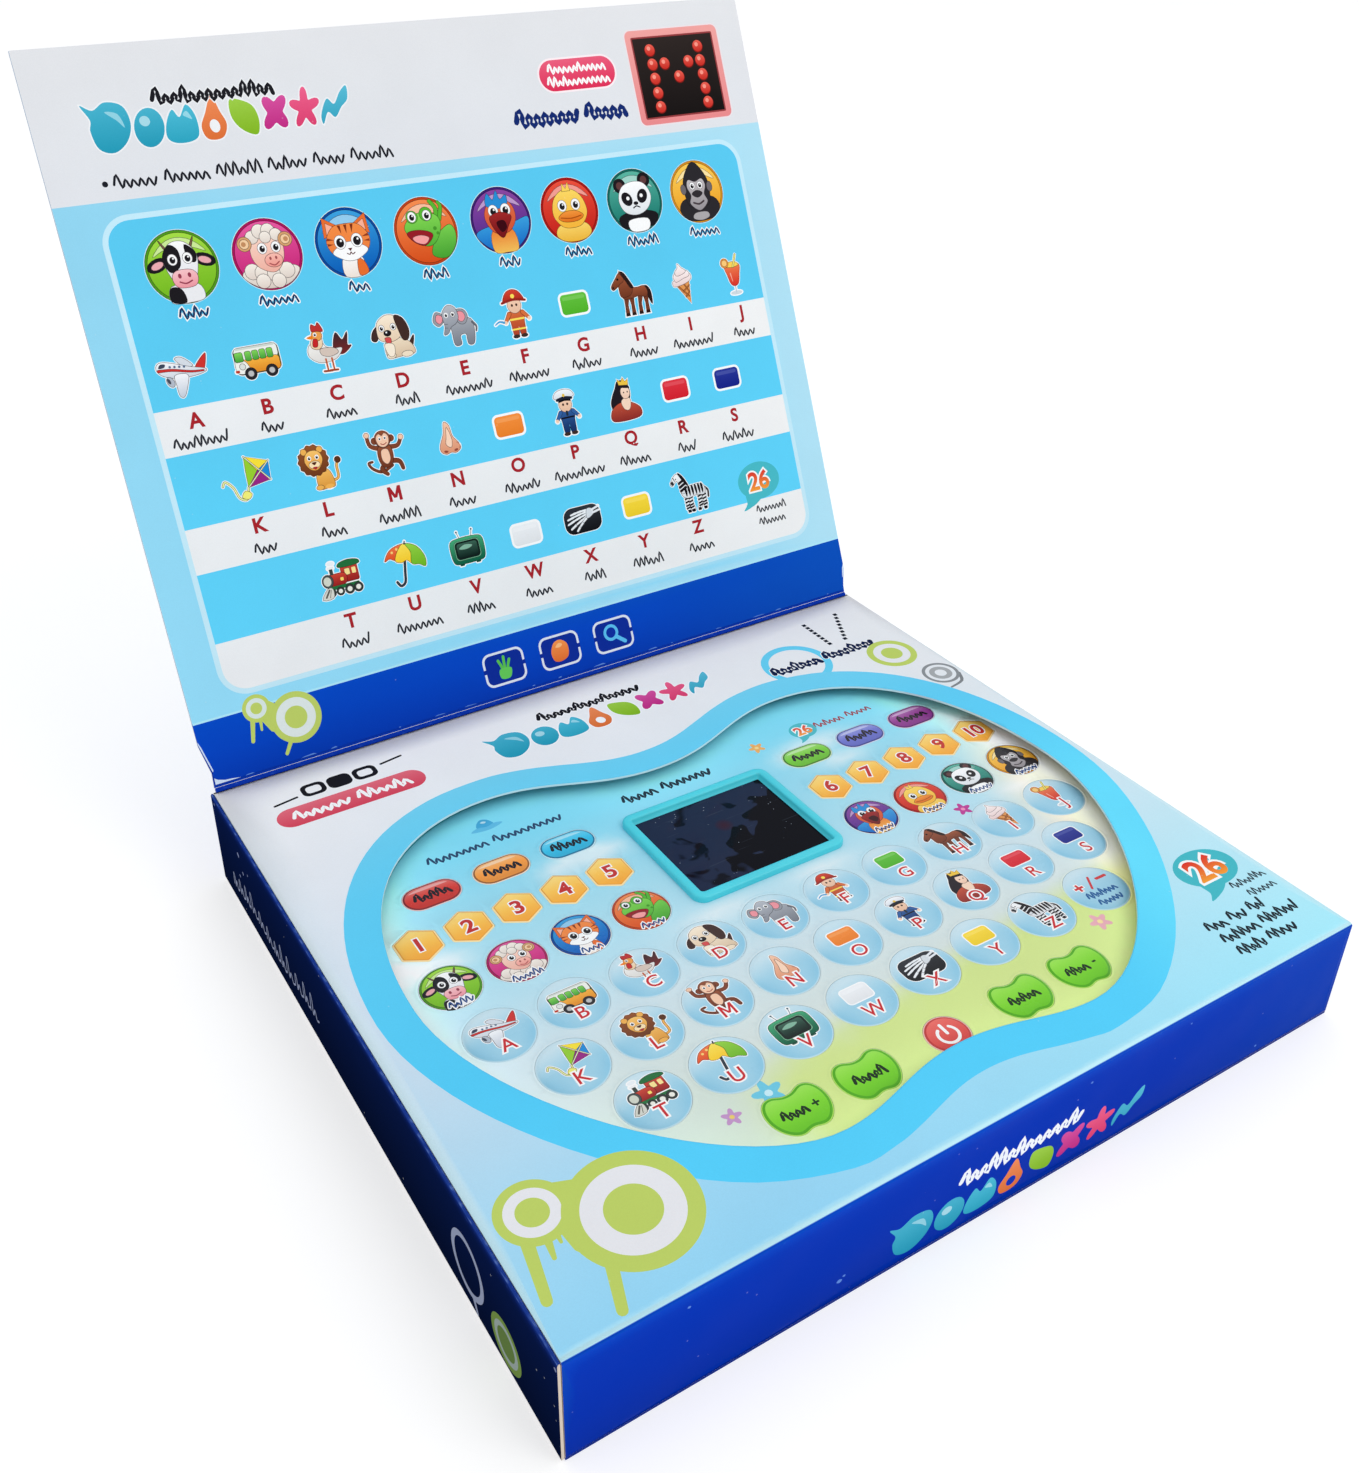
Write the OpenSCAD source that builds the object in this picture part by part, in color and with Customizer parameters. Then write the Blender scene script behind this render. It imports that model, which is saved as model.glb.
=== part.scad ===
// Toy learning pad in its hinged display carton.
// Millimetres. Origin: middle of the carton's underside. +X right, +Y back (lid hinge), +Z up.
// The lid is drawn open, as it rests.

/* [Carton] */
// Outside width of the carton
carton_w = 270; // [240:300]
// Outside depth of the carton
carton_d = 242; // [215:270]
// Outside height of the carton
carton_h = 36; // [34:50]
// Board thickness
board = 0.8; // [0.4:0.1:1.2]
// Lid length from its hinge
lid_l = 240.6; // [200:0.1:260]
// How far the lid is folded back from shut, in degrees
lid_open = 113.7; // [0:0.1:180]
// Width of the tuck tongue on the end flap
tongue_w = 15; // [8:20]

/* [Window] */
// Middle of the window, across the carton
window_x = 2; // [-10:10]

/* [Pad] */
// Middle of the pad, across the carton
pad_x = 5.3; // [-8:0.1:8]
// How far the pad's case reaches past the window
pad_grow = 4.5; // [3:0.5:8]
// Height of the printed key face above the table
face_z = 31; // [30:33]
// Case wall
wall = 2; // [1.5:0.1:3]
// Gap around each key
key_gap = 0.25; // [0.15:0.05:0.5]
// Letter key, width
key_w = 20.8; // [18:0.1:22]
// Letter key, depth
key_d = 20.4; // [17:0.1:20.6]
// Letter key spacing along a row
key_pitch = 23.4; // [22:0.1:25]

/* [Hidden] */
hinge_y = carton_d/2 - 0.4;
hinge_z = carton_h + 0.95;
flap_x = -carton_w/2 + 0.5;
flap_z = carton_h - 0.5;
// The tongue's fold: a bead inside the flap's lower edge
tongue_x = -carton_w/2 + 1.2;
tongue_z = 1.75;
tongue_t = 0.7;
pad_floor = 9.8;
split_z = 19;
plate_z = face_z - 1.8;
lens_y = 17;
cell_y = -45;
segs = 12;
oval_n = 24;

// ---------- shared outlines ----------

function bez(p, t) = pow(1-t,3)*p[0] + 3*t*pow(1-t,2)*p[1] + 3*t*t*(1-t)*p[2] + t*t*t*p[3];

// Right half of the apple outline, from the top notch round to the bottom notch.
apple_half = [
    [[0,56], [25,56], [36,70.5], [60,70.5]],
    [[60,70.5], [96,70.5], [120,40], [120,-8]],
    [[120,-8], [120,-48], [76,-103], [44,-103]],
    [[44,-103], [28,-103], [18,-95.5], [0,-95.5]]
];
apple_right = [for (s = apple_half) for (i = [0:segs-1]) bez(s, i/segs)];
apple_left = [for (i = [len(apple_right)-1:-1:1]) [-apple_right[i][0], apple_right[i][1]]];
apple_pts = concat(apple_right, [[0,-95.5]], apple_left);

function unit2(v) = v / norm(v);
function grown(p, g) = [for (i = [0:len(p)-1])
    let (a = p[(i+len(p)-1) % len(p)], b = p[(i+1) % len(p)], t = unit2(b-a))
    p[i] + g*[-t[1], t[0]]];

module apple(g = 0) polygon(grown(apple_pts, g));
module window_apple(g = 0) translate([window_x, 0]) apple(g);
module pad_apple(g = 0) translate([pad_x, 1.5]) apple(g);

module slab(x0, x1, y0, y1, z0, z1) translate([x0, y0, z0]) cube([x1-x0, y1-y0, z1-z0]);
module tube_z(r, z0, z1, x = 0, y = 0, n = 32) translate([x, y, z0]) cylinder(r = r, h = z1-z0, $fn = n);
module rod_x(r, x0, x1, y, z, n = 24) translate([x0, y, z]) rotate([0, 90, 0]) cylinder(r = r, h = x1-x0, $fn = n);
module rod_y(r, y0, y1, x, z, n = 24) translate([x, y0, z]) rotate([-90, 0, 0]) cylinder(r = r, h = y1-y0, $fn = n);

module oval(a, b) polygon([for (i = [0:oval_n-1]) [a*cos(360*i/oval_n), b*sin(360*i/oval_n)]]);
module pill(w, d) { square([w-d, d], center = true); for (s = [-1, 1]) translate([s*(w-d)/2, 0]) circle(d = d, $fn = 24); }
module round_rect(w, d, r) {
    square([w-2*r, d], center = true);
    square([w, d-2*r], center = true);
    for (sx = [-1, 1], sy = [-1, 1]) translate([sx*(w/2-r), sy*(d/2-r)]) circle(r = r, $fn = 24);
}
// Small apple for the function keys
fruit_half = [
    [[0,6], [2.5,6], [3,7.4], [5.2,7.4]],
    [[5.2,7.4], [8,7.4], [9.6,4.4], [9.6,1]],
    [[9.6,1], [9.6,-3.4], [6.4,-7.2], [3.6,-7.2]],
    [[3.6,-7.2], [2,-7.2], [1.4,-6.6], [0,-6.6]]
];
fruit_right = [for (s = fruit_half) for (i = [0:3]) bez(s, i/4)];
fruit_left = [for (i = [len(fruit_right)-1:-1:1]) [-fruit_right[i][0], fruit_right[i][1]]];
module fruit(g = 0) polygon(grown(concat(fruit_right, [[0,-6.6]], fruit_left), g));

// ---------- where the keys are ----------

names = "ABCDEFGHIJKLMNOPQRSTUVWXYZ";
function letter_at(i) =
    i < 10 ? [pad_x + (i-4.5)*key_pitch, -23.5] :
    i < 19 ? [pad_x + (i-14)*key_pitch, -44.2] :
             [pad_x + (i-22.5)*23.3, -65.4];
mode_at = [for (s = [-1, 1], k = [48.5, 72.5, 96.5]) [pad_x + s*k, 40.5]];
number_at = [for (s = [-1, 1], k = [0:4]) [pad_x + s*(44 + 16.4*k), 21.2]];
animal_at = [for (s = [-1, 1], k = [0:3]) [pad_x + s*(45 + 21.3*k), 0.3]];
function_at = [for (k = [-51, -28, 28, 51]) [pad_x + k, -88.4]];
power_at = [pad_x, -88.2];

module letter_2d(g = 0) oval(key_w/2 + g, key_d/2 + g);
module mode_2d(g = 0) pill(19.4 + 2*g, 11.4 + 2*g);
module number_2d(g = 0) rotate(90) circle(r = 8 + 1.155*g, $fn = 6);
module animal_2d(g = 0) circle(r = 9.3 + g, $fn = 28);
module power_2d(g = 0) circle(r = 6.9 + g, $fn = 28);

module key_holes(g) {
    for (i = [0:26]) translate(letter_at(i)) letter_2d(g);
    for (p = mode_at) translate(p) mode_2d(g);
    for (p = number_at) translate(p) number_2d(g);
    for (p = animal_at) translate(p) animal_2d(g);
    for (p = function_at) translate(p) fruit(g);
    translate(power_at) power_2d(g);
}

key_low = plate_z + 0.6;
key_top = face_z + 0.4;
module raise_key() translate([0, 0, key_low]) linear_extrude(key_top - key_low) children();
module letter_key(i) color("lightskyblue") translate(letter_at(i)) raise_key() letter_2d();

// ---------- carton ----------

module bottom_panel() color("tan") slab(-carton_w/2 + 1, carton_w/2, -carton_d/2, carton_d/2, 0, board);

module front_wall() color("mediumblue") slab(-carton_w/2 + 1, carton_w/2, -carton_d/2, -carton_d/2 + board, board, carton_h - board);

module back_wall() color("mediumblue") slab(-carton_w/2 + 1, carton_w/2, carton_d/2 - board, carton_d/2, board, carton_h);

module right_end_wall() color("mediumblue") slab(carton_w/2 - board, carton_w/2, -carton_d/2 + board, carton_d/2 - board, board, carton_h - board);

module window_panel() color("lightblue") difference() {
    slab(-carton_w/2 + 1.1, carton_w/2, -carton_d/2, carton_d/2 - board, carton_h - board, carton_h);
    translate([0, 0, carton_h - 3]) linear_extrude(6) window_apple();
}

module dust_flaps() color("tan") for (s = [0, 1]) mirror([0, s, 0])
    translate([-carton_w/2 + 1.1, 0, 0]) rotate([90, 0, 90]) linear_extrude(board)
        polygon([[carton_d/2 - board, 7], [carton_d/2 - board, carton_h - board], [86, carton_h - board], [76, carton_h - 9], [76, 16], [86, 7]]);

module support_insert() color("tan") {
    difference() {
        slab(-105, 116, -100, 72, 8, 8.8);
        slab(pad_x - 36, pad_x + 36, cell_y - 38, cell_y + 32, 7, 10);
    }
    slab(-105, -104.2, -100, 72, board, 8);
    slab(115.2, 116, -100, 72, board, 8);
    slab(-104.2, 115.2, 71.2, 72, board, 8);
    slab(-104.2, 115.2, -100, -99.2, board, 8);
    slab(-50, -49.2, -99.2, 71.2, board, 8);
    slab(60, 60.8, -99.2, 71.2, board, 8);
}

// ---------- lid, drawn shut and folded back about its hinge ----------

module folded() translate([0, hinge_y, hinge_z]) rotate([-lid_open, 0, 0]) children();

module lid_board() color("mediumblue") folded() {
    translate([0, 0, 0]) linear_extrude(board) polygon([
        [-carton_w/2 + 1.6, 0], [carton_w/2 - 1.6, 0], [carton_w/2 - 1.6, -3], [carton_w/2, -10],
        [carton_w/2, -lid_l], [-carton_w/2, -lid_l], [-carton_w/2, -16], [-carton_w/2 + 2, -6]
    ]);
    rotate([0, 90, 0]) translate([0, 0, -carton_w/2 + 1.6]) cylinder(r = board, h = carton_w - 3.2, $fn = 32);
}

module lid_liner() color("#96d6f0") folded() translate([0, 0, -0.6]) linear_extrude(0.6) polygon([
    [-carton_w/2 + 2.2, -2], [carton_w/2 - 2, -2], [carton_w/2 - 1.9, -4], [carton_w/2 - 0.3, -10.5],
    [carton_w/2 - 0.3, -lid_l + 0.3], [-carton_w/2 + 0.3, -lid_l + 0.3],
    [-carton_w/2 + 0.3, -16.5], [-carton_w/2 + 2.4, -6.3]
]);

// ---------- left end flap and its tuck tongue ----------

module end_flap() color("#0a2f9c") {
    slab(-carton_w/2, -carton_w/2 + board, -carton_d/2, carton_d/2, 1, flap_z);
    rod_y(0.5, -carton_d/2, carton_d/2, flap_x, flap_z);
}

module tuck_tongue() color("#0a2f9c") {
    translate([0, 0, tongue_z - 0.05 - tongue_t]) linear_extrude(tongue_t) polygon([
        [tongue_x - 0.1, -114], [-carton_w/2 + 5, -114], [-carton_w/2 + tongue_w + 1, -106],
        [-carton_w/2 + tongue_w + 1, 106], [-carton_w/2 + 5, 114], [tongue_x - 0.1, 114]
    ]);
    rod_y(0.35, -114, 114, tongue_x, tongue_z);
}

// ---------- pad: cases ----------

screw_at = [[-117.5, -9], [117.5, -9], [-62, 62], [62, 62], [-66, -85], [66, -85]];
foot_at = [[-82, 44], [82, 44], [-58, -84], [58, -84]];

module bottom_case() color("darkturquoise") {
    difference() {
        union() {
            translate([0, 0, pad_floor]) linear_extrude(split_z - pad_floor) pad_apple(pad_grow);
        }
        translate([0, 0, pad_floor + 2]) linear_extrude(20) pad_apple(pad_grow - wall);
        slab(pad_x - 30, pad_x + 30, cell_y - 26, cell_y + 26, 5, 15);
        slab(pad_x - 7.2, pad_x + 7.2, cell_y - 35.2, cell_y - 20, 5, pad_floor + 1.2);
        for (p = screw_at) {
            tube_z(1.6, 5, 30, pad_x + p[0], p[1], 24);
            tube_z(3.2, 5, pad_floor + 1.4, pad_x + p[0], p[1], 24);
        }
        tube_z(1.4, 5, 15, pad_x, cell_y - 31, 24);
        // speaker grille
        for (i = [-3:3], j = [-3:3]) if (i*i + j*j < 11) tube_z(1.1, 5, 15, pad_x + 74 + 4.2*i, 6 + 4.2*j, 12);
    }
    for (p = foot_at) tube_z(5, pad_floor - 1, pad_floor, pad_x + p[0], p[1]);
    // screw posts
    for (p = screw_at) difference() {
        tube_z(3, pad_floor + 2, split_z - 1, pad_x + p[0], p[1], 24);
        tube_z(1.6, 5, 30, pad_x + p[0], p[1], 24);
    }
    // battery box
    difference() {
        slab(pad_x - 30.5, pad_x + 30.5, cell_y - 26.5, cell_y + 26.5, pad_floor + 2, 27.2);
        slab(pad_x - 29, pad_x + 29, cell_y - 25, cell_y + 25, pad_floor, 26.4);
    }
    // post for the door screw
    difference() {
        tube_z(3.2, pad_floor + 2, 21, pad_x, cell_y - 31, 24);
        tube_z(1.3, pad_floor, 25, pad_x, cell_y - 31, 24);
    }
    // posts for the display board
    for (sx = [-1, 1], sy = [-1, 1]) tube_z(2.4, pad_floor + 2, 24, pad_x + sx*23, lens_y + sy*18, 20);
    // posts for the main board
    for (sx = [-1, 1], sy = [-1, 1]) tube_z(2.4, pad_floor + 2, 13, pad_x - 65 + sx*28, 15 + sy*16, 20);
}

module top_case() color("turquoise") difference() {
    union() {
        difference() {
            translate([0, 0, split_z]) linear_extrude(face_z - 0.4 - split_z) pad_apple(pad_grow);
            translate([0, 0, split_z - 1]) linear_extrude(plate_z - split_z + 1) pad_apple(pad_grow - wall);
        }
        for (p = screw_at) tube_z(3, split_z - 1, plate_z, pad_x + p[0], p[1], 24);
    }
    for (p = screw_at) tube_z(1.3, split_z - 5, 27, pad_x + p[0], p[1], 24);
    translate([0, 0, plate_z - 1]) linear_extrude(5) key_holes(key_gap + 0.25);
    slab(pad_x - 27, pad_x + 27, lens_y - 22.5, lens_y + 22.5, plate_z - 1, 35);
}

// Printed face sheet, with an opening for every key and for the display
module face_sheet() color("powderblue") difference() {
    translate([0, 0, face_z - 0.4]) linear_extrude(0.4) pad_apple(pad_grow - 1.2);
    translate([0, 0, face_z - 1]) linear_extrude(2) key_holes(key_gap);
    slab(pad_x - 27, pad_x + 27, lens_y - 22.5, lens_y + 22.5, face_z - 1, 35);
}

// ---------- pad: display ----------

module display_bezel() color("mediumturquoise") {
    difference() {
        translate([pad_x, lens_y, face_z]) linear_extrude(2.4) round_rect(58, 49, 4);
        slab(pad_x - 25, pad_x + 25, lens_y - 20.5, lens_y + 20.5, face_z - 1, 40);
        slab(pad_x - 25.8, pad_x + 25.8, lens_y - 21.3, lens_y + 21.3, face_z - 1, face_z + 0.2);
    }
    difference() {
        slab(pad_x - 26.8, pad_x + 26.8, lens_y - 22.3, lens_y + 22.3, plate_z + 0.2, face_z);
        slab(pad_x - 25.8, pad_x + 25.8, lens_y - 21.3, lens_y + 21.3, plate_z - 1, face_z + 1);
    }
}

module display_window() color("black") slab(pad_x - 25.7, pad_x + 25.7, lens_y - 21.2, lens_y + 21.2, face_z - 0.8, face_z + 0.2);

module led_board() color("darkgreen") slab(pad_x - 26, pad_x + 26, lens_y - 21, lens_y + 21, 24, 25.4);

module led_dots() color("red") for (i = [-2:2], j = [-2:2]) tube_z(2, 25.4, 29.4, pad_x + 8.4*i, lens_y + 7*j, 20);

// ---------- pad: inside ----------

module switch_sheet() color("lightgray") {
    difference() {
        translate([0, 0, plate_z - 0.6]) linear_extrude(0.6) pad_apple(pad_grow - wall - 0.6);
        for (p = screw_at) tube_z(3.6, 20, 35, pad_x + p[0], p[1], 24);
        slab(pad_x - 28, pad_x + 28, lens_y - 23.5, lens_y + 23.5, 20, 35);
    }
    // tail down to the main board
    slab(pad_x - 71, pad_x - 59, 5, 5.3, 14.6, plate_z - 0.6);
}

module switch_backing() color("gray") difference() {
    translate([0, 0, plate_z - 1.8]) linear_extrude(1.2) pad_apple(pad_grow - wall - 0.6);
    for (p = screw_at) tube_z(3.6, 20, 35, pad_x + p[0], p[1], 24);
    slab(pad_x - 28, pad_x + 28, lens_y - 23.5, lens_y + 23.5, 20, 35);
    slab(pad_x - 72, pad_x - 58, 4, 6.3, 20, 35);
}

module main_board() color("green") {
    slab(pad_x - 100, pad_x - 30, -5, 35, 13, 14.6);
    tube_z(6, 14.6, 16.4, pad_x - 66, 20, 28);
    slab(pad_x - 92, pad_x - 84, 8, 16, 14.6, 16.2);
    tube_z(2.5, 14.6, 20, pad_x - 44, 26, 20);
    tube_z(2.5, 14.6, 20, pad_x - 52, 26, 20);
    slab(pad_x - 96, pad_x - 90, 24, 30, 14.6, 17);
}

module speaker() color("dimgray") {
    difference() { tube_z(20, 11.8, 14, pad_x + 74, 6, 48); tube_z(17, 10, 12.8, pad_x + 74, 6, 48); }
    tube_z(13, 14, 16, pad_x + 74, 6, 40);
    tube_z(10, 16, 20.5, pad_x + 74, 6, 40);
}

module wiring() color("red") {
    for (k = [0, 1]) {
        // speaker pair
        rod_x(0.6, pad_x - 34.6, pad_x + 64, 6 + 2*k, 17, 16);
        tube_z(0.6, 14.6, 17, pad_x - 34, 6 + 2*k, 16);
        // battery pair
        rod_x(0.6, pad_x - 42 - 3*k, pad_x - 30.5, -25 - 3*k, 18, 16);
        rod_y(0.6, -25 - 3*k, -3, pad_x - 42 - 3*k, 18, 16);
        tube_z(0.6, 14.6, 18, pad_x - 42 - 3*k, -3, 16);
        // display pair
        rod_x(0.6, pad_x - 36, pad_x - 20, 29 + 2*k, 20, 16);
        tube_z(0.6, 14.6, 20, pad_x - 36, 29 + 2*k, 16);
        tube_z(0.6, 20, 24, pad_x - 20, 29 + 2*k, 16);
    }
}

module batteries() color("darkslategray") for (k = [-1, 0, 1]) {
    s = (k == 0) ? -1 : 1;
    translate([pad_x, cell_y + 16*k, 19.2]) mirror([s < 0 ? 1 : 0, 0, 0]) {
        rod_x(7.1, -25, 23.6, 0, 0, 40);
        rod_x(2.7, 23.6, 25, 0, 0, 24);
    }
}

module battery_contacts() color("silver") for (k = [-1, 0, 1]) {
    s = (k == 0) ? -1 : 1;
    translate([pad_x, cell_y + 16*k, 19.2]) mirror([s < 0 ? 1 : 0, 0, 0]) {
        slab(28.5, 29, -5.5, 5.5, -5.5, 5.5);
        rod_x(2.2, 25, 28.5, 0, 0, 20);
        slab(-29, -28.5, -5.5, 5.5, -5.5, 5.5);
        rod_x(3.4, -28.5, -27.6, 0, 0, 24);
        rod_x(2.8, -27.6, -26.4, 0, 0, 24);
        rod_x(2.2, -26.4, -25, 0, 0, 24);
    }
}

module battery_door() color("darkturquoise") difference() {
    union() {
        slab(pad_x - 29.7, pad_x + 29.7, cell_y - 25.7, cell_y + 25.7, pad_floor, pad_floor + 1.8);
        slab(pad_x - 7, pad_x + 7, cell_y - 35, cell_y - 25.7, pad_floor, pad_floor + 1);
        // grip ribs
        for (i = [0:3]) slab(pad_x - 10, pad_x + 10, cell_y + 12 + 2.4*i, cell_y + 13 + 2.4*i, pad_floor - 0.4, pad_floor);
    }
    tube_z(1.8, 5, 15, pad_x, cell_y - 31, 24);
}

module door_screw() color("silver") {
    difference() {
        tube_z(2.9, pad_floor - 1.4, pad_floor, pad_x, cell_y - 31, 24);
        for (a = [0, 90]) translate([pad_x, cell_y - 31, pad_floor - 1.4]) rotate([0, 0, a]) cube([3.6, 0.8, 1.4], center = true);
    }
    tube_z(1.2, pad_floor, pad_floor + 8, pad_x, cell_y - 31, 20);
}

module case_screws() color("silver") for (p = screw_at) translate([pad_x + p[0], p[1], 0]) {
    difference() {
        tube_z(2.8, pad_floor + 0.2, pad_floor + 1.4, 0, 0, 24);
        for (a = [0, 90]) translate([0, 0, pad_floor + 0.2]) rotate([0, 0, a]) cube([3.4, 0.8, 1.2], center = true);
    }
    tube_z(1.25, pad_floor + 1.4, 26, 0, 0, 20);
}

// ---------- keys ----------

module mode_keys() color("orange") for (p = mode_at) translate(p) raise_key() mode_2d();
module number_keys() color("gold") for (p = number_at) translate(p) raise_key() number_2d();
module animal_keys() color("hotpink") for (p = animal_at) translate(p) raise_key() animal_2d();
module function_keys() color("limegreen") for (p = function_at) translate(p) raise_key() fruit();
module power_key() color("red") translate(power_at) raise_key() power_2d();

bottom_panel();
front_wall();
back_wall();
right_end_wall();
window_panel();
dust_flaps();
support_insert();
lid_board();
lid_liner();
end_flap();
tuck_tongue();
bottom_case();
top_case();
face_sheet();
display_bezel();
display_window();
led_board();
led_dots();
switch_sheet();
switch_backing();
main_board();
speaker();
wiring();
batteries();
battery_contacts();
battery_door();
door_screw();
case_screws();
mode_keys();
number_keys();
animal_keys();
function_keys();
power_key();
letter_key(0);  // key_a
letter_key(1);  // key_b
letter_key(2);  // key_c
letter_key(3);  // key_d
letter_key(4);  // key_e
letter_key(5);  // key_f
letter_key(6);  // key_g
letter_key(7);  // key_h
letter_key(8);  // key_i
letter_key(9);  // key_j
letter_key(10);  // key_k
letter_key(11);  // key_l
letter_key(12);  // key_m
letter_key(13);  // key_n
letter_key(14);  // key_o
letter_key(15);  // key_p
letter_key(16);  // key_q
letter_key(17);  // key_r
letter_key(18);  // key_s
letter_key(19);  // key_t
letter_key(20);  // key_u
letter_key(21);  // key_v
letter_key(22);  // key_w
letter_key(23);  // key_x
letter_key(24);  // key_y
letter_key(25);  // key_z
letter_key(26);  // key_plus_minus
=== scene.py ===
import math
import random

import bpy
from mathutils import Matrix, Vector
from mathutils.geometry import delaunay_2d_cdt


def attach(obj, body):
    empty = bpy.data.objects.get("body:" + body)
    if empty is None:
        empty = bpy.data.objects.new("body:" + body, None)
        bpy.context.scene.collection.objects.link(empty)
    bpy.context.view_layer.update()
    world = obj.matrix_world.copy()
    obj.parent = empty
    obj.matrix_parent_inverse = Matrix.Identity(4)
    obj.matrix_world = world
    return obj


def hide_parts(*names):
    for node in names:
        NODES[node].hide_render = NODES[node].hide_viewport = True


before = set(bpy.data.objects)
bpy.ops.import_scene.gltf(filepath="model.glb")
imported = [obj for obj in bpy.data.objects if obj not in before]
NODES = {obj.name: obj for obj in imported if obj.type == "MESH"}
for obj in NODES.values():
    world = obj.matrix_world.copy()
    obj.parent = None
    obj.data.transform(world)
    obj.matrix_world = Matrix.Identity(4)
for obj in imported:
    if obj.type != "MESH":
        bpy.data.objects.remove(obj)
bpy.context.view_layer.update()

MM = 0.001
scene = bpy.context.scene

# ------------------------------------------------------------------ colours

def lin3(c):
    out = []
    for k in c[:3]:
        k = max(0.0, min(255.0, k)) / 255
        out.append(k / 12.92 if k <= 0.04045 else ((k + 0.055) / 1.055) ** 2.4)
    return out


def mixc(a, b, t):
    t = max(0.0, min(1.0, t))
    return tuple(a[i] + (b[i] - a[i]) * t for i in range(3))


def ramp(stops, x):
    if x <= stops[0][0]:
        return stops[0][1]
    for (x0, c0), (x1, c1) in zip(stops, stops[1:]):
        if x <= x1:
            return mixc(c0, c1, (x - x0) / (x1 - x0))
    return stops[-1][1]


def smooth(a, b, x):
    t = max(0.0, min(1.0, (x - a) / (b - a)))
    return t * t * (3 - 2 * t)


def bump(x, y, cx, cy, rx, ry):
    return math.exp(-(((x - cx) / rx) ** 2 + ((y - cy) / ry) ** 2))


WHITE = (250, 250, 250)
PAPER = (231, 231, 235)
SKY = (152, 216, 241)
CHART = (92, 206, 243)
ROYAL = (10, 62, 184)
ROYAL_FRONT = (0, 52, 180)
NAVY = (10, 22, 92)
RING = (92, 208, 247)
LIME = (190, 209, 104)
TEAL = (70, 190, 200)
INK = (28, 40, 60)
BOARD = (226, 207, 188)

# ------------------------------------------------------------------ outlines (mm)

def ell(cx, cy, rx, ry=None, n=28, rot=0.0, a0=0.0, a1=360.0):
    ry = rx if ry is None else ry
    c, s = math.cos(math.radians(rot)), math.sin(math.radians(rot))
    out = []
    full = abs(a1 - a0) >= 359.9
    m = n if full else n + 1
    for i in range(m):
        a = math.radians(a0 + (a1 - a0) * i / n)
        x, y = rx * math.cos(a), ry * math.sin(a)
        out.append((cx + x * c - y * s, cy + x * s + y * c))
    return out


def rrect(cx, cy, w, h, r, n=5):
    out = []
    for sx, sy, a in ((1, 1, 0), (-1, 1, 90), (-1, -1, 180), (1, -1, 270)):
        for i in range(n + 1):
            t = math.radians(a + 90 * i / n)
            out.append((cx + sx * (w / 2 - r) + r * math.cos(t), cy + sy * (h / 2 - r) + r * math.sin(t)))
    return out


def pill(cx, cy, w, h, n=12):
    """A bar with half-round ends."""
    r = h / 2
    k = w / 2 - r
    return [(cx + k + r * math.cos(math.radians(-90 + 180 * i / n)), cy + r * math.sin(math.radians(-90 + 180 * i / n))) for i in range(n + 1)] + \
           [(cx - k + r * math.cos(math.radians(90 + 180 * i / n)), cy + r * math.sin(math.radians(90 + 180 * i / n))) for i in range(n + 1)]


def rect(x0, y0, x1, y1):
    return [(x0, y0), (x1, y0), (x1, y1), (x0, y1)]


def catmull(pts, k=5, closed=True):
    """A smooth line through points."""
    n = len(pts)
    out = []
    spans = n if closed else n - 1
    for i in range(spans):
        p0 = pts[(i - 1) % n] if closed or i > 0 else pts[0]
        p1, p2 = pts[i % n], pts[(i + 1) % n]
        p3 = pts[(i + 2) % n] if closed or i < n - 2 else pts[-1]
        for j in range(k):
            t = j / k
            out.append(tuple(
                0.5 * (2 * p1[a] + (p2[a] - p0[a]) * t + (2 * p0[a] - 5 * p1[a] + 4 * p2[a] - p3[a]) * t * t
                       + (3 * p1[a] - p0[a] - 3 * p2[a] + p3[a]) * t ** 3) for a in (0, 1)))
    if not closed:
        out.append(tuple(pts[-1]))
    return out


def area2(p):
    return sum(p[i][0] * p[(i + 1) % len(p)][1] - p[(i + 1) % len(p)][0] * p[i][1] for i in range(len(p)))


def ccw(p):
    return p if area2(p) > 0 else list(reversed(p))


def grow(pts, g):
    """The outline moved outwards by g, mitred and capped."""
    p = ccw(pts)
    q = [p[0]]
    for a in p[1:]:
        if math.hypot(a[0] - q[-1][0], a[1] - q[-1][1]) > 1e-4:
            q.append(a)
    if math.hypot(q[0][0] - q[-1][0], q[0][1] - q[-1][1]) < 1e-4:
        q.pop()
    n = len(q)
    out = []
    for i in range(n):
        a, b, c = q[i - 1], q[i], q[(i + 1) % n]
        d1 = (b[0] - a[0], b[1] - a[1])
        d2 = (c[0] - b[0], c[1] - b[1])
        l1, l2 = math.hypot(*d1), math.hypot(*d2)
        n1 = (d1[1] / l1, -d1[0] / l1)
        n2 = (d2[1] / l2, -d2[0] / l2)
        m = (n1[0] + n2[0], n1[1] + n2[1])
        ml = math.hypot(*m)
        if ml < 0.5:
            out.append((b[0] + n1[0] * g, b[1] + n1[1] * g))
            out.append((b[0] + n2[0] * g, b[1] + n2[1] * g))
        else:
            k = min(2 / ml, 1.6)
            out.append((b[0] + m[0] / ml * g * k, b[1] + m[1] / ml * g * k))
    return out


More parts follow.
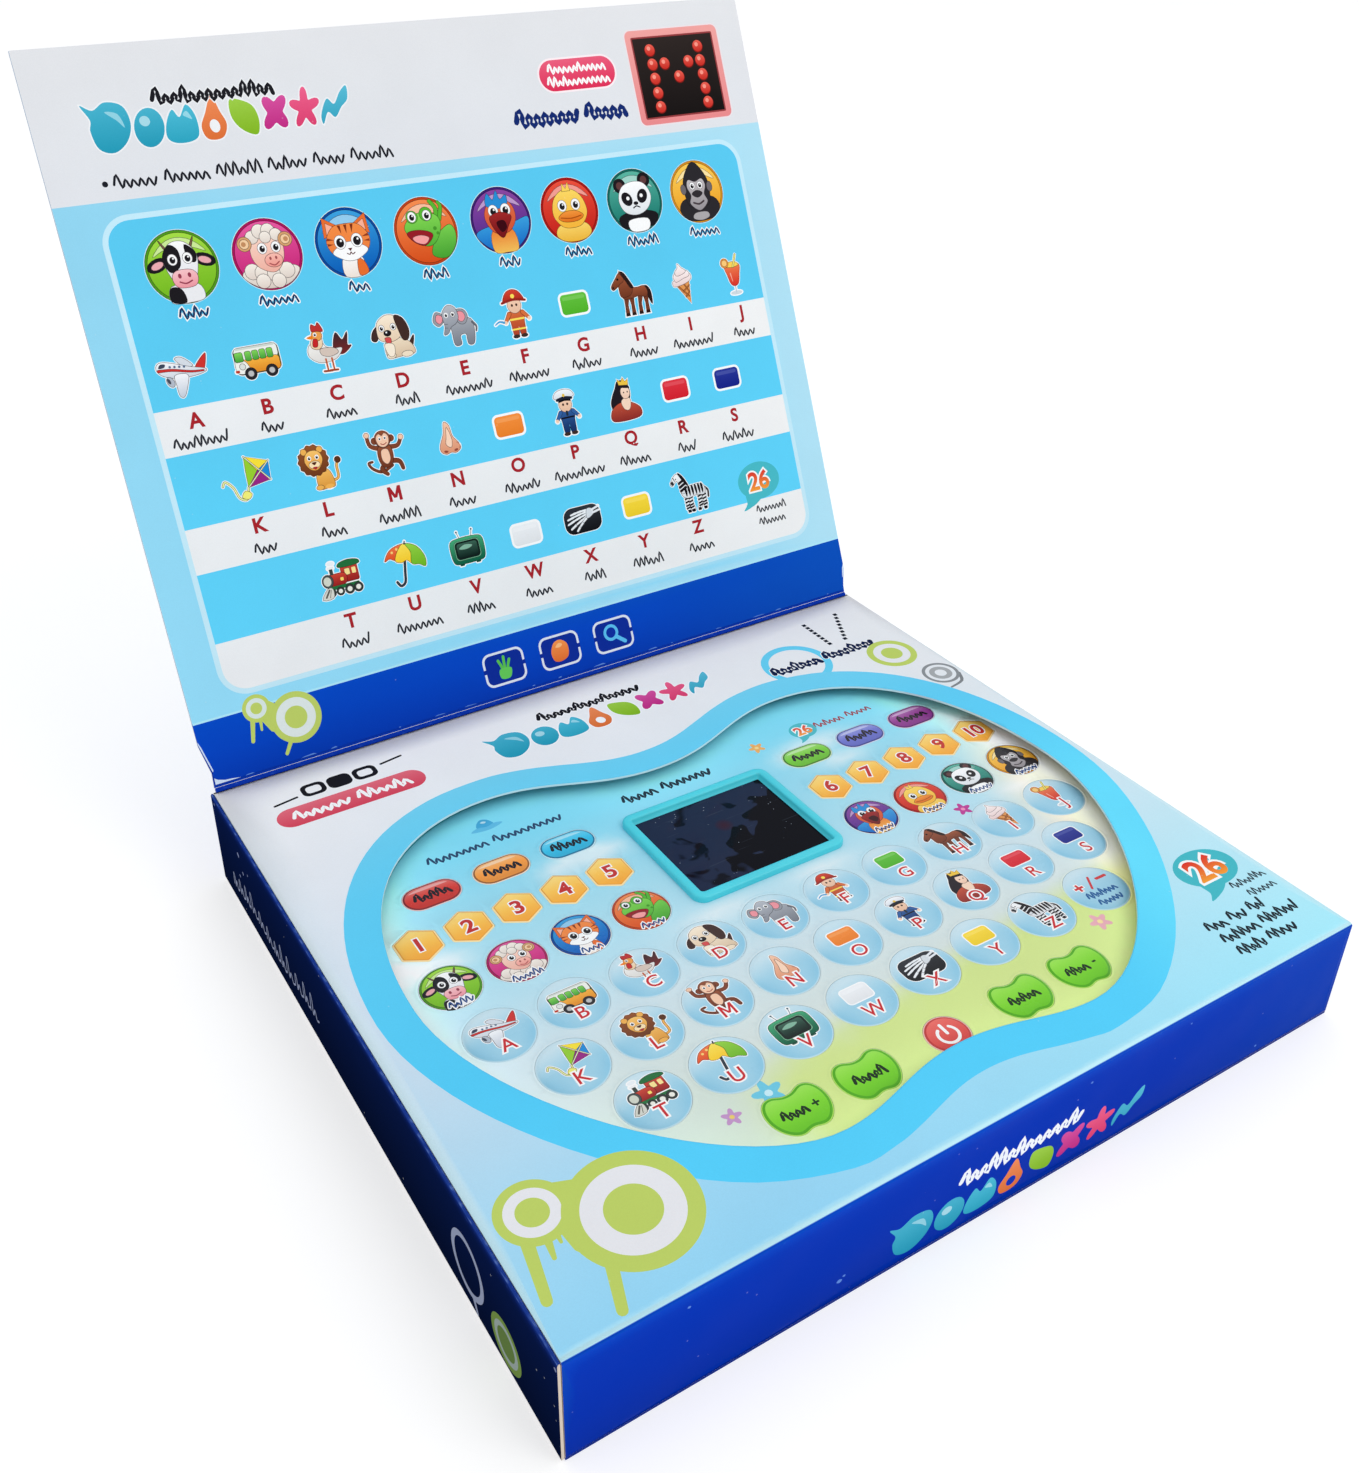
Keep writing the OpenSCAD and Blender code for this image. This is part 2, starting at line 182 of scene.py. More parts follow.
def ribbon(pts, w0, w1=None, cap=4):
    """The closed outline of a line of width w0 to w1 with round ends."""
    w1 = w0 if w1 is None else w1
    n = len(pts)
    left, right = [], []
    for i, p in enumerate(pts):
        a, b = pts[max(0, i - 1)], pts[min(n - 1, i + 1)]
        dx, dy = b[0] - a[0], b[1] - a[1]
        ln = math.hypot(dx, dy) or 1
        w = (w0 + (w1 - w0) * i / max(1, n - 1)) / 2
        left.append((p[0] - dy / ln * w, p[1] + dx / ln * w))
        right.append((p[0] + dy / ln * w, p[1] - dx / ln * w))

    def end(p, q, w):
        base = math.atan2(p[1] - q[1], p[0] - q[0])
        return [(p[0] + w / 2 * math.cos(base + math.pi / 2 * (1 - 2 * k / (cap + 1)) * -1),
                 p[1] + w / 2 * math.sin(base + math.pi / 2 * (1 - 2 * k / (cap + 1)) * -1)) for k in range(1, cap + 1)]

    return ccw(right + end(pts[-1], pts[-2], w1) + list(reversed(left)) + end(pts[0], pts[1], w0))


def star_flower(cx, cy, r, petals=5, depth=0.45, rot=0.0, n=40):
    out = []
    for i in range(n):
        a = 2 * math.pi * i / n
        k = 1 - depth * (0.5 - 0.5 * math.cos(petals * a))
        out.append((cx + r * k * math.cos(a + math.radians(rot)), cy + r * k * math.sin(a + math.radians(rot))))
    return out


# ------------------------------------------------------------------ printed sheets

class Sheet:
    """A printed surface, drawn flat in mm and made as one clean mesh: every outline becomes an edge of it, and each
    face takes the ink of the topmost shape over it. Nothing is stacked on anything."""

    def __init__(self):
        self.items = []
        self.seeds = []

    def add(self, pts, col):
        self.items.append(([pts], col))

    def many(self, polys, col):
        self.items.append((polys, col))

    def cut(self, pts):
        self.items.append(([pts], None))

    def seed(self, pts):
        self.seeds += pts

    def grid(self, x0, y0, x1, y1, step, keep=lambda x, y: True):
        nx, ny = max(1, round((x1 - x0) / step)), max(1, round((y1 - y0) / step))
        for i in range(1, nx):
            for j in range(1, ny):
                x = x0 + (x1 - x0) * (i + (0.5 if j % 2 else 0.0) * 0.98) / nx
                y = y0 + (y1 - y0) * j / ny
                if x < x1 - 1e-3 and keep(x, y):
                    self.seeds.append((x, y))

    def shapes(self, shapes, x=0.0, y=0.0, k=1.0, halo=0.0, rot=0.0, halo_col=WHITE, line=0.0):
        """Stamps an icon, a list of (outline, colour), with a pale margin round it and a darker line round each larger shape."""
        c, s = math.cos(math.radians(rot)) * k, math.sin(math.radians(rot)) * k

        def put(p):
            return [(x + a * c - b * s, y + a * s + b * c) for a, b in p]

        if halo:
            for p, col in shapes:
                self.add(grow(put(p), halo), halo_col)
        for p, col in shapes:
            q = put(p)
            if line and min(max(b for a, b in q) - min(b for a, b in q), max(a for a, b in q) - min(a for a, b in q)) > 0.2 * k:
                self.add(grow(q, line), mixc(col[0] if isinstance(col[0], (tuple, list)) else col, (26, 18, 22), 0.66))
            if isinstance(col[0], (tuple, list)):
                lo, hi = min(b for a, b in q), max(b for a, b in q)
                self.add(q, (lambda lo, hi, c0, c1: lambda u, v: mixc(c0, c1, (v - lo) / (hi - lo)))(lo, hi, col[0], col[1]))
            else:
                self.add(q, col)

    def build(self, name, place, body, mat, thick=0.0, edge=BOARD, back=None, normal=None, replaces=(), slot=None, smooth_shade=False, wall=None):
        coords, index, faces, owner, loops, boxes = [], {}, [], [], [], []

        def vid(p):
            key = (round(p[0], 4), round(p[1], 4))
            if key not in index:
                index[key] = len(coords)
                coords.append(Vector(key))
            return index[key]

        for k, (polys, col) in enumerate(self.items):
            for poly in polys:
                ids = []
                for p in ccw(poly):
                    i = vid(p)
                    if not ids or ids[-1] != i:
                        ids.append(i)
                while len(ids) > 1 and ids[0] == ids[-1]:
                    ids.pop()
                if len(ids) >= 3:
                    faces.append(ids)
                    owner.append(k)
                    loops.append([(coords[i][0], coords[i][1]) for i in ids])
                    xs, ys = [p[0] for p in loops[-1]], [p[1] for p in loops[-1]]
                    boxes.append((min(xs), max(xs), min(ys), max(ys)))
        for p in self.seeds:
            vid(p)
        vo, eo, fo, ov, oe, of = delaunay_2d_cdt(coords, [], faces, 1, 1e-4, True)
        top = []
        tris = []
        for f, src in zip(fo, of):
            if not src or len(f) < 3:
                continue
            cx = sum(vo[i][0] for i in f) / 3
            cy = sum(vo[i][1] for i in f) / 3
            k = -1
            for i in sorted(src, key=lambda i: -owner[i]):
                x0, x1, y0, y1 = boxes[i]
                if x0 <= cx <= x1 and y0 <= cy <= y1 and winding(loops[i], cx, cy):
                    k = owner[i]
                    break
            if k < 0 or self.items[k][1] is None:
                continue
            tris.append(tuple(f))
            top.append(k)
        used = sorted({i for t in tris for i in t})
        remap = {v: i for i, v in enumerate(used)}
        flat = [(vo[i][0], vo[i][1]) for i in used]
        tris = [tuple(remap[i] for i in t) for t in tris]
        verts = [place(x, y, 0.0) for x, y in flat]
        cols = []
        for t, k in zip(tris, top):
            c = self.items[k][1]
            for i in t:
                cols.append(c(*flat[i]) if callable(c) else c)
        polys = list(tris)
        marks = [0] * len(tris)
        if thick:
            nxt = {}
            for t in tris:
                for a, b in zip(t, t[1:] + t[:1]):
                    nxt[(a, b)] = True
            rim = [(a, b) for (a, b) in nxt if (b, a) not in nxt]
            rim_v = sorted({a for e in rim for a in e})
            low = {v: len(verts) + i for i, v in enumerate(rim_v)}
            for v in rim_v:
                verts.append((wall or place)(flat[v][0], flat[v][1], -thick))
            for a, b in rim:
                polys.append((b, a, low[a], low[b]))
                marks.append(1)
                for i in range(4):
                    cols.append(edge(*flat[a]) if callable(edge) else edge)
            # the underside, from the same rim
            lv = [Vector(flat[v]) for v in rim_v]
            back_i = {v: i for i, v in enumerate(rim_v)}
            es = [(back_i[a], back_i[b]) for a, b in rim]
            bv, be, bf, bov, boe, bof = delaunay_2d_cdt(lv, es, [], 0, 1e-5, True)
            inside = inside_test([(flat[a], flat[b]) for a, b in rim])
            for f in bf:
                cx = sum(bv[i][0] for i in f) / len(f)
                cy = sum(bv[i][1] for i in f) / len(f)
                if not inside(cx, cy):
                    continue
                ids = []
                for i in f:
                    if not bov[i]:
                        ids = None
                        break
                    ids.append(low[rim_v[bov[i][0]]])
                if ids:
                    polys.append(tuple(reversed(ids)))
                    marks.append(2)
                    bc = back if back is not None else edge
                    for i in ids:
                        cols.append(bc(cx, cy) if callable(bc) else bc)
        me = bpy.data.meshes.new(name)
        me.from_pydata([Vector(v) * MM for v in verts], [], polys)
        attr = me.color_attributes.new("ink", "FLOAT_COLOR", "CORNER")
        buf = []
        for c in cols:
            buf += lin3(c) + [1.0]
        attr.data.foreach_set("color", buf)
        me.materials.append(mat)
        if smooth_shade:
            for p, m in zip(me.polygons, marks):
                p.use_smooth = m == 0
            if normal:
                nv, known = [], {}
                for p, m in zip(me.polygons, marks):
                    for i in p.vertices:
                        if m == 0:
                            if i not in known:
                                known[i] = normal(*flat[i])
                            nv.append(known[i])
                        else:
                            nv.append(p.normal.copy())
                me.normals_split_custom_set(nv)
        obj = bpy.data.objects.new(name, me)
        scene.collection.objects.link(obj)
        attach(obj, body)
        if replaces:
            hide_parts(*replaces)
        return obj


def winding(loop, x, y):
    """True where a point is inside a loop, by the number of turns round it."""
    w = 0
    ax, ay = loop[-1]
    for bx, by in loop:
        if ay <= y:
            if by > y and (bx - ax) * (y - ay) - (x - ax) * (by - ay) > 0:
                w += 1
        elif by <= y and (bx - ax) * (y - ay) - (x - ax) * (by - ay) < 0:
            w -= 1
        ax, ay = bx, by
    return w != 0


def inside_test(edges):
    """Whether a point is inside the loops that the edges make, by crossings of a line to the right."""
    rows = {}
    size = 2.0
    for (x0, y0), (x1, y1) in edges:
        lo, hi = min(y0, y1), max(y0, y1)
        for r in range(int(math.floor(lo / size)), int(math.floor(hi / size)) + 1):
            rows.setdefault(r, []).append((x0, y0, x1, y1))

    def test(x, y):
        n = 0
        for x0, y0, x1, y1 in rows.get(int(math.floor(y / size)), ()):
            if (y0 > y) != (y1 > y) and x < x0 + (y - y0) / (y1 - y0) * (x1 - x0):
                n += 1
        return n % 2 == 1

    return test


# ------------------------------------------------------------------ letters and figures

_glyphs = {}


def glyph(ch, bold=0.0):
    """A letter or figure as flat polygons, one unit high, its middle at the origin."""
    key = (ch, bold)
    if key not in _glyphs:
        cu = bpy.data.curves.new("glyph", "FONT")
        cu.body = ch
        cu.size = 1.0
        cu.offset = bold
        cu.resolution_u = 4
        ob = bpy.data.objects.new("glyph", cu)
        scene.collection.objects.link(ob)
        bpy.context.view_layer.update()
        me = ob.evaluated_get(bpy.context.evaluated_depsgraph_get()).to_mesh()
        vs = [(v.co.x, v.co.y) for v in me.vertices]
        fs = [[vs[i] for i in p.vertices] for p in me.polygons]
        ob.evaluated_get(bpy.context.evaluated_depsgraph_get()).to_mesh_clear()
        bpy.data.objects.remove(ob)
        bpy.data.curves.remove(cu)
        _glyphs[key] = fs
        if bold == 0.0:
            xs = [x for x, y in vs]
            ys = [y for x, y in vs]
            _glyphs[(ch, "box")] = (min(xs), max(xs), min(ys), max(ys))
    return _glyphs[key]


def letter(sheet, ch, x, y, h, col, halo=0.0, halo_col=WHITE, bold=0.018, lean=0.0):
    glyph(ch)
    x0, x1, y0, y1 = _glyphs[(ch, "box")]
    k = h / max(0.3, (y1 - y0) if ch in "+/-" else 0.729) if ch not in "+-" else h
    mx, my = (x0 + x1) / 2, (y0 + y1) / 2

    def put(polys):
        return [[(x + (a - mx) * k + lean * (b - my) * k, y + (b - my) * k) for a, b in p] for p in polys]

    def shape(b):
        if ch != "M":
            return glyph(ch, b)
        w, y_a, y_b = 0.05 + b, y0 - b, y1 + b
        xa, xb, xm = x0 + 0.05, x1 - 0.05, (x0 + x1) / 2
        return [rect(xa - w, y_a, xa + w, y_b), rect(xb - w, y_a, xb + w, y_b),
                [(xa - w, y_b), (xa + w, y_b), (xm + w, y0 + 0.16 - b), (xm - w, y0 + 0.16 - b)],
                [(xb - w, y_b), (xb + w, y_b), (xm + w, y0 + 0.16 - b), (xm - w, y0 + 0.16 - b)]]

    if halo:
        sheet.many(put(shape(round(bold + halo / k, 3))), halo_col)
    sheet.many(put(shape(bold)), col)


def greeked(sheet, x, y, w, h, col, seed=1, align="c", halo=0.0, halo_col=WHITE, cap=True, lean=0.0, words=1, pen=0.15):
    """Meaningless scribble that stands where small print is: a wavering pen line for each word, no letters."""
    rnd = random.Random(seed)
    x0 = {"c": x - w / 2, "l": x, "r": x - w}[align]
    gap = h * 0.5
    share = [rnd.uniform(0.8, 1.25) for k in range(words)]
    room = w - gap * (words - 1)
    out = []
    for k in range(words):
        ww = room * share[k] / sum(share)
        n = max(3, int(round(ww / (h * 0.235))))
        step = ww / n
        pts = []
        for i in range(n + 1):
            if i % 2 == 0:
                py = y - h * rnd.uniform(0.30, 0.38) if i else y - h * 0.1
            else:
                py = y + h * (rnd.uniform(0.42, 0.5) if (i == 1 and cap) or rnd.random() < 0.16 else rnd.uniform(0.08, 0.18))
            px = x0 + step * i + (step * rnd.uniform(-0.12, 0.12) if 0 < i < n else 0.0)
            pts.append((px + lean * (py - y), py))
        out.append(ribbon(catmull(pts, 3, False), h * pen, h * pen, 2))
        x0 += ww + gap
    if halo:
        sheet.many([grow(p, halo) for p in out], halo_col)
    sheet.many(out, col)
# ------------------------------------------------------------------ little pictures, of the builder's own design
# Each is a list of (outline, colour) in a box from -1 to 1. A pair of colours is a blend from bottom to top.

BLK = (30, 28, 32)


def eyes(x1, x2, y, r, white=(250, 250, 250), dark=BLK, look=0.0):
    out = []
    for x in (x1, x2):
        out.append((ell(x, y, r, r * 1.15, 16), white))
        out.append((ell(x + look * r, y - r * 0.1, r * 0.62, r * 0.72, 14), dark))
        out.append((ell(x + look * r + r * 0.2, y + r * 0.22, r * 0.2, n=8), white))
    return out


def disc(c0, c1, rim):
    return [(ell(0, 0, 1, n=44), rim), (ell(0, 0, 0.93, n=44), (c0, c1)),
            (catmull([(-0.72, 0.36), (-0.4, 0.68), (0, 0.8), (0.42, 0.68), (0.74, 0.36), (0.4, 0.5), (0, 0.56), (-0.42, 0.5)], 3), mixc(c1, WHITE, 0.45))]


def ic_cow():
    s = disc((110, 180, 30), (165, 220, 70), (80, 150, 30))
    s += [(catmull([(-0.5, -0.93), (-0.42, -0.5), (0.3, -0.5), (0.42, -0.9), (0, -0.98)], 4), (235, 235, 238))]
    s += [(catmull([(-0.5, -0.9), (-0.46, -0.55), (-0.18, -0.6), (-0.12, -0.96)], 4), BLK)]
    s += [(ell(-0.66, 0.12, 0.3, 0.17, 14, rot=20), BLK), (ell(0.66, 0.12, 0.3, 0.17, 14, rot=-20), BLK), (ell(-0.66, 0.11, 0.18, 0.09, 12, rot=20), (235, 170, 175)), (ell(0.66, 0.11, 0.18, 0.09, 12, rot=-20), (235, 170, 175))]
    s += [(catmull([(-0.3, 0.5), (-0.48, 0.78), (-0.36, 0.5), (-0.2, 0.36)], 4), (120, 90, 70)), (catmull([(0.3, 0.5), (0.48, 0.78), (0.36, 0.48), (0.2, 0.36)], 4), (120, 90, 70))]
    s += [(catmull([(-0.46, 0.3), (-0.2, 0.66), (0.2, 0.66), (0.46, 0.3), (0.38, -0.2), (0.2, -0.45), (-0.2, -0.45), (-0.38, -0.2)], 5), ((226, 226, 232), (252, 252, 252)))]
    s += [(catmull([(-0.46, 0.34), (-0.24, 0.62), (-0.02, 0.45), (-0.04, 0.05), (-0.28, -0.12), (-0.42, 0.0)], 4), BLK), (catmull([(0.2, 0.58), (0.44, 0.36), (0.4, 0.1), (0.22, 0.18)], 4), BLK)]
    s += eyes(-0.22, 0.2, 0.22, 0.13)
    s += [(catmull([(-0.34, -0.28), (-0.2, -0.1), (0.2, -0.1), (0.36, -0.28), (0.24, -0.54), (-0.22, -0.54)], 5), ((236, 150, 160), (248, 196, 200)))]
    s += [(ell(-0.13, -0.24, 0.05, 0.07, 10), (150, 60, 80)), (ell(0.14, -0.24, 0.05, 0.07, 10), (150, 60, 80)), (ribbon(catmull([(-0.16, -0.4), (0, -0.46), (0.18, -0.4)], 4, False), 0.04), (150, 60, 80))]
    return s


def ic_sheep():
    s = disc((190, 30, 110), (232, 90, 160), (170, 20, 90))
    wool = (246, 238, 228)
    s += [(catmull([(-0.85, -0.5), (-0.5, -0.3), (0.45, -0.34), (0.82, -0.5), (0.5, -0.84), (0, -0.95), (-0.5, -0.84)], 4), ((214, 200, 190), wool))]
    for a, b, r in ((-0.55, -0.42, 0.22), (-0.25, -0.5, 0.24), (0.1, -0.55, 0.24), (0.45, -0.5, 0.22), (-0.3, -0.72, 0.2), (0.15, -0.76, 0.2)):
        s += [(ell(a, b, r, n=14), ((222, 208, 198), wool))]
    s += [(catmull([(-0.45, 0.25), (-0.3, 0.5), (0.2, 0.54), (0.48, 0.3), (0.42, -0.2), (0.12, -0.5), (-0.28, -0.36), (-0.46, -0.06)], 5), ((238, 176, 160), (252, 214, 198)))]
    for a, b, r in ((-0.34, 0.52, 0.18), (-0.1, 0.66, 0.2), (0.16, 0.66, 0.19), (0.36, 0.52, 0.17), (0.04, 0.48, 0.16)):
        s += [(ell(a, b, r, n=14), ((226, 214, 204), wool))]
    for sx in (-1, 1):
        s += [(ell(sx * 0.6, 0.36, 0.2, n=18), (214, 160, 110)), (ell(sx * 0.6, 0.36, 0.13, n=14), (244, 204, 160)), (ell(sx * 0.62, 0.36, 0.07, n=12), (196, 140, 96))]
    s += eyes(-0.12, 0.28, 0.18, 0.13)
    s += [(ell(0.14, -0.18, 0.26, 0.19, 18), ((236, 150, 140), (250, 190, 176))), (ell(0.05, -0.12, 0.035, 0.05, 8), (160, 80, 80)), (ell(0.22, -0.12, 0.035, 0.05, 8), (160, 80, 80)), (ribbon(catmull([(0.0, -0.26), (0.14, -0.32), (0.28, -0.24)], 4, False), 0.035), (170, 80, 80))]
    return s


def ic_cat():
    s = disc((10, 90, 180), (60, 160, 220), (10, 70, 150))
    org = (232, 110, 48)
    s += [(catmull([(-0.3, -0.95), (-0.26, -0.4), (0.26, -0.4), (0.32, -0.93)], 4), ((240, 225, 214), WHITE)), (catmull([(0.12, -0.95), (0.16, -0.5), (0.34, -0.6), (0.4, -0.9)], 4), org)]
    s += [([(-0.66, 0.78), (-0.7, 0.2), (-0.16, 0.46)], org), ([(0.66, 0.78), (0.7, 0.2), (0.16, 0.46)], org), ([(-0.58, 0.62), (-0.6, 0.3), (-0.28, 0.44)], (250, 176, 150)), ([(0.58, 0.62), (0.6, 0.3), (0.28, 0.44)], (250, 176, 150))]
    s += [(catmull([(-0.66, 0.1), (-0.4, 0.48), (0, 0.54), (0.4, 0.48), (0.66, 0.1), (0.5, -0.3), (0, -0.5), (-0.5, -0.3)], 5), ((236, 124, 60), (244, 140, 70)))]
    s += [(catmull([(-0.54, -0.24), (-0.2, -0.02), (0, 0.02), (0.2, -0.02), (0.54, -0.24), (0.26, -0.46), (0, -0.52), (-0.26, -0.46)], 5), WHITE)]
    for a in (-0.2, 0, 0.2):
        s += [([(a - 0.05, 0.52), (a + 0.05, 0.52), (a * 0.8, 0.26)], (130, 50, 24))]
    for sx in (-1, 1):
        s += [([(sx * 0.66, 0.12), (sx * 0.62, 0.2), (sx * 0.42, 0.12)], (150, 60, 30)), ([(sx * 0.64, -0.04), (sx * 0.65, 0.04), (sx * 0.46, 0.0)], (150, 60, 30))]
    s += eyes(-0.26, 0.26, 0.04, 0.17)
    s += [([(-0.07, -0.16), (0.07, -0.16), (0, -0.25)], (90, 40, 40)), (ribbon(catmull([(-0.12, -0.3), (-0.04, -0.34), (0, -0.27), (0.04, -0.34), (0.12, -0.3)], 3, False), 0.03), (90, 40, 40))]
    return s


def ic_frog():
    s = disc((214, 78, 28), (246, 140, 80), (190, 66, 24))
    g = (88, 182, 52)
    s += [(catmull([(0.05, -0.7), (0.3, -0.2), (0.75, 0.1), (0.92, -0.1), (0.85, -0.5), (0.5, -0.84)], 5), ((70, 160, 50), (120, 205, 80)))]
    s += [(ribbon(catmull([(0.35, 0.2), (0.45, 0.6), (0.3, 0.86)], 4, False), 0.14, 0.1), g), (ribbon(catmull([(0.5, 0.3), (0.62, 0.66), (0.56, 0.8)], 4, False), 0.12, 0.08), g)]
    s += [(catmull([(-0.66, 0.14), (-0.42, 0.44), (0.0, 0.56), (0.42, 0.42), (0.5, 0.1), (0.28, -0.3), (-0.02, -0.44), (-0.42, -0.24)], 5), ((84, 176, 56), (132, 214, 84)))]
    s += [(ell(-0.36, 0.46, 0.18, n=16), g), (ell(0.1, 0.5, 0.2, n=16), g)]
    s += eyes(-0.36, 0.12, 0.46, 0.13)
    s += [(catmull([(-0.62, 0.0), (-0.3, 0.06), (0.06, -0.02), (0.18, -0.16), (-0.1, -0.4), (-0.42, -0.28)], 5), (150, 30, 40)), (catmull([(-0.46, -0.14), (-0.2, -0.1), (0.04, -0.2), (-0.12, -0.36), (-0.38, -0.28)], 4), (246, 160, 160))]
    s += [(ell(0.3, 0.05, 0.06, n=10), (70, 150, 44)), (ell(0.36, -0.1, 0.05, n=10), (70, 150, 44))]
    return s


def ic_bird():
    s = disc((70, 40, 130), (140, 70, 160), (60, 30, 110))
    s += [(catmull([(-0.9, -0.3), (-0.4, -0.14), (0.4, -0.1), (0.92, 0.0), (0.8, -0.5), (0.3, -0.9), (-0.3, -0.92), (-0.76, -0.6)], 4), ((20, 100, 190), (60, 160, 220)))]
    s += [(catmull([(-0.42, -0.9), (-0.36, -0.3), (0.3, -0.3), (0.4, -0.9), (0, -0.97)], 4), ((240, 190, 90), (232, 120, 50)))]
    s += [(catmull([(-0.52, 0.1), (-0.36, 0.5), (0.05, 0.64), (0.44, 0.44), (0.5, 0.0), (0.2, -0.36), (-0.28, -0.34)], 5), ((206, 80, 50), (226, 110, 70)))]
    s += [(catmull([(-0.4, 0.48), (-0.3, 0.84), (-0.14, 0.62), (0.02, 0.9), (0.1, 0.62), (0.32, 0.74), (0.3, 0.44), (0, 0.36)], 3), (40, 140, 210))]
    s += eyes(-0.2, 0.22, 0.3, 0.16)
    s += [(catmull([(-0.36, 0.12), (0.0, 0.24), (0.36, 0.1), (0.2, -0.2), (-0.04, -0.52), (-0.28, -0.24)], 5), ((110, 20, 26), (160, 40, 40))), (catmull([(-0.16, -0.06), (0.08, -0.02), (0.14, -0.22), (-0.04, -0.34)], 4), (60, 10, 20))]
    return s


def ic_duck():
    s = disc((190, 30, 24), (236, 80, 60), (170, 24, 20))
    s += [(catmull([(-0.62, -0.72), (-0.4, -0.42), (0.4, -0.42), (0.62, -0.72), (0.3, -0.94), (-0.3, -0.94)], 5), ((236, 180, 60), (250, 214, 110)))]
    s += [(catmull([(-0.6, -0.1), (-0.5, 0.36), (-0.18, 0.62), (0.2, 0.62), (0.5, 0.36), (0.6, -0.1), (0.36, -0.46), (0, -0.54), (-0.36, -0.46)], 5), ((244, 180, 60), (252, 216, 100)))]
    s += [([(-0.14, 0.6), (-0.1, 0.84), (0.0, 0.66), (0.1, 0.86), (0.14, 0.6)], (250, 210, 90))]
    s += eyes(-0.24, 0.24, 0.16, 0.15)
    s += [(catmull([(-0.44, -0.2), (-0.2, -0.04), (0.2, -0.04), (0.44, -0.2), (0.22, -0.34), (-0.22, -0.34)], 5), ((222, 110, 30), (244, 150, 60))), (ribbon(catmull([(-0.36, -0.2), (0, -0.25), (0.36, -0.2)], 4, False), 0.035), (170, 80, 20))]
    return s


def ic_panda():
    s = disc((20, 110, 100), (90, 180, 160), (20, 100, 90))
    s += [(catmull([(-0.7, -0.5), (-0.3, -0.34), (0.3, -0.34), (0.74, -0.5), (0.5, -0.84), (-0.5, -0.84)], 4), BLK), (catmull([(-0.3, -0.94), (-0.34, -0.6), (0.34, -0.6), (0.3, -0.94)], 4), WHITE)]
    s += [(ell(-0.46, 0.52, 0.22, n=18), BLK), (ell(0.46, 0.62, 0.22, n=18), BLK), (ell(-0.46, 0.52, 0.12, n=14), (96, 60, 60)), (ell(0.46, 0.62, 0.12, n=14), (96, 60, 60))]
    s += [(catmull([(-0.58, 0.06), (-0.4, 0.46), (0.02, 0.6), (0.44, 0.5), (0.62, 0.1), (0.42, -0.28), (0, -0.44), (-0.42, -0.32)], 5), ((224, 228, 232), (254, 254, 254)))]
    s += [(ell(-0.28, 0.08, 0.17, 0.22, 16, rot=30), BLK), (ell(0.3, 0.12, 0.17, 0.22, 16, rot=-30), BLK), (ell(-0.24, 0.1, 0.06, n=10), WHITE), (ell(0.27, 0.14, 0.06, n=10), WHITE)]
    s += [(ell(0.02, -0.08, 0.09, 0.06, 12), BLK), (ribbon(catmull([(-0.1, -0.22), (0.02, -0.17), (0.14, -0.22)], 4, False), 0.04), BLK)]
    return s


def ic_gorilla():
    s = disc((232, 150, 30), (252, 206, 90), (210, 140, 30))
    fur = (44, 42, 46)
    s += [(catmull([(-0.76, -0.56), (-0.5, -0.2), (0.5, -0.2), (0.78, -0.56), (0.4, -0.9), (-0.4, -0.9)], 5), fur)]
    s += [(catmull([(-0.48, 0.0), (-0.42, 0.46), (-0.1, 0.9), (0.14, 0.9), (0.44, 0.46), (0.5, 0.0), (0.34, -0.46), (-0.32, -0.46)], 5), fur)]
    s += [(ell(-0.5, 0.12, 0.1, 0.16, 12), (110, 104, 108)), (ell(0.52, 0.12, 0.1, 0.16, 12), (110, 104, 108))]
    s += [(catmull([(-0.34, 0.18), (-0.26, 0.4), (0.0, 0.32), (0.26, 0.4), (0.36, 0.18), (0.26, -0.1), (0.34, -0.36), (0.0, -0.6), (-0.32, -0.36), (-0.24, -0.1)], 5), ((150, 144, 148), (192, 186, 188)))]
    s += eyes(-0.14, 0.16, 0.2, 0.1)
    s += [(catmull([(-0.2, -0.06), (0.0, 0.04), (0.2, -0.06), (0.0, -0.18)], 4), (50, 46, 50)), (ribbon(catmull([(-0.2, -0.34), (0.0, -0.4), (0.2, -0.32)], 4, False), 0.06), (70, 60, 64))]
    s += [(catmull([(-0.3, -0.84), (-0.2, -0.68), (0.24, -0.68), (0.3, -0.84), (0, -0.92)], 4), (170, 166, 168))]
    return s


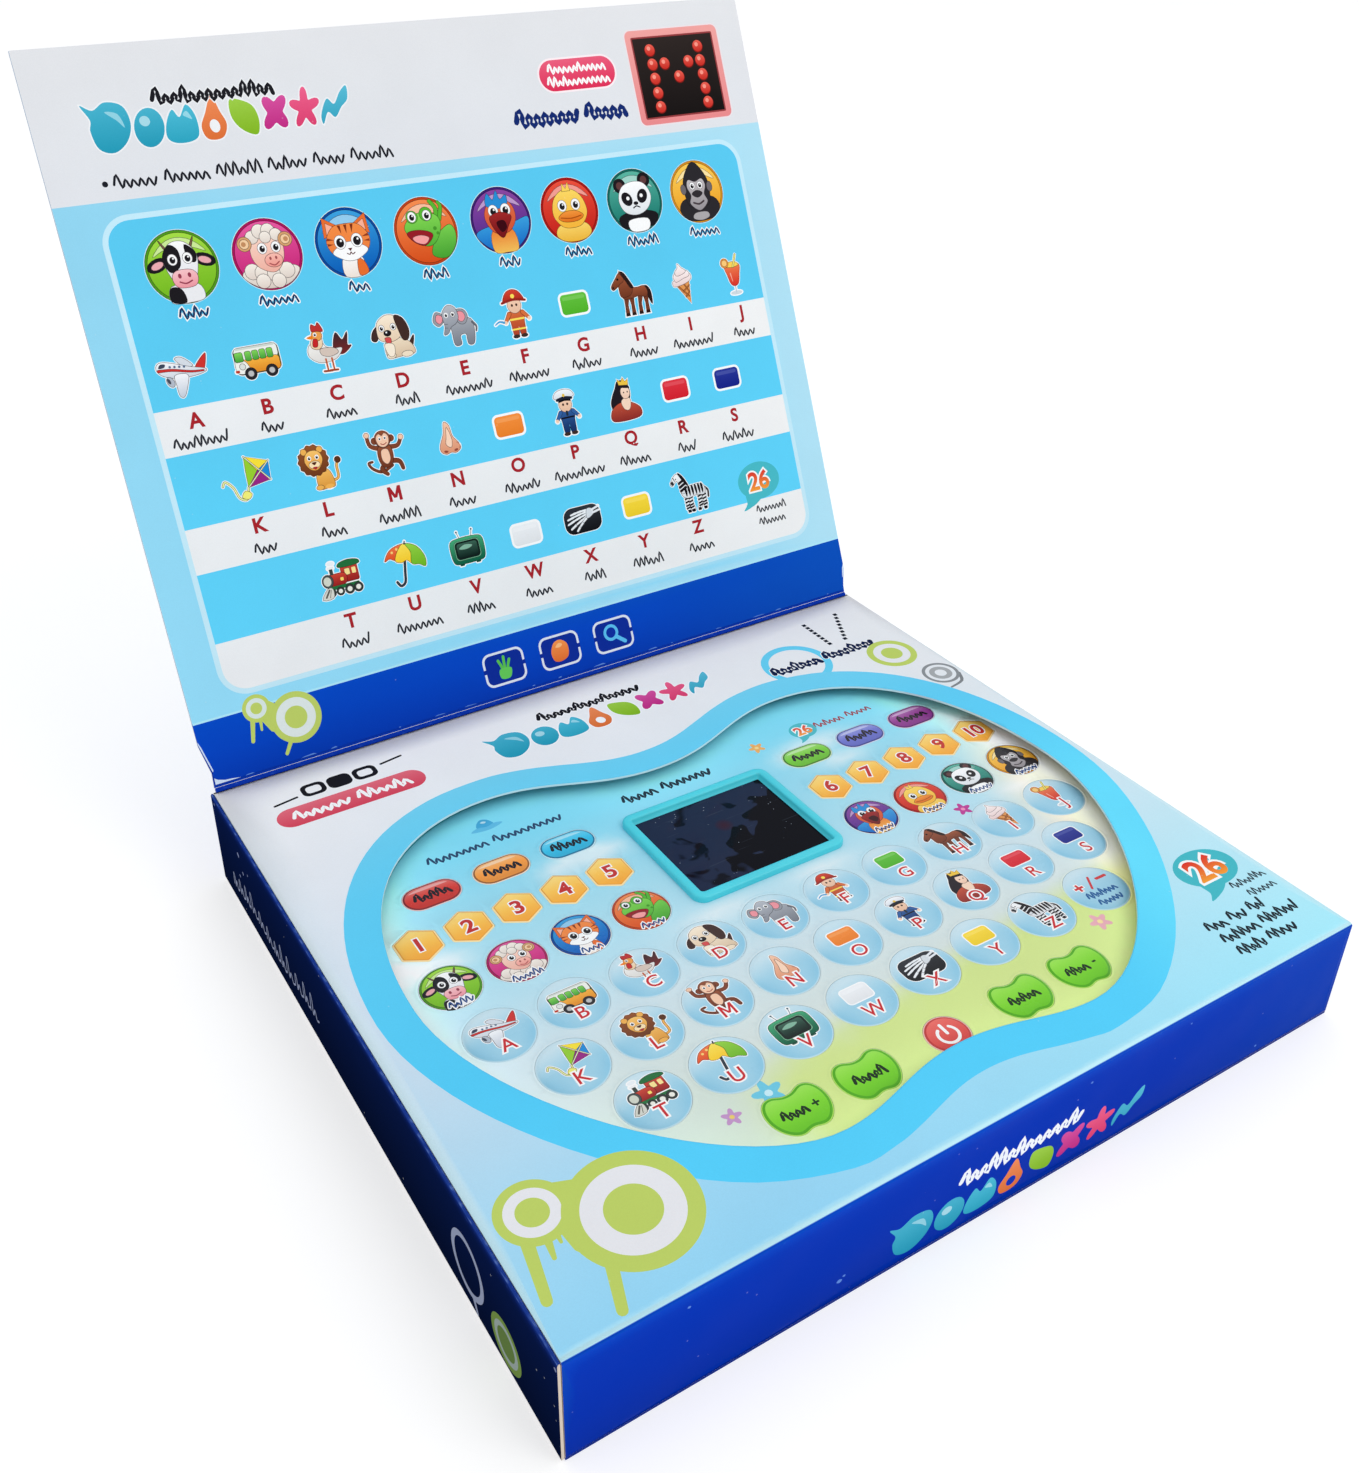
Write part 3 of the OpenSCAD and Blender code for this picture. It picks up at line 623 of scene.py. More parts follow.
def ic_airplane():
    w, red = (246, 247, 250), (206, 52, 48)
    s = [(catmull([(0.5, 0.18), (0.95, 0.62), (0.98, 0.5), (0.84, 0.1), (0.66, -0.02)], 4), red), (catmull([(0.05, 0.3), (-0.2, 0.6), (0.06, 0.62), (0.42, 0.26)], 4), (214, 220, 228))]
    s += [(catmull([(-0.98, 0.3), (-0.86, 0.52), (-0.5, 0.5), (0.3, 0.22), (0.86, 0.06), (0.8, -0.06), (0.3, -0.14), (-0.3, -0.12), (-0.78, 0.04)], 5), ((206, 212, 222), w))]
    s += [(ribbon(catmull([(-0.92, 0.24), (-0.4, 0.2), (0.3, 0.04), (0.78, 0.0)], 4, False), 0.09, 0.04), red)]
    s += [(catmull([(-0.9, 0.34), (-0.8, 0.48), (-0.62, 0.46), (-0.68, 0.34)], 4), (60, 70, 90))]
    for a in (-0.46, -0.28, -0.1, 0.08):
        s += [(ell(a, 0.33 - 0.12 * (a + 0.46), 0.05, n=10), (90, 110, 140))]
    s += [(catmull([(-0.34, -0.02), (0.14, -0.06), (0.02, -0.5), (-0.18, -0.86), (-0.34, -0.8), (-0.36, -0.4)], 4), ((196, 204, 216), w)), (ell(-0.56, -0.24, 0.13, 0.2, 14, rot=20), (180, 188, 200)), (ell(-0.62, -0.2, 0.06, 0.12, 10, rot=20), (70, 76, 90))]
    return s


def ic_bus():
    s = [(rrect(0.06, 0.06, 1.72, 1.0, 0.2), (60, 90, 50)), (rrect(0.06, 0.3, 1.66, 0.52, 0.16), (238, 240, 232)), (rrect(0.06, -0.16, 1.66, 0.5, 0.12), ((226, 140, 40), (246, 178, 66)))]
    s += [(catmull([(-0.76, -0.36), (-0.78, 0.1), (-0.46, 0.06), (-0.3, -0.2), (-0.3, -0.38)], 4), (240, 240, 234))]
    for a in (-0.62, -0.26, 0.02, 0.3, 0.58):
        s += [(rrect(a, 0.22, 0.22 if a > -0.6 else 0.3, 0.34, 0.06), ((70, 160, 60), (130, 210, 90)))]
    s += [(rrect(0.06, 0.52, 1.5, 0.08, 0.03), (206, 214, 206)), (ell(-0.56, -0.14, 0.11, n=12), (220, 224, 220))]
    for a in (-0.3, 0.52):
        s += [(ell(a, -0.44, 0.22, n=18), (40, 40, 44)), (ell(a, -0.44, 0.11, n=12), (190, 190, 190))]
    s += [(rrect(-0.78, -0.3, 0.16, 0.1, 0.04), (190, 60, 40))]
    return s


def ic_cock():
    w = (244, 242, 238)
    s = [(catmull([(0.3, 0.0), (0.5, 0.5), (0.7, 0.2), (0.95, 0.46), (0.86, 0.0), (1.0, -0.06), (0.66, -0.3), (0.4, -0.24)], 4), ((120, 40, 40), (60, 40, 46)))]
    s += [(catmull([(-0.6, 0.2), (-0.7, -0.2), (-0.3, -0.5), (0.3, -0.44), (0.62, -0.1), (0.3, -0.06), (0.0, 0.06), (-0.16, 0.3)], 5), ((222, 218, 214), w)), (catmull([(-0.46, 0.4), (-0.54, 0.12), (-0.3, 0.0), (-0.1, 0.14), (-0.12, 0.44)], 4), ((236, 200, 160), (246, 226, 200)))]
    s += [(ell(-0.24, 0.52, 0.2, 0.2, 16), (236, 160, 80)), (catmull([(-0.4, 0.7), (-0.36, 0.94), (-0.2, 0.86), (-0.1, 0.98), (0.0, 0.8), (0.02, 0.64), (-0.2, 0.68)], 4), (190, 50, 48))]
    s += [(catmull([(-0.42, 0.54), (-0.66, 0.48), (-0.44, 0.4)], 3), (236, 130, 30)), (catmull([(-0.4, 0.38), (-0.46, 0.14), (-0.3, 0.12), (-0.26, 0.36)], 4), (200, 40, 40))] + eyes(-0.3, -0.3, 0.56, 0.07)
    s += [(catmull([(-0.2, 0.0), (0.3, -0.04), (0.44, -0.22), (0.1, -0.32), (-0.2, -0.22)], 4), (214, 196, 184))]
    for a in (-0.1, 0.14):
        s += [(ribbon([(a, -0.4), (a, -0.8)], 0.07), (190, 90, 50)), (ribbon([(a - 0.16, -0.84), (a + 0.14, -0.86)], 0.08), (160, 70, 40))]
    return s


def ic_dog():
    w, br = (240, 222, 196), (66, 44, 40)
    s = [(catmull([(0.7, -0.4), (0.95, -0.1), (0.92, -0.3), (0.8, -0.56)], 4), br), (catmull([(-0.4, -0.86), (-0.36, -0.2), (0.2, -0.1), (0.72, -0.36), (0.86, -0.84), (0.2, -0.9)], 5), ((216, 190, 160), w))]
    s += [(catmull([(-0.6, 0.5), (-0.86, 0.3), (-0.96, -0.02), (-0.76, -0.1), (-0.58, 0.2)], 4), br)]
    s += [(catmull([(-0.66, 0.2), (-0.56, 0.66), (-0.14, 0.92), (0.3, 0.82), (0.5, 0.4), (0.36, -0.04), (-0.1, -0.22), (-0.56, -0.1)], 5), ((232, 206, 176), (250, 234, 212)))]
    s += [(catmull([(0.26, 0.84), (0.62, 0.7), (0.8, 0.2), (0.7, -0.2), (0.46, -0.22), (0.34, 0.2)], 5), br)]
    s += eyes(-0.42, 0.12, 0.4, 0.12) + [(ell(-0.2, 0.16, 0.16, 0.12, 14), BLK), (ell(-0.24, 0.2, 0.04, n=8), WHITE), (catmull([(-0.36, -0.04), (-0.12, -0.06), (-0.14, -0.28), (-0.3, -0.26)], 4), (214, 80, 80))]
    s += [(ell(-0.24, -0.82, 0.2, 0.12, 12), w), (ell(0.5, -0.84, 0.26, 0.12, 12), w), (catmull([(-0.44, -0.3), (-0.34, -0.8), (-0.1, -0.8), (-0.04, -0.36)], 4), (248, 234, 214))]
    return s


def ic_elephant():
    g = ((120, 124, 134), (168, 172, 180))
    s = [(catmull([(-0.2, 0.2), (0.3, 0.3), (0.8, 0.14), (0.86, -0.3), (0.72, -0.9), (0.44, -0.9), (0.42, -0.46), (0.12, -0.5), (0.1, -0.86), (-0.2, -0.86), (-0.22, -0.3)], 4), g)]
    s += [(ribbon(catmull([(0.84, 0.0), (0.98, -0.2), (0.94, -0.4)], 4, False), 0.07, 0.04), (110, 112, 120))]
    s += [(catmull([(-0.5, 0.5), (-0.82, 0.66), (-1.0, 0.3), (-0.8, 0.06), (-0.56, 0.2)], 4), (150, 154, 162)), (catmull([(-0.56, 0.46), (-0.78, 0.54), (-0.86, 0.3), (-0.72, 0.16), (-0.58, 0.26)], 4), (240, 150, 160))]
    s += [(catmull([(0.1, 0.6), (0.5, 0.62), (0.66, 0.3), (0.46, 0.0), (0.16, 0.1)], 4), (150, 154, 162)), (catmull([(0.2, 0.52), (0.44, 0.52), (0.54, 0.3), (0.4, 0.12), (0.22, 0.18)], 4), (240, 150, 160))]
    s += [(catmull([(-0.5, 0.6), (-0.2, 0.88), (0.12, 0.76), (0.22, 0.36), (0.06, 0.08), (-0.22, -0.06), (-0.4, -0.3), (-0.6, -0.34), (-0.5, -0.02), (-0.52, 0.26)], 5), ((136, 140, 150), (184, 188, 196)))]
    s += eyes(-0.34, -0.02, 0.48, 0.1) + [(ribbon(catmull([(-0.5, 0.1), (-0.36, 0.08)], 2, False), 0.03), (100, 104, 112)), (ribbon(catmull([(-0.5, -0.06), (-0.38, -0.08)], 2, False), 0.03), (100, 104, 112))]
    return s


def peg(body0, body1, skin=(246, 206, 178)):
    """A featureless figure."""
    return [(catmull([(-0.26, -0.86), (-0.3, -0.3), (-0.36, 0.1), (0.36, 0.1), (0.3, -0.3), (0.26, -0.86), (0.06, -0.86), (0, -0.5), (-0.06, -0.86)], 3), (body0, body1)),
            (ribbon([(-0.3, 0.04), (-0.5, -0.24)], 0.16, 0.12), body1), (ribbon([(0.3, 0.04), (0.52, -0.2)], 0.16, 0.12), body1),
            (ell(-0.52, -0.28, 0.08, n=10), skin), (ell(0.54, -0.24, 0.08, n=10), skin), (ell(0, 0.36, 0.3, 0.32, 20), (mixc(skin, (200, 150, 120), 0.3), skin)),
            (ell(-0.18, -0.88, 0.16, 0.08, 12), (60, 44, 40)), (ell(0.18, -0.88, 0.16, 0.08, 12), (60, 44, 40))]


def ic_fireman():
    s = peg((170, 60, 40), (216, 110, 60))
    s += [(ribbon([(-0.3, -0.2), (0.3, -0.2)], 0.08), (250, 220, 90)), (ribbon([(-0.28, -0.6), (0.28, -0.6)], 0.07), (250, 220, 90))]
    s += [(catmull([(-0.46, 0.5), (-0.3, 0.86), (0, 0.98), (0.3, 0.86), (0.46, 0.5), (0, 0.58)], 5), ((170, 40, 30), (214, 70, 50))), (ribbon(catmull([(-0.52, 0.5), (0, 0.58), (0.52, 0.5)], 4, False), 0.1), (150, 40, 30)), (ell(0, 0.72, 0.09, n=10), (250, 220, 90))]
    s += eyes(-0.1, 0.1, 0.36, 0.05, white=(90, 60, 50), dark=(60, 40, 36)) + [(ribbon(catmull([(-0.6, -0.26), (-0.8, -0.2), (-1.0, -0.3)], 4, False), 0.1, 0.05), (80, 160, 210))]
    return s


def swatch(c):
    return [(rrect(0, 0, 1.5, 1.0, 0.2, 4), (mixc(c, (0, 0, 0), 0.05), mixc(c, WHITE, 0.1))), (rrect(0, 0.3, 1.26, 0.18, 0.08, 3), mixc(c, WHITE, 0.2))]


def ic_horse():
    br, dk = ((112, 56, 36), (160, 86, 56)), (46, 28, 26)
    s = [(catmull([(0.62, 0.22), (0.84, 0.2), (0.98, -0.1), (0.94, -0.6), (0.8, -0.3), (0.66, 0.0)], 4), dk)]
    for a, b in ((-0.40, -0.44), (-0.18, -0.12), (0.34, 0.26), (0.56, 0.62)):
        s += [([(a - 0.04, 0.0), (b - 0.02, -0.5), (b - 0.05, -0.86), (b + 0.12, -0.86), (b + 0.12, -0.5), (a + 0.24, 0.0)], (116, 60, 40)), ([(b - 0.07, -0.84), (b - 0.09, -0.98), (b + 0.15, -0.98), (b + 0.13, -0.84)], dk)]
    s += [(catmull([(-0.5, 0.2), (-0.2, 0.26), (0.3, 0.22), (0.66, 0.24), (0.8, 0.0), (0.7, -0.24), (0.3, -0.16), (-0.2, -0.24), (-0.5, -0.16)], 5), br)]
    s += [(catmull([(-0.56, -0.1), (-0.62, 0.3), (-0.6, 0.62), (-0.36, 0.86), (-0.14, 0.6), (0.06, 0.24), (-0.1, -0.06)], 4), br)]
    s += [(catmull([(-0.3, 0.9), (-0.5, 0.95), (-0.72, 0.72), (-0.98, 0.42), (-0.92, 0.26), (-0.72, 0.34), (-0.5, 0.5), (-0.32, 0.6)], 4), br)]
    s += [(catmull([(-0.46, 1.02), (-0.24, 0.94), (-0.04, 0.6), (0.12, 0.26), (-0.04, 0.28), (-0.22, 0.62), (-0.36, 0.84)], 4), dk), ([(-0.5, 0.9), (-0.46, 1.06), (-0.36, 0.9)], (112, 56, 36)), (ell(-0.9, 0.36, 0.05, n=10), dk), (ell(-0.6, 0.7, 0.055, n=12), (20, 14, 14))]
    return s


def ic_icecream():
    s = [([(-0.34, -0.02), (0.4, 0.14), (0.3, -0.94)], (226, 150, 84)), (ribbon([(-0.2, -0.12), (0.26, -0.6)], 0.04), (190, 110, 54)), (ribbon([(0.1, -0.02), (0.32, -0.4)], 0.04), (190, 110, 54)), (ribbon([(0.38, -0.1), (-0.02, -0.36)], 0.04), (190, 110, 54)), (ribbon([(0.34, -0.4), (0.08, -0.62)], 0.04), (190, 110, 54))]
    s += [(catmull([(-0.5, 0.16), (-0.46, -0.06), (-0.1, -0.04), (0.3, 0.06), (0.54, 0.22), (0.52, 0.44), (0.3, 0.4), (-0.2, 0.26)], 5), ((234, 206, 204), (250, 236, 234)))]
    s += [(catmull([(-0.42, 0.36), (-0.3, 0.14), (0.1, 0.26), (0.46, 0.36), (0.4, 0.58), (0.0, 0.56), (-0.3, 0.54)], 5), ((238, 214, 212), (252, 240, 238)))]
    s += [(catmull([(-0.28, 0.6), (-0.2, 0.42), (0.2, 0.5), (0.3, 0.62), (0.1, 0.78), (-0.06, 0.96), (-0.1, 0.78)], 5), ((240, 218, 216), (254, 246, 244)))]
    return s


def ic_juice():
    s = [(ell(0, -0.86, 0.34, 0.1, 16), (206, 214, 220)), (ribbon([(0, -0.84), (0, -0.5)], 0.07), (190, 204, 214))]
    s += [(catmull([(-0.4, 0.5), (-0.34, 0.0), (-0.22, -0.4), (0, -0.52), (0.22, -0.4), (0.34, 0.0), (0.4, 0.5)], 4), ((214, 50, 40), (240, 130, 80))), (catmull([(-0.38, 0.46), (-0.2, 0.62), (0.2, 0.62), (0.38, 0.46), (0, 0.38)], 4), (250, 210, 90))]
    s += [(ell(-0.4, 0.62, 0.22, n=16), (240, 150, 60)), (ell(-0.4, 0.62, 0.15, n=14), (250, 200, 120)), (ribbon([(0.06, 0.4), (0.3, 0.96)], 0.07), (240, 230, 120)), (ribbon([(-0.16, 0.1), (-0.1, -0.3)], 0.06, 0.03), (246, 170, 150))]
    return s


def ic_kite():
    a, b, c, d, m = (0.02, 0.92), (0.86, 0.62), (0.8, -0.06), (-0.06, -0.2), (0.4, 0.34)
    s = [([a, m, d, (-0.02, 0.4)], (150, 205, 50)), ([a, b, m], (250, 225, 60)), ([b, c, m], (30, 140, 215)), ([c, d, m], (150, 40, 130))]
    s += [(ribbon([a, c], 0.03), (240, 240, 200)), (ribbon([b, d], 0.03), (240, 240, 200))]
    s += [(ribbon(catmull([(-0.06, -0.2), (-0.2, -0.6), (-0.46, -0.5), (-0.6, -0.1), (-0.84, 0.16), (-0.96, 0.02)], 5, False), 0.05), (236, 240, 160)), (catmull([(-0.2, -0.3), (0.0, -0.44), (-0.14, -0.6), (-0.36, -0.5)], 3), (240, 236, 120))]
    return s


def ic_lion():
    mane, fur = ((110, 58, 30), (150, 84, 44)), (240, 176, 84)
    s = [(ribbon(catmull([(0.4, -0.7), (0.76, -0.6), (0.8, -0.1), (0.92, 0.1)], 5, False), 0.08), fur), (ell(0.9, 0.14, 0.13, n=12), (90, 50, 30)), (catmull([(-0.16, -0.9), (-0.1, -0.2), (0.4, -0.2), (0.56, -0.88), (0.2, -0.96)], 5), ((220, 150, 60), (244, 186, 96)))]
    s += [(star_flower(-0.14, 0.3, 0.68, 14, 0.1, n=56), mane), (ell(-0.48, 0.72, 0.13, n=12), fur), (ell(0.22, 0.72, 0.13, n=12), fur)]
    s += [(catmull([(-0.52, 0.3), (-0.4, 0.62), (-0.12, 0.72), (0.16, 0.62), (0.26, 0.3), (0.08, -0.02), (-0.12, -0.12), (-0.36, -0.02)], 5), ((232, 160, 70), (248, 196, 108)))]
    s += eyes(-0.3, 0.04, 0.42, 0.09) + [(ell(-0.13, 0.12, 0.24, 0.15, 14), (252, 226, 180)), (catmull([(-0.24, 0.22), (-0.02, 0.22), (-0.13, 0.1)], 3), (80, 40, 30)), (catmull([(-0.24, 0.02), (-0.02, 0.02), (-0.12, -0.1)], 3), (170, 50, 50))]
    s += [(ell(-0.12, -0.88, 0.16, 0.1, 12), fur), (ell(0.3, -0.9, 0.2, 0.1, 12), fur)]
    return s


def ic_monkey():
    br, fc = ((110, 54, 34), (150, 82, 54)), (246, 200, 170)
    s = [(ribbon(catmull([(0.2, -0.6), (-0.3, -0.8), (-0.7, -0.6), (-0.84, -0.34), (-0.66, -0.3)], 5, False), 0.11, 0.07), (120, 62, 40))]
    s += [(ribbon(catmull([(-0.2, 0.2), (-0.6, 0.4), (-0.66, 0.86)], 5, False), 0.18, 0.12), (130, 68, 44)), (ribbon(catmull([(0.24, 0.2), (0.64, 0.2), (0.86, 0.5)], 5, False), 0.18, 0.12), (130, 68, 44)), (ell(-0.66, 0.86, 0.11, n=10), fc), (ell(0.86, 0.52, 0.11, n=10), fc)]
    s += [(ribbon(catmull([(-0.1, -0.5), (-0.3, -0.7), (-0.1, -0.94)], 5, False), 0.2, 0.14), (120, 62, 40)), (ribbon(catmull([(0.2, -0.4), (0.56, -0.5), (0.66, -0.82)], 5, False), 0.2, 0.14), (120, 62, 40))]
    s += [(catmull([(-0.24, 0.26), (-0.34, -0.2), (-0.2, -0.6), (0.16, -0.6), (0.34, -0.2), (0.26, 0.26)], 5), br), (catmull([(-0.14, 0.1), (-0.18, -0.3), (0.0, -0.5), (0.18, -0.3), (0.14, 0.1)], 5), fc)]
    s += [(ell(-0.36, 0.56, 0.14, n=12), (130, 68, 44)), (ell(0.4, 0.56, 0.14, n=12), (130, 68, 44)), (ell(0.02, 0.58, 0.36, 0.36, 22), br), (catmull([(-0.26, 0.66), (-0.12, 0.82), (0.02, 0.72), (0.16, 0.82), (0.3, 0.66), (0.24, 0.36), (0.02, 0.24), (-0.2, 0.36)], 5), fc)]
    s += eyes(-0.1, 0.14, 0.62, 0.07) + [(ribbon(catmull([(-0.1, 0.4), (0.02, 0.34), (0.16, 0.4)], 4, False), 0.04), (160, 60, 50))]
    return s


def ic_nose():
    s = [(catmull([(-0.08, 0.92), (-0.24, 0.3), (-0.56, -0.3), (-0.58, -0.66), (-0.3, -0.84), (0.0, -0.78), (0.3, -0.84), (0.6, -0.64), (0.52, -0.3), (0.26, 0.1), (0.18, 0.7)], 5), ((224, 150, 116), (248, 200, 170)))]
    s += [(catmull([(0.0, 0.6), (-0.1, 0.1), (-0.2, -0.3), (0.06, -0.5), (0.18, -0.1), (0.1, 0.4)], 5), (252, 214, 188)), (ell(-0.3, -0.7, 0.13, 0.07, 12, rot=-10), (150, 76, 60)), (ell(0.32, -0.7, 0.13, 0.07, 12, rot=10), (150, 76, 60)), (ribbon(catmull([(0.44, -0.28), (0.6, -0.46), (0.54, -0.66)], 4, False), 0.04), (190, 110, 84))]
    return s


def ic_policeman():
    s = peg((20, 44, 90), (50, 96, 160))
    s += [(ribbon([(-0.28, -0.2), (0.28, -0.2)], 0.07), (20, 20, 30)), (rrect(0, -0.02, 0.1, 0.22, 0.03, 2), (40, 50, 60))]
    s += [(catmull([(-0.46, 0.66), (-0.34, 0.9), (0, 0.98), (0.34, 0.9), (0.46, 0.66), (0, 0.62)], 5), ((220, 224, 232), (248, 250, 252))), (ribbon(catmull([(-0.34, 0.58), (0, 0.64), (0.34, 0.58)], 4, False), 0.12), (30, 34, 50)), (ribbon(catmull([(-0.26, 0.5), (0, 0.54), (0.26, 0.5)], 4, False), 0.08), (16, 18, 26)), (ell(0, 0.74, 0.07, n=10), (230, 190, 80))]
    s += eyes(-0.1, 0.1, 0.36, 0.05, white=(90, 60, 50), dark=(60, 40, 36))
    return s


def ic_queen():
    s = [(catmull([(-0.3, 0.6), (-0.1, 0.92), (0.3, 0.86), (0.44, 0.5), (0.4, 0.1), (0.1, -0.2), (-0.5, -0.5), (-0.66, -0.1), (-0.5, 0.3)], 5), (34, 28, 36))]
    s += [(catmull([(-0.66, -0.9), (-0.7, -0.4), (-0.2, -0.1), (0.4, -0.16), (0.86, -0.5), (0.7, -0.9)], 5), ((140, 44, 40), (196, 84, 60))), (catmull([(-0.1, -0.06), (0.0, -0.4), (0.26, -0.46), (0.4, -0.1), (0.3, 0.1), (0.1, 0.1)], 4), (246, 214, 190))]
    s += [(ell(0.2, 0.36, 0.24, 0.3, 20), ((240, 200, 176), (252, 222, 200))), (catmull([(-0.1, 0.62), (0.2, 0.82), (0.46, 0.56), (0.3, 0.56), (0.1, 0.6)], 4), (34, 28, 36))]
    s += [([(-0.06, 0.74), (-0.1, 1.0), (0.08, 0.86), (0.2, 1.04), (0.3, 0.84), (0.46, 0.94), (0.42, 0.68)], (240, 196, 70))] + eyes(0.12, 0.32, 0.36, 0.035, white=(90, 60, 50), dark=(60, 40, 36))
    return s


def ic_train():
    rd, gr = ((150, 34, 34), (206, 70, 54)), (36, 110, 60)
    s = [(rrect(0.46, 0.28, 0.74, 0.7, 0.08), rd), (catmull([(0.0, 0.62), (0.06, 0.78), (0.46, 0.86), (0.9, 0.78), (0.94, 0.62), (0.46, 0.58)], 4), gr), (rrect(0.36, 0.36, 0.22, 0.26, 0.04), (250, 226, 150)), (rrect(0.66, 0.36, 0.18, 0.26, 0.04), (250, 226, 150))]
    s += [(rrect(-0.16, 0.12, 0.9, 0.5, 0.2), rd), (ell(-0.58, 0.12, 0.24, 0.28, 18), (70, 80, 80)), (ell(-0.6, 0.12, 0.17, 0.2, 16), (210, 214, 200)), (rrect(-0.34, 0.5, 0.16, 0.3, 0.03), (60, 70, 66)), (rrect(-0.34, 0.66, 0.3, 0.1, 0.04), (240, 240, 240)), (ell(-0.3, 0.84, 0.16, 0.09, 12), (236, 240, 244))]
    s += [(rrect(0.1, -0.22, 1.4, 0.16, 0.05), gr)]
    for a, r in ((-0.5, 0.17), (-0.12, 0.17), (0.3, 0.2), (0.7, 0.2)):
        s += [(ell(a, -0.4, r, n=16), (50, 60, 56)), (ell(a, -0.4, r * 0.55, n=12), (236, 236, 226))]
    s += [(catmull([(-0.66, -0.2), (-0.96, -0.6), (-0.5, -0.62), (-0.44, -0.24)], 3), (214, 214, 204)), (ribbon([(-0.8, -0.54), (-0.6, -0.26)], 0.03), (110, 110, 100)), (ribbon([(-0.64, -0.58), (-0.52, -0.26)], 0.03), (110, 110, 100)), (rrect(0.06, 0.1, 0.14, 0.14, 0.03), (250, 220, 110))]
    return s


def ic_umbrella():
    s = [(ribbon(catmull([(0.06, 0.5), (-0.1, -0.3), (-0.2, -0.74), (-0.42, -0.86), (-0.56, -0.66)], 6, False), 0.08), (50, 60, 70))]
    s += [(catmull([(-0.9, 0.36), (-0.6, 0.76), (-0.1, 0.92), (0.3, 0.86), (-0.1, 0.5), (-0.4, 0.3), (-0.66, 0.42)], 5), ((226, 80, 40), (240, 120, 70)))]
    s += [(catmull([(-0.42, 0.28), (-0.2, 0.7), (0.14, 0.92), (0.5, 0.4), (0.34, 0.0), (0.1, 0.2), (-0.16, 0.14)], 5), ((250, 200, 40), (252, 226, 90)))]
    s += [(catmull([(0.3, 0.0), (0.36, 0.5), (0.2, 0.9), (0.66, 0.7), (0.94, 0.2), (0.9, -0.24), (0.62, -0.1)], 5), ((110, 180, 40), (150, 210, 70)))]
    for a, b in ((-0.5, 0.66), (-0.26, 0.76)):
        s += [(ell(a, b, 0.06, n=8), (250, 210, 120))]
    s += [(ribbon([(0.14, 0.9), (0.18, 1.02)], 0.06), (50, 60, 70))]
    return s


def ic_tv():
    s = [(ribbon([(-0.3, 0.5), (-0.42, 0.94)], 0.035), (90, 120, 130)), (ribbon([(0.3, 0.5), (0.42, 0.94)], 0.035), (90, 120, 130)), (ell(-0.42, 0.96, 0.05, n=8), (60, 90, 100)), (ell(0.42, 0.96, 0.05, n=8), (60, 90, 100))]
    s += [(rrect(-0.46, -0.74, 0.26, 0.12, 0.05), (20, 80, 60)), (rrect(0.46, -0.74, 0.26, 0.12, 0.05), (20, 80, 60)), (catmull([(-0.94, 0.0), (-0.86, 0.5), (-0.4, 0.62), (0.4, 0.62), (0.86, 0.5), (0.94, 0.0), (0.84, -0.6), (0.4, -0.7), (-0.4, -0.7), (-0.84, -0.6)], 4), ((16, 92, 66), (70, 170, 120)))]
    s += [(rrect(0, -0.02, 1.4, 0.98, 0.2), (120, 190, 150)), (rrect(0, -0.02, 1.3, 0.88, 0.18), (20, 40, 36)), (rrect(0, -0.02, 1.14, 0.74, 0.14), ((14, 34, 30), (60, 100, 84))), (catmull([(-0.46, 0.1), (-0.1, 0.26), (0.3, 0.16), (0.1, 0.04), (-0.2, 0.02)], 4), (130, 180, 156))]
    return s


def ic_xray():
    s = [(rrect(0, 0, 1.9, 1.2, 0.42, 5), ((20, 22, 26), (48, 52, 60)))]
    for a0, b0, a1, b1 in ((-0.7, -0.36, 0.3, 0.1), (-0.82, -0.12, 0.3, 0.2), (-0.8, 0.1, 0.3, 0.3), (-0.6, 0.3, 0.3, 0.38), (-0.4, -0.5, 0.2, 0.0)):
        pts = [(a0 + (a1 - a0) * t / 3, b0 + (b1 - b0) * t / 3 + 0.03 * math.sin(t)) for t in range(4)]
        for p, q in zip(pts, pts[1:]):
            dx, dy = (q[0] - p[0]) * 0.08, (q[1] - p[1]) * 0.08
            s += [(ribbon([(p[0] + dx, p[1] + dy), (q[0] - dx, q[1] - dy)], 0.08, 0.1), (236, 240, 244))]
    s += [(catmull([(0.24, 0.0), (0.3, 0.42), (0.56, 0.4), (0.6, 0.16)], 4), (214, 220, 226)), (ribbon([(0.56, 0.34), (0.9, 0.44)], 0.1), (230, 234, 240)), (ribbon([(0.58, 0.2), (0.92, 0.26)], 0.1), (230, 234, 240))]
    return s


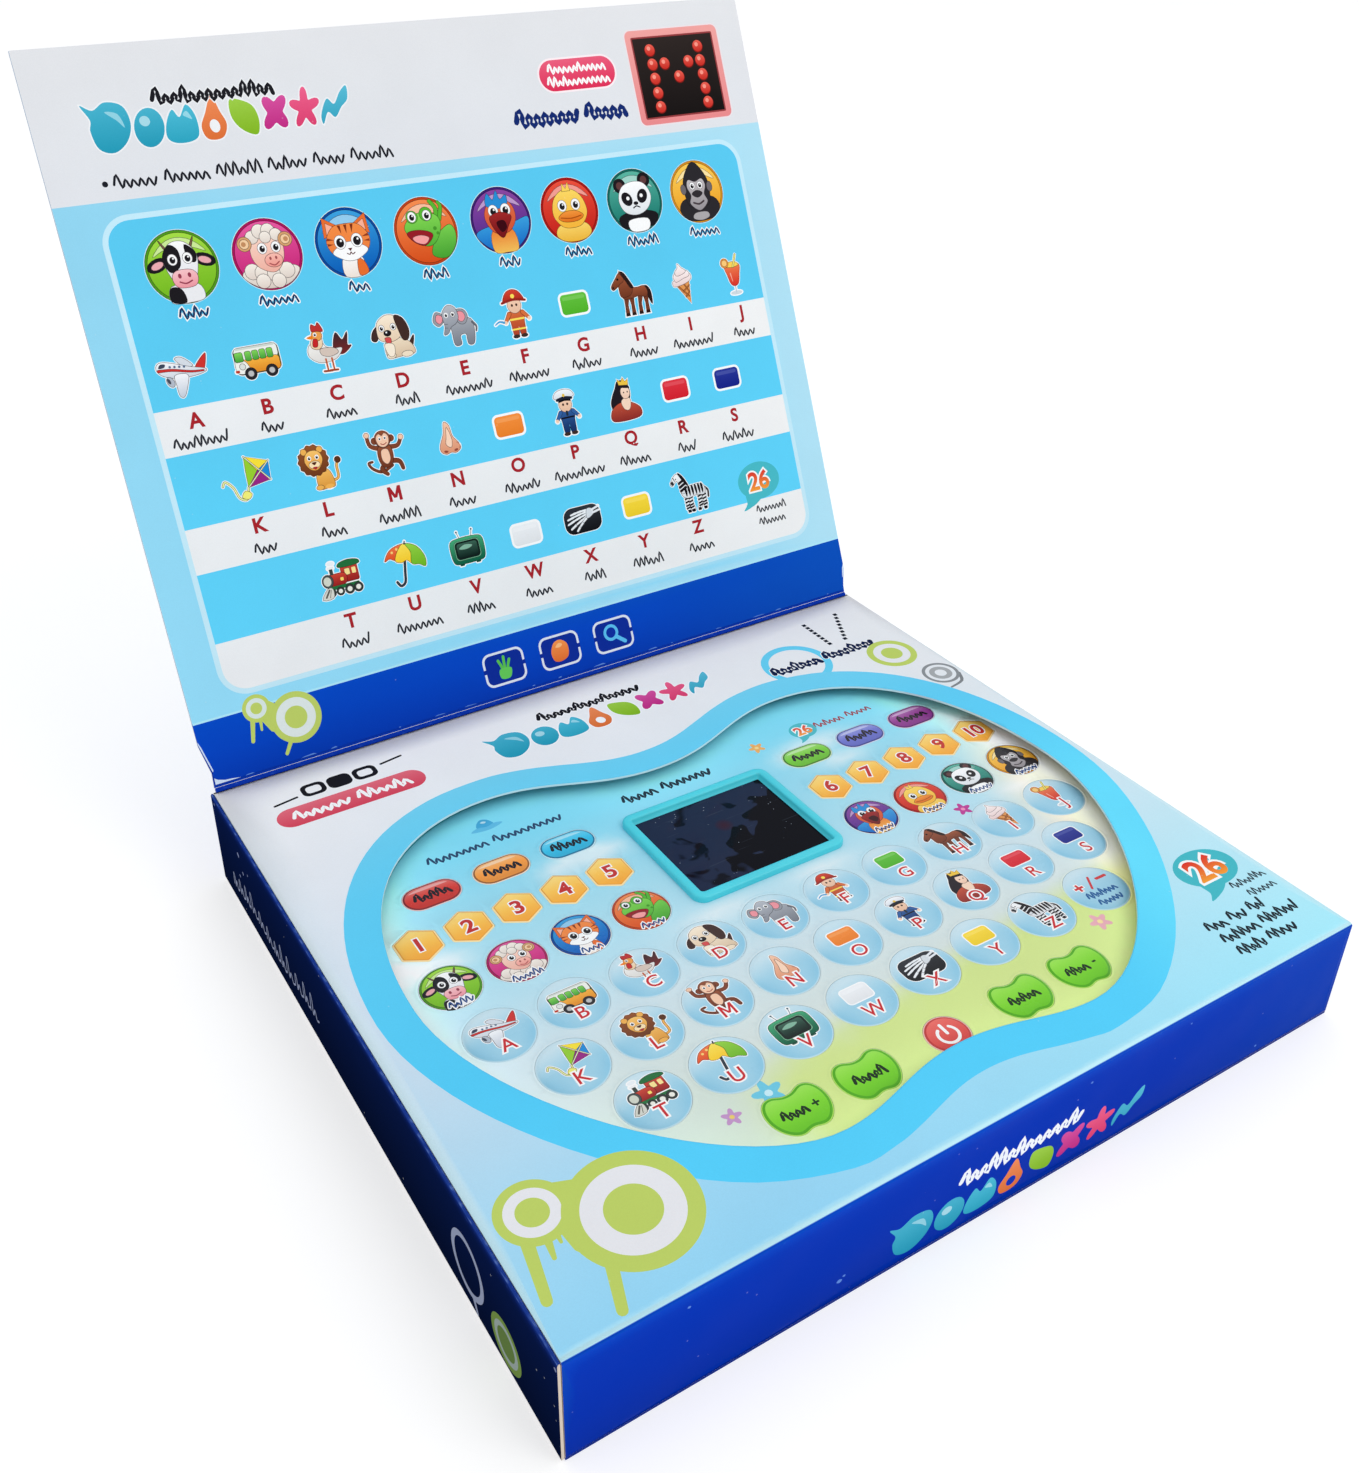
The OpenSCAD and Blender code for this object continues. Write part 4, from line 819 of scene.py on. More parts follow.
def ic_zebra():
    w = ((220, 222, 226), (248, 249, 250))
    s = [(ribbon(catmull([(0.72, 0.1), (0.92, -0.1), (0.9, -0.4)], 4, False), 0.06), (60, 60, 64))]
    for a, b in ((-0.34, -0.26), (-0.14, -0.04), (0.36, 0.3), (0.6, 0.62)):
        s += [(catmull([(a, 0.0), (a - 0.02, -0.5), (b - 0.05, -0.88), (b + 0.13, -0.88), (a + 0.15, -0.45), (a + 0.22, 0.0)], 3), (236, 238, 240)), (rrect(b + 0.02, -0.88, 0.18, 0.14, 0.04, 3), BLK)]
        for t in (-0.3, -0.46, -0.62, -0.74):
            s += [(ribbon([(a - 0.02, t), (a + 0.15, t + 0.04)], 0.085), BLK)]
    s += [(catmull([(-0.5, 0.24), (-0.1, 0.26), (0.5, 0.28), (0.76, 0.1), (0.7, -0.24), (0.3, -0.2), (-0.2, -0.26), (-0.46, -0.1)], 5), w)]
    s += [(catmull([(-0.5, 0.02), (-0.56, 0.5), (-0.66, 0.62), (-0.9, 0.44), (-0.98, 0.56), (-0.76, 0.84), (-0.56, 0.92), (-0.3, 0.66), (-0.1, 0.24), (-0.2, 0.04)], 4), w)]
    s += [(catmull([(-0.98, 0.58), (-0.88, 0.44), (-0.8, 0.52), (-0.86, 0.66)], 3), (50, 50, 54)), (catmull([(-0.5, 0.96), (-0.3, 0.78), (-0.08, 0.34), (-0.2, 0.4), (-0.4, 0.72)], 4), BLK)]
    for a in (-0.3, -0.12, 0.06, 0.24, 0.42, 0.58):
        s += [(catmull([(a - 0.01, 0.27), (a + 0.09, 0.26), (a + 0.12, 0.0), (a + 0.06, -0.2), (a, 0.02)], 3), BLK)]
    for a, b in ((-0.5, 0.12), (-0.52, 0.3), (-0.54, 0.48)):
        s += [(ribbon([(a, b), (a + 0.3, b + 0.13)], 0.085), BLK)]
    s += [(ribbon([(-0.8, 0.8), (-0.74, 0.64)], 0.04), BLK)] + eyes(-0.66, -0.66, 0.72, 0.05)
    return s


ANIMALS = [ic_cow, ic_sheep, ic_cat, ic_frog, ic_bird, ic_duck, ic_panda, ic_gorilla]
GREEN, ORANGE, RED, BLUE, YELLOW = (84, 186, 44), (248, 134, 44), (222, 34, 48), (22, 36, 140), (252, 216, 48)
PICTURES = {
    "A": ic_airplane, "B": ic_bus, "C": ic_cock, "D": ic_dog, "E": ic_elephant, "F": ic_fireman,
    "G": lambda: swatch(GREEN), "H": ic_horse, "I": ic_icecream, "J": ic_juice, "K": ic_kite, "L": ic_lion,
    "M": ic_monkey, "N": ic_nose, "O": lambda: swatch(ORANGE), "P": ic_policeman, "Q": ic_queen,
    "R": lambda: swatch(RED), "S": lambda: swatch(BLUE), "T": ic_train, "U": ic_umbrella, "V": ic_tv,
    "W": lambda: swatch((240, 242, 245)), "X": ic_xray, "Y": lambda: swatch(YELLOW), "Z": ic_zebra,
}
# ------------------------------------------------------------------ materials

class Mat:
    """A node material on a Principled shader. Values that don't vary are set on the shader's own sockets."""

    def __init__(self, name, **values):
        self.m = bpy.data.materials.new(name)
        self.m.use_nodes = True
        self.nt = self.m.node_tree
        self.nt.nodes.clear()
        self.out = self.nt.nodes.new("ShaderNodeOutputMaterial")
        self.b = self.nt.nodes.new("ShaderNodeBsdfPrincipled")
        self.link(self.b.outputs["BSDF"], self.out.inputs["Surface"])
        for k, v in values.items():
            self.b.inputs[k.replace("_", " ")].default_value = v
        self.tc = self.nt.nodes.new("ShaderNodeTexCoord")
        self._n = None

    def link(self, a, b):
        self.nt.links.new(a, b)

    def node(self, kind, **props):
        n = self.nt.nodes.new("ShaderNode" + kind)
        for k, v in props.items():
            setattr(n, k, v)
        return n

    def math(self, op, a, b=0.0, clamp=False):
        n = self.node("Math", operation=op, use_clamp=clamp)
        for i, v in enumerate((a, b)):
            if hasattr(v, "is_linked"):
                self.link(v, n.inputs[i])
            else:
                n.inputs[i].default_value = v
        return n.outputs[0]

    def noise(self, scale, detail=3.0, rough=0.55, stretch=None, distortion=0.0):
        n = self.node("TexNoise")
        n.inputs["Scale"].default_value = scale
        n.inputs["Detail"].default_value = detail
        n.inputs["Roughness"].default_value = rough
        n.inputs["Distortion"].default_value = distortion
        if stretch:
            mp = self.node("Mapping")
            mp.inputs["Scale"].default_value = stretch
            self.link(self.tc.outputs["Object"], mp.inputs["Vector"])
            self.link(mp.outputs[0], n.inputs["Vector"])
        else:
            self.link(self.tc.outputs["Object"], n.inputs["Vector"])
        return n.outputs["Fac"]

    def voronoi(self, scale, feature="F1", rand=1.0):
        n = self.node("TexVoronoi", feature=feature)
        n.inputs["Scale"].default_value = scale
        n.inputs["Randomness"].default_value = rand
        self.link(self.tc.outputs["Object"], n.inputs["Vector"])
        return n.outputs["Distance"]

    def range(self, v, a, b, c, d):
        n = self.node("MapRange")
        self.link(v, n.inputs["Value"])
        for k, x in zip(("From Min", "From Max", "To Min", "To Max"), (a, b, c, d)):
            n.inputs[k].default_value = x
        return n.outputs[0]

    def ramp(self, v, stops):
        n = self.node("ValToRGB")
        e = n.color_ramp.elements
        while len(e) < len(stops):
            e.new(0.5)
        for el, (p, c) in zip(e, stops):
            el.position = p
            el.color = lin3(c) + [1]
        self.link(v, n.inputs[0])
        return n.outputs[0]

    def mix(self, fac, a, b, kind="MIX"):
        n = self.node("Mix", data_type="RGBA", blend_type=kind)
        for i, v in ((0, fac), (6, a), (7, b)):
            if hasattr(v, "is_linked"):
                self.link(v, n.inputs[i])
            elif i == 0:
                n.inputs[0].default_value = v
            else:
                n.inputs[i].default_value = lin3(v) + [1]
        return n.outputs[2]

    def scale_col(self, col, fac):
        """col times a grey that varies a little."""
        n = self.node("VectorMath", operation="SCALE")
        self.link(col, n.inputs[0])
        self.link(fac, n.inputs["Scale"])
        return n.outputs[0]

    def colour(self, v):
        self.link(v, self.b.inputs["Base Color"])

    def rough(self, v):
        self.link(v, self.b.inputs["Roughness"])

    def bump(self, height, strength=0.2, distance=0.0002):
        n = self.node("Bump")
        n.inputs["Strength"].default_value = strength
        n.inputs["Distance"].default_value = distance
        self.link(height, n.inputs["Height"])
        if self._n is not None:
            self.link(self._n, n.inputs["Normal"])
        self._n = n.outputs[0]
        self.link(self._n, self.b.inputs["Normal"])

    def ink(self):
        n = self.node("Attribute", attribute_name="ink")
        return n.outputs["Color"]


def mat_print(name, rough=(0.24, 0.38), coat=0.35, grain=0.02, orange=0.06, dust=0.0, spec=0.5):
    """Ink on board or film: the print's own colour, the mottle of the press, gloss that varies, and fine dust."""
    k = Mat(name, Coat_Weight=coat, Coat_Roughness=0.12, Specular_IOR_Level=spec)
    col = k.ink()
    fine = k.noise(2600.0, 2.0)
    broad = k.noise(38.0, 3.0)
    amount = k.math("ADD", k.range(fine, 0.25, 0.75, 1 - grain, 1 + grain), k.range(broad, 0.3, 0.7, -grain * 0.8, grain * 0.8))
    col = k.scale_col(col, amount)
    if dust:
        specks = k.math("LESS_THAN", k.voronoi(260.0), 0.07)
        rare = k.math("GREATER_THAN", k.noise(70.0, 2.0), 0.6)
        col = k.mix(k.math("MULTIPLY", k.math("MULTIPLY", specks, rare), dust), col, (238, 240, 242))
    k.colour(col)
    k.rough(k.range(k.noise(120.0, 4.0), 0.3, 0.7, *rough))
    k.bump(k.noise(420.0, 3.0), orange, 0.0002)
    k.bump(k.noise(36.0, 2.0), orange * 1.3, 0.0012)
    return k.m


def mat_plastic(name, col, rough=0.3, coat=0.25, texture=0.05, scale=1500.0, var=0.03):
    k = Mat(name, Coat_Weight=coat, Coat_Roughness=0.15)
    c = k.mix(k.range(k.noise(24.0, 3.0), 0.3, 0.7, 0.0, 1.0), tuple(x * (1 - var) for x in col), tuple(min(255, x * (1 + var)) for x in col))
    k.colour(c)
    k.rough(k.range(k.noise(90.0, 3.0), 0.3, 0.7, rough * 0.85, rough * 1.2))
    k.bump(k.noise(scale, 2.0), texture, 0.0001)
    k.bump(k.noise(60.0, 2.0), texture, 0.0006)
    return k.m


def mat_board(name, col, dark, fibre=0.35):
    """Bare coated or grey board: short fibres and specks."""
    k = Mat(name, Specular_IOR_Level=0.25)
    f1 = k.noise(900.0, 4.0, 0.7, stretch=(1.0, 0.25, 1.0))
    f2 = k.noise(160.0, 4.0, 0.6)
    c = k.mix(k.range(f1, 0.35, 0.65, 0.0, 1.0), dark, col)
    c = k.mix(k.range(f2, 0.3, 0.7, 0.0, 0.3), c, tuple(x * 0.93 for x in col))
    specks = k.math("MULTIPLY", k.math("LESS_THAN", k.voronoi(700.0), 0.16), k.range(k.noise(220.0, 2.0), 0.5, 0.62, 0.0, 0.7))
    c = k.mix(specks, c, tuple(x * 0.72 for x in col))
    k.colour(c)
    k.rough(k.range(f2, 0.3, 0.7, 0.75, 0.92))
    k.bump(f1, fibre, 0.0001)
    return k.m


def mat_metal(name, col, rough=0.3, brushed=True):
    k = Mat(name, Metallic=1.0)
    n1 = k.noise(700.0, 3.0, 0.6, stretch=(1.0, 0.08, 1.0) if brushed else None)
    k.colour(k.mix(k.range(n1, 0.3, 0.7, 0.0, 1.0), tuple(x * 0.82 for x in col), col))
    k.rough(k.range(n1, 0.3, 0.7, rough * 0.7, rough * 1.3))
    k.bump(n1, 0.08, 0.00005)
    return k.m


def mat_circuit(name):
    k = Mat(name, Coat_Weight=0.4, Coat_Roughness=0.2)
    n = k.node("TexBrick")
    n.inputs["Scale"].default_value = 160.0
    n.inputs["Mortar Size"].default_value = 0.04
    n.inputs["Color1"].default_value = lin3((20, 92, 52)) + [1]
    n.inputs["Color2"].default_value = lin3((26, 104, 60)) + [1]
    n.inputs["Mortar"].default_value = lin3((70, 140, 84)) + [1]
    k.link(k.tc.outputs["Object"], n.inputs["Vector"])
    pads = k.math("LESS_THAN", k.voronoi(300.0, rand=0.6), 0.22)
    k.colour(k.mix(pads, n.outputs["Color"], (196, 190, 160)))
    k.rough(k.range(k.noise(200.0), 0.3, 0.7, 0.3, 0.45))
    k.bump(n.outputs["Fac"], 0.2, 0.0001)
    return k.m


M_PRINT = mat_print("laminated_print", rough=(0.3, 0.42), coat=0.0, orange=0.05, dust=0.14, spec=0.006)
M_FLAP = mat_print("laminated_print_worn", rough=(0.3, 0.48), coat=0.0, orange=0.09, dust=0.3, spec=0.0)
M_FACE = mat_print("pad_face_print", rough=(0.3, 0.42), coat=0.05, spec=0.2, grain=0.015, orange=0.04, dust=0.15)
M_KEY = mat_print("key_bubble_print", rough=(0.2, 0.3), coat=0.16, spec=0.16, grain=0.012, orange=0.03)
M_CASE = mat_plastic("case_turquoise", (66, 210, 226), rough=0.35, coat=0.08)
M_UNDER = mat_plastic("case_underside", (64, 188, 206), rough=0.45, coat=0.1, texture=0.2, scale=2400.0)
M_BOARD = mat_board("raw_board", (222, 208, 190), (196, 178, 156))
M_STEEL = mat_metal("screw_steel", (200, 202, 206), 0.28)
M_CONTACT = mat_metal("contact_metal", (214, 206, 184), 0.22)
M_SPEAKER = mat_metal("speaker_steel", (110, 112, 118), 0.4, brushed=False)
M_PCB = mat_circuit("circuit_board")
M_LED = mat_plastic("led_red", (150, 24, 26), rough=0.15, coat=0.6)
M_FILM = mat_plastic("switch_film", (206, 212, 216), rough=0.25, coat=0.5)
M_GREY = mat_plastic("backing_grey", (118, 122, 126), rough=0.6, coat=0.0, texture=0.3)
M_WIRE = mat_plastic("wire_red", (190, 36, 34), rough=0.4, coat=0.2)


def mat_battery():
    k = Mat("battery_jacket", Coat_Weight=0.5, Coat_Roughness=0.15)
    s = k.node("SeparateXYZ")
    k.link(k.tc.outputs["Object"], s.inputs[0])
    band = k.math("GREATER_THAN", k.math("PINGPONG", k.math("ADD", s.outputs[0], 0.02), 0.03), 0.022)
    k.colour(k.mix(band, (36, 60, 66), (196, 160, 60)))
    k.rough(k.range(k.noise(200.0), 0.3, 0.7, 0.25, 0.4))
    k.bump(k.noise(60.0), 0.05, 0.0004)
    return k.m


def mat_smoke():
    """Smoked acrylic in its dust film: nearly black, with haze, fine dust and hair scratches."""
    k = Mat("display_smoke", Coat_Weight=0.06, Coat_Roughness=0.03, Specular_IOR_Level=0.04)
    at = k.node("SeparateXYZ")
    k.link(k.tc.outputs["Object"], at.inputs[0])
    x, y = at.outputs[0], at.outputs[1]
    # the dust film covers the back left of the pane, up to a wavy wiped line from corner to front edge
    side = k.math("ADD", k.math("MULTIPLY", x, -24.66), k.math("MULTIPLY", y, 24.39))
    side = k.math("ADD", side, k.range(k.noise(75.0, 2.0, 0.5, distortion=0.4), 0.3, 0.7, -0.42, 0.28))
    bare = k.range(k.noise(62.0, 3.0, 0.5, distortion=0.6), 0.57, 0.6, 1.0, 0.12)
    haze = k.math("MULTIPLY", k.range(side, 0.0, 0.03, 0.0, 1.0), bare)
    c = k.mix(haze, (6, 8, 18), (34, 43, 68))
    dx, dy = k.math("SUBTRACT", x, 0.0057), k.math("SUBTRACT", y, 0.0221)
    d2 = k.math("ADD", k.math("MULTIPLY", dx, dx), k.math("MULTIPLY", dy, dy))
    c = k.mix(k.range(d2, 0.0, 1.1e-5, 0.6, 0.0), c, (66, 22, 30))
    dust = k.math("MULTIPLY", k.math("LESS_THAN", k.voronoi(620.0), 0.1), k.math("GREATER_THAN", k.noise(240.0, 1.0), 0.57))
    c = k.mix(dust, c, (150, 158, 170))
    scr = k.noise(60.0, 2.0, 0.5, stretch=(1.0, 18.0, 1.0))
    line = k.math("MULTIPLY", k.math("GREATER_THAN", scr, 0.7), 0.14)
    c = k.mix(line, c, (90, 100, 116))
    k.colour(c)
    k.rough(k.range(haze, 0.0, 1.0, 0.06, 0.24))
    k.bump(k.noise(46.0, 3.0, 0.6, distortion=0.8), 0.12, 0.0006)
    return k.m


M_SMOKE = mat_smoke()
M_BATT = mat_battery()

CAD_MATERIALS = {
    "dust_flaps": M_BOARD, "support_insert": M_BOARD, "bottom_case": M_UNDER, "top_case": M_CASE,
    "display_window": M_SMOKE, "led_board": M_PCB, "led_dots": M_LED, "switch_sheet": M_FILM,
    "switch_backing": M_GREY, "main_board": M_PCB, "speaker": M_SPEAKER, "wiring": M_WIRE, "batteries": M_BATT,
    "battery_contacts": M_CONTACT, "battery_door": M_UNDER, "door_screw": M_STEEL, "case_screws": M_STEEL,
}
for node_name, material in CAD_MATERIALS.items():
    ob = NODES[node_name]
    ob.data.materials.clear()
    ob.data.materials.append(material)
# ------------------------------------------------------------------ shared outlines, as in the part's source

APPLE_HALF = [
    [(0, 56), (25, 56), (36, 70.5), (60, 70.5)],
    [(60, 70.5), (96, 70.5), (120, 40), (120, -8)],
    [(120, -8), (120, -48), (76, -103), (44, -103)],
    [(44, -103), (28, -103), (18, -95.5), (0, -95.5)],
]
FRUIT_HALF = [
    [(0, 6), (2.5, 6), (3, 7.4), (5.2, 7.4)],
    [(5.2, 7.4), (8, 7.4), (9.6, 4.4), (9.6, 1)],
    [(9.6, 1), (9.6, -3.4), (6.4, -7.2), (3.6, -7.2)],
    [(3.6, -7.2), (2, -7.2), (1.4, -6.6), (0, -6.6)],
]


def bez(p, t):
    return tuple((1 - t) ** 3 * p[0][a] + 3 * t * (1 - t) ** 2 * p[1][a] + 3 * t * t * (1 - t) * p[2][a] + t ** 3 * p[3][a] for a in (0, 1))


def mirrored(half, segs):
    right = [bez(s, i / segs) for s in half for i in range(segs)] + [half[-1][3]]
    return right + [(-x, y) for x, y in reversed(right[1:-1])]


APPLE = mirrored(APPLE_HALF, 22)
FRUIT = mirrored(FRUIT_HALF, 9)
WINDOW_X, PAD_X, PAD_Y, FACE_Z = 2.0, 5.3, 1.5, 31.0


def moved(p, dx, dy):
    return [(x + dx, y + dy) for x, y in p]


def window_line(g=0.0):
    return moved(grow(APPLE, g) if g else ccw(APPLE), WINDOW_X, 0)


def pad_line(g=0.0):
    return moved(grow(APPLE, g) if g else ccw(APPLE), PAD_X, PAD_Y)


# ------------------------------------------------------------------ motifs that the carton repeats

WORD_COLOURS = [(40, 165, 196), (40, 165, 196), (48, 176, 206), (238, 120, 60), (140, 196, 40), (206, 50, 140), (236, 70, 120), (60, 176, 206)]


def play_row(sheet, x0, x1, y0, y1, lift=0.0, halo=0.0, halo_col=WHITE, cols=WORD_COLOURS):
    """A row of eight bright play shapes where the carton has its title: a shell, a ball, a cloud, a drop, a leaf, a cross-flower, a star and a wave."""
    n = len(cols)
    w = (x1 - x0) / (n + 0.35)
    r = w * 0.47
    yb = lambda x: y0 + lift * ((x - x0) / (x1 - x0)) ** 2
    for i, col in enumerate(cols):
        big = 1.36 if i == 0 else 1.0
        cx = x0 + w * (i + (0.68 if i == 0 else 0.85))
        h = (y1 - y0) / 2
        cy = yb(cx) + h * (1.0 if i == 0 else 0.84)
        q = h * (1.0 if i == 0 else 0.8)
        if i == 0:
            p = catmull([(-1.25, 0.95), (-0.7, 0.72), (-0.1, 1.0), (0.7, 0.8), (1.0, 0.1), (0.75, -0.6), (0.1, -1.0), (-0.6, -0.8), (-0.9, -0.1), (-0.85, 0.35)], 5)
        elif i == 1:
            p = ell(0, 0, 0.98, n=30)
        elif i == 2:
            p = catmull([(-1.05, -0.6), (-1.0, 0.1), (-0.55, 0.75), (-0.1, 0.35), (0.4, 0.95), (0.95, 0.35), (1.05, -0.6), (0.5, -0.92), (-0.5, -0.92)], 5)
        elif i == 3:
            p = catmull([(0, 1.25), (0.5, 0.4), (0.85, -0.25), (0.6, -0.85), (0, -1.0), (-0.6, -0.85), (-0.85, -0.25), (-0.5, 0.4)], 5)
        elif i == 4:
            p = catmull([(-0.9, 0.9), (-0.2, 0.85), (0.6, 0.5), (0.95, -0.2), (0.8, -0.95), (0.1, -0.85), (-0.6, -0.4), (-0.95, 0.2)], 5)
        elif i == 5:
            p = star_flower(0, 0, 1.1, 4, 0.5, 45, 40)
        elif i == 6:
            p = star_flower(0, 0, 1.12, 5, 0.55, 90, 50)
        else:
            p = catmull([(-1, -0.5), (-0.5, 0.3), (0, 0.0), (0.5, 0.6), (1, 0.9), (1, 0.2), (0.5, -0.2), (0, -0.7), (-0.5, -0.4), (-0.9, -1)], 5)
        pts = [(cx + a * r * big + 0.12 * b * q, cy + b * q) for a, b in p]
        if halo:
            sheet.add(grow(pts, halo), halo_col)
        lo, hi = min(b for a, b in pts), max(b for a, b in pts)
        sheet.add(pts, (lambda lo, hi, c: lambda u, v: mixc(mixc(c, (0, 0, 0), 0.08), mixc(c, WHITE, 0.16), (v - lo) / (hi - lo)))(lo, hi, col))
        if i == 1:
            sheet.add([(cx - r * 0.2 + a * r * 0.34, cy + q * 0.34 + b * q * 0.26) for a, b in ell(0, 0, 1, n=18)], mixc(col, WHITE, 0.6))
        if i == 0:
            sheet.add(catmull([(cx - 0.1 * r, cy + 0.62 * q), (cx + 0.7 * r, cy + 0.5 * q), (cx + 0.95 * r, cy - 0.05 * q), (cx + 0.55 * r, cy + 0.25 * q)], 4), mixc(col, WHITE, 0.5))
        if i == 2:
            sheet.add(catmull([(cx + 0.2 * r, cy + 0.45 * q), (cx + 0.5 * r, cy + 0.62 * q), (cx + 0.75 * r, cy + 0.2 * q), (cx + 0.45 * r, cy + 0.3 * q)], 4), mixc(col, WHITE, 0.5))
        if i == 3:
            sheet.add([(cx + a * r * 0.34, cy - 0.3 * q + b * q * 0.34) for a, b in ell(0, 0, 1, n=18)], halo_col)


def rings(sheet, cx, cy, r, lime=LIME, inner=PAPER, mid=0.745, core=0.42, drips=()):
    for x0, y0, x1, y1, w in drips:
        sheet.add(ribbon([(x0, y0), ((x0 + x1) / 2, (y0 + y1) / 2), (x1, y1)], w * 1.1, w), lime)
    sheet.add(ell(cx, cy, r, n=64), lime)
    sheet.add(ell(cx, cy, r * mid, n=56), inner)
    sheet.add(ell(cx, cy, r * core, n=44), lime)


def bubble26(sheet, cx, cy, rx, ry, h, tail=-1):
    """A speech bubble with the number 26."""
    sheet.add(catmull([(cx - rx * 0.7, cy - ry * 0.5), (cx - rx * 0.75, cy - ry * 1.1), (cx - rx * 0.95, cy - ry * 1.45), (cx - rx * 0.3, cy - ry * 1.2), (cx, cy - ry * 0.8)], 4), (74, 186, 198))
    sheet.add(ell(cx, cy, rx, ry, 44), (74, 186, 198))
    for ch, dx in (("2", -0.33), ("6", 0.33)):
        y0, y1 = cy - h / 2, cy + h / 2
        letter(sheet, ch, cx + dx * h, cy, h, (lambda y0, y1: lambda u, v: mixc((246, 160, 60), (222, 60, 50), (v - y0) / (y1 - y0)))(y0, y1), halo=h * 0.09, bold=0.03)


def dots(sheet, p, q, n, d, col):
    for i in range(n):
        t = (i + 0.5) / n
        x, y = p[0] + (q[0] - p[0]) * t, p[1] + (q[1] - p[1]) * t
        sheet.add(rect(x - d / 2, y - d / 2, x + d / 2, y + d / 2), col)


# ------------------------------------------------------------------ carton top and front, one folded board

FOLD = 1.0
Y_FOLD = -(121 - FOLD)
ARC = FOLD * math.pi / 2
FRONT_END = Y_FOLD - ARC - (36 - FOLD - 1.0)


def front_bow(x, d):
    """The front wall gives inwards a little between its corners."""
    e = min(1.0, max(0.0, d / 6.0))
    return min(0.0, -0.45 * e * (0.5 + 0.5 * math.cos(math.pi * x / 135)) - 0.12 * e * math.sin(x * 0.11 + d * 0.2))


def place_top(x, s, h):
    if s >= Y_FOLD:
        sag = 0.0
        return (x, s, 36 + h - sag)
    a = (Y_FOLD - s) / FOLD
    if a <= math.pi / 2:
        return (x, Y_FOLD - (FOLD + h) * math.sin(a), 36 - FOLD + (FOLD + h) * math.cos(a))
    d = (a - math.pi / 2) * FOLD
    h2 = h + front_bow(x, d)
    return (x, -121 - h2, 36 - FOLD - d)


def n2(x, y):
    """A cheap smooth noise from sines, the same each run."""
    return (math.sin(x * 1.31 + y * 0.73 + 1.1) + math.sin(x * 0.37 - y * 1.91 + 2.3) + math.sin(x * 2.9 + y * 0.31) * 0.6 + math.sin(x * 5.3 - y * 2.7 + 0.4) * 0.4) / 3.0


PANEL_L = [(-121, (150, 213, 243)), (-100, (158, 215, 243)), (-70, (178, 219, 241)), (-30, (200, 222, 238)), (10, (214, 227, 239)), (50, (229, 233, 240)), (90, (239, 239, 242)), (121, (250, 249, 248))]
PANEL_R = [(-121, (168, 235, 250)), (-90, (182, 233, 247)), (-30, (206, 230, 241)), (20, (222, 232, 238)), (60, (230, 232, 236)), (121, (236, 236, 236))]


def panel_ink_and_painted_sheen(x, s):
    if s >= Y_FOLD - ARC * 0.45:
        c = mixc(ramp(PANEL_L, s), ramp(PANEL_R, s), (x + 60) / 190)
        # The pale line along the fold is partly a painted highlight (its steady part) and partly wear (its noisy part).
        edge = smooth(Y_FOLD + 1.6, Y_FOLD - 0.3, s)
        worn = smooth(-0.4, 0.7, n2(x * 0.5, s * 2.0) + 0.25)
        return mixc(c, (198, 240, 250), edge * (0.35 + 0.6 * worn))
    d = Y_FOLD - ARC - s
    c = ramp([(-1, (8, 74, 200)), (4, ROYAL_FRONT), (22, (0, 48, 172)), (36, (0, 44, 158))], d)
    # Painted sheen: the front wall's blue is lightened towards its right end.
    c = mixc(c, (4, 70, 178), 0.45 * smooth(40, 130, x))
    worn = smooth(0.35, 1.1, n2(x * 0.8 + 4, s * 3.0)) * smooth(1.2, -0.8, d)
    low = smooth(0.3, 1.0, n2(x * 1.4 - 3, s * 2.0)) * smooth(31.5, 34.2, d)
    return mixc(mixc(c, (110, 170, 236), worn * 0.6), (40, 70, 150), low * 0.5)


top = Sheet()
for lo, hi in [(Y_FOLD, 121)] + [(Y_FOLD - ARC * (i + 1) / 5, Y_FOLD - ARC * i / 5) for i in range(5)] + [(FRONT_END, Y_FOLD - ARC)]:
    top.add(rect(-133.95, lo, 134.9, hi), panel_ink_and_painted_sheen)
top.grid(-133.95, -119, 134.9, 121, 13)
top.grid(-133.95, FRONT_END, 134.9, Y_FOLD - ARC, 3.4)
for i in range(400):
    x = -133.6 + i * 0.67
    top.seed([(x, Y_FOLD + 1.6), (x + 0.3, Y_FOLD + 0.7), (x, Y_FOLD - ARC - 0.35), (x + 0.3, Y_FOLD - ARC - 1.1), (x, Y_FOLD - ARC * 0.44), (x + 0.2, FRONT_END + 0.7), (x, FRONT_END + 2.0)])

# title, mark and pill at the back
play_row(top, -43.4, 48.8, 87.0, 102.0, lift=2.2, halo=0.5, halo_col=(246, 246, 248))
greeked(top, 1.0, 104.4, 42, 6.2, (30, 30, 36), seed=5, lean=0.12, words=1, halo=0.35, pen=0.24)
for k, x in enumerate((-104.6, -95.4, -86.2)):
    top.add(rrect(x, 105.8, 8.4, 7.0, 2.4), (30, 30, 36))
    if k != 1:
        top.add(rrect(x, 105.8, 5.2, 3.8, 1.3), ramp(PANEL_L, 105))
top.add(ribbon([(-119.0, 102.9), (-111.0, 104.1)], 1.0), (34, 34, 40))
top.add(ribbon([(-79.6, 107.6), (-71.8, 108.8)], 1.0), (34, 34, 40))
top.add(rrect(-95.2, 94.1, 52, 10.5, 5.2, 8), lambda u, v: mixc((214, 70, 92), (230, 110, 126), (v - 88.8) / 10.5))
greeked(top, -95.2, 94.1, 41, 6.4, WHITE, seed=9, words=2, pen=0.2)

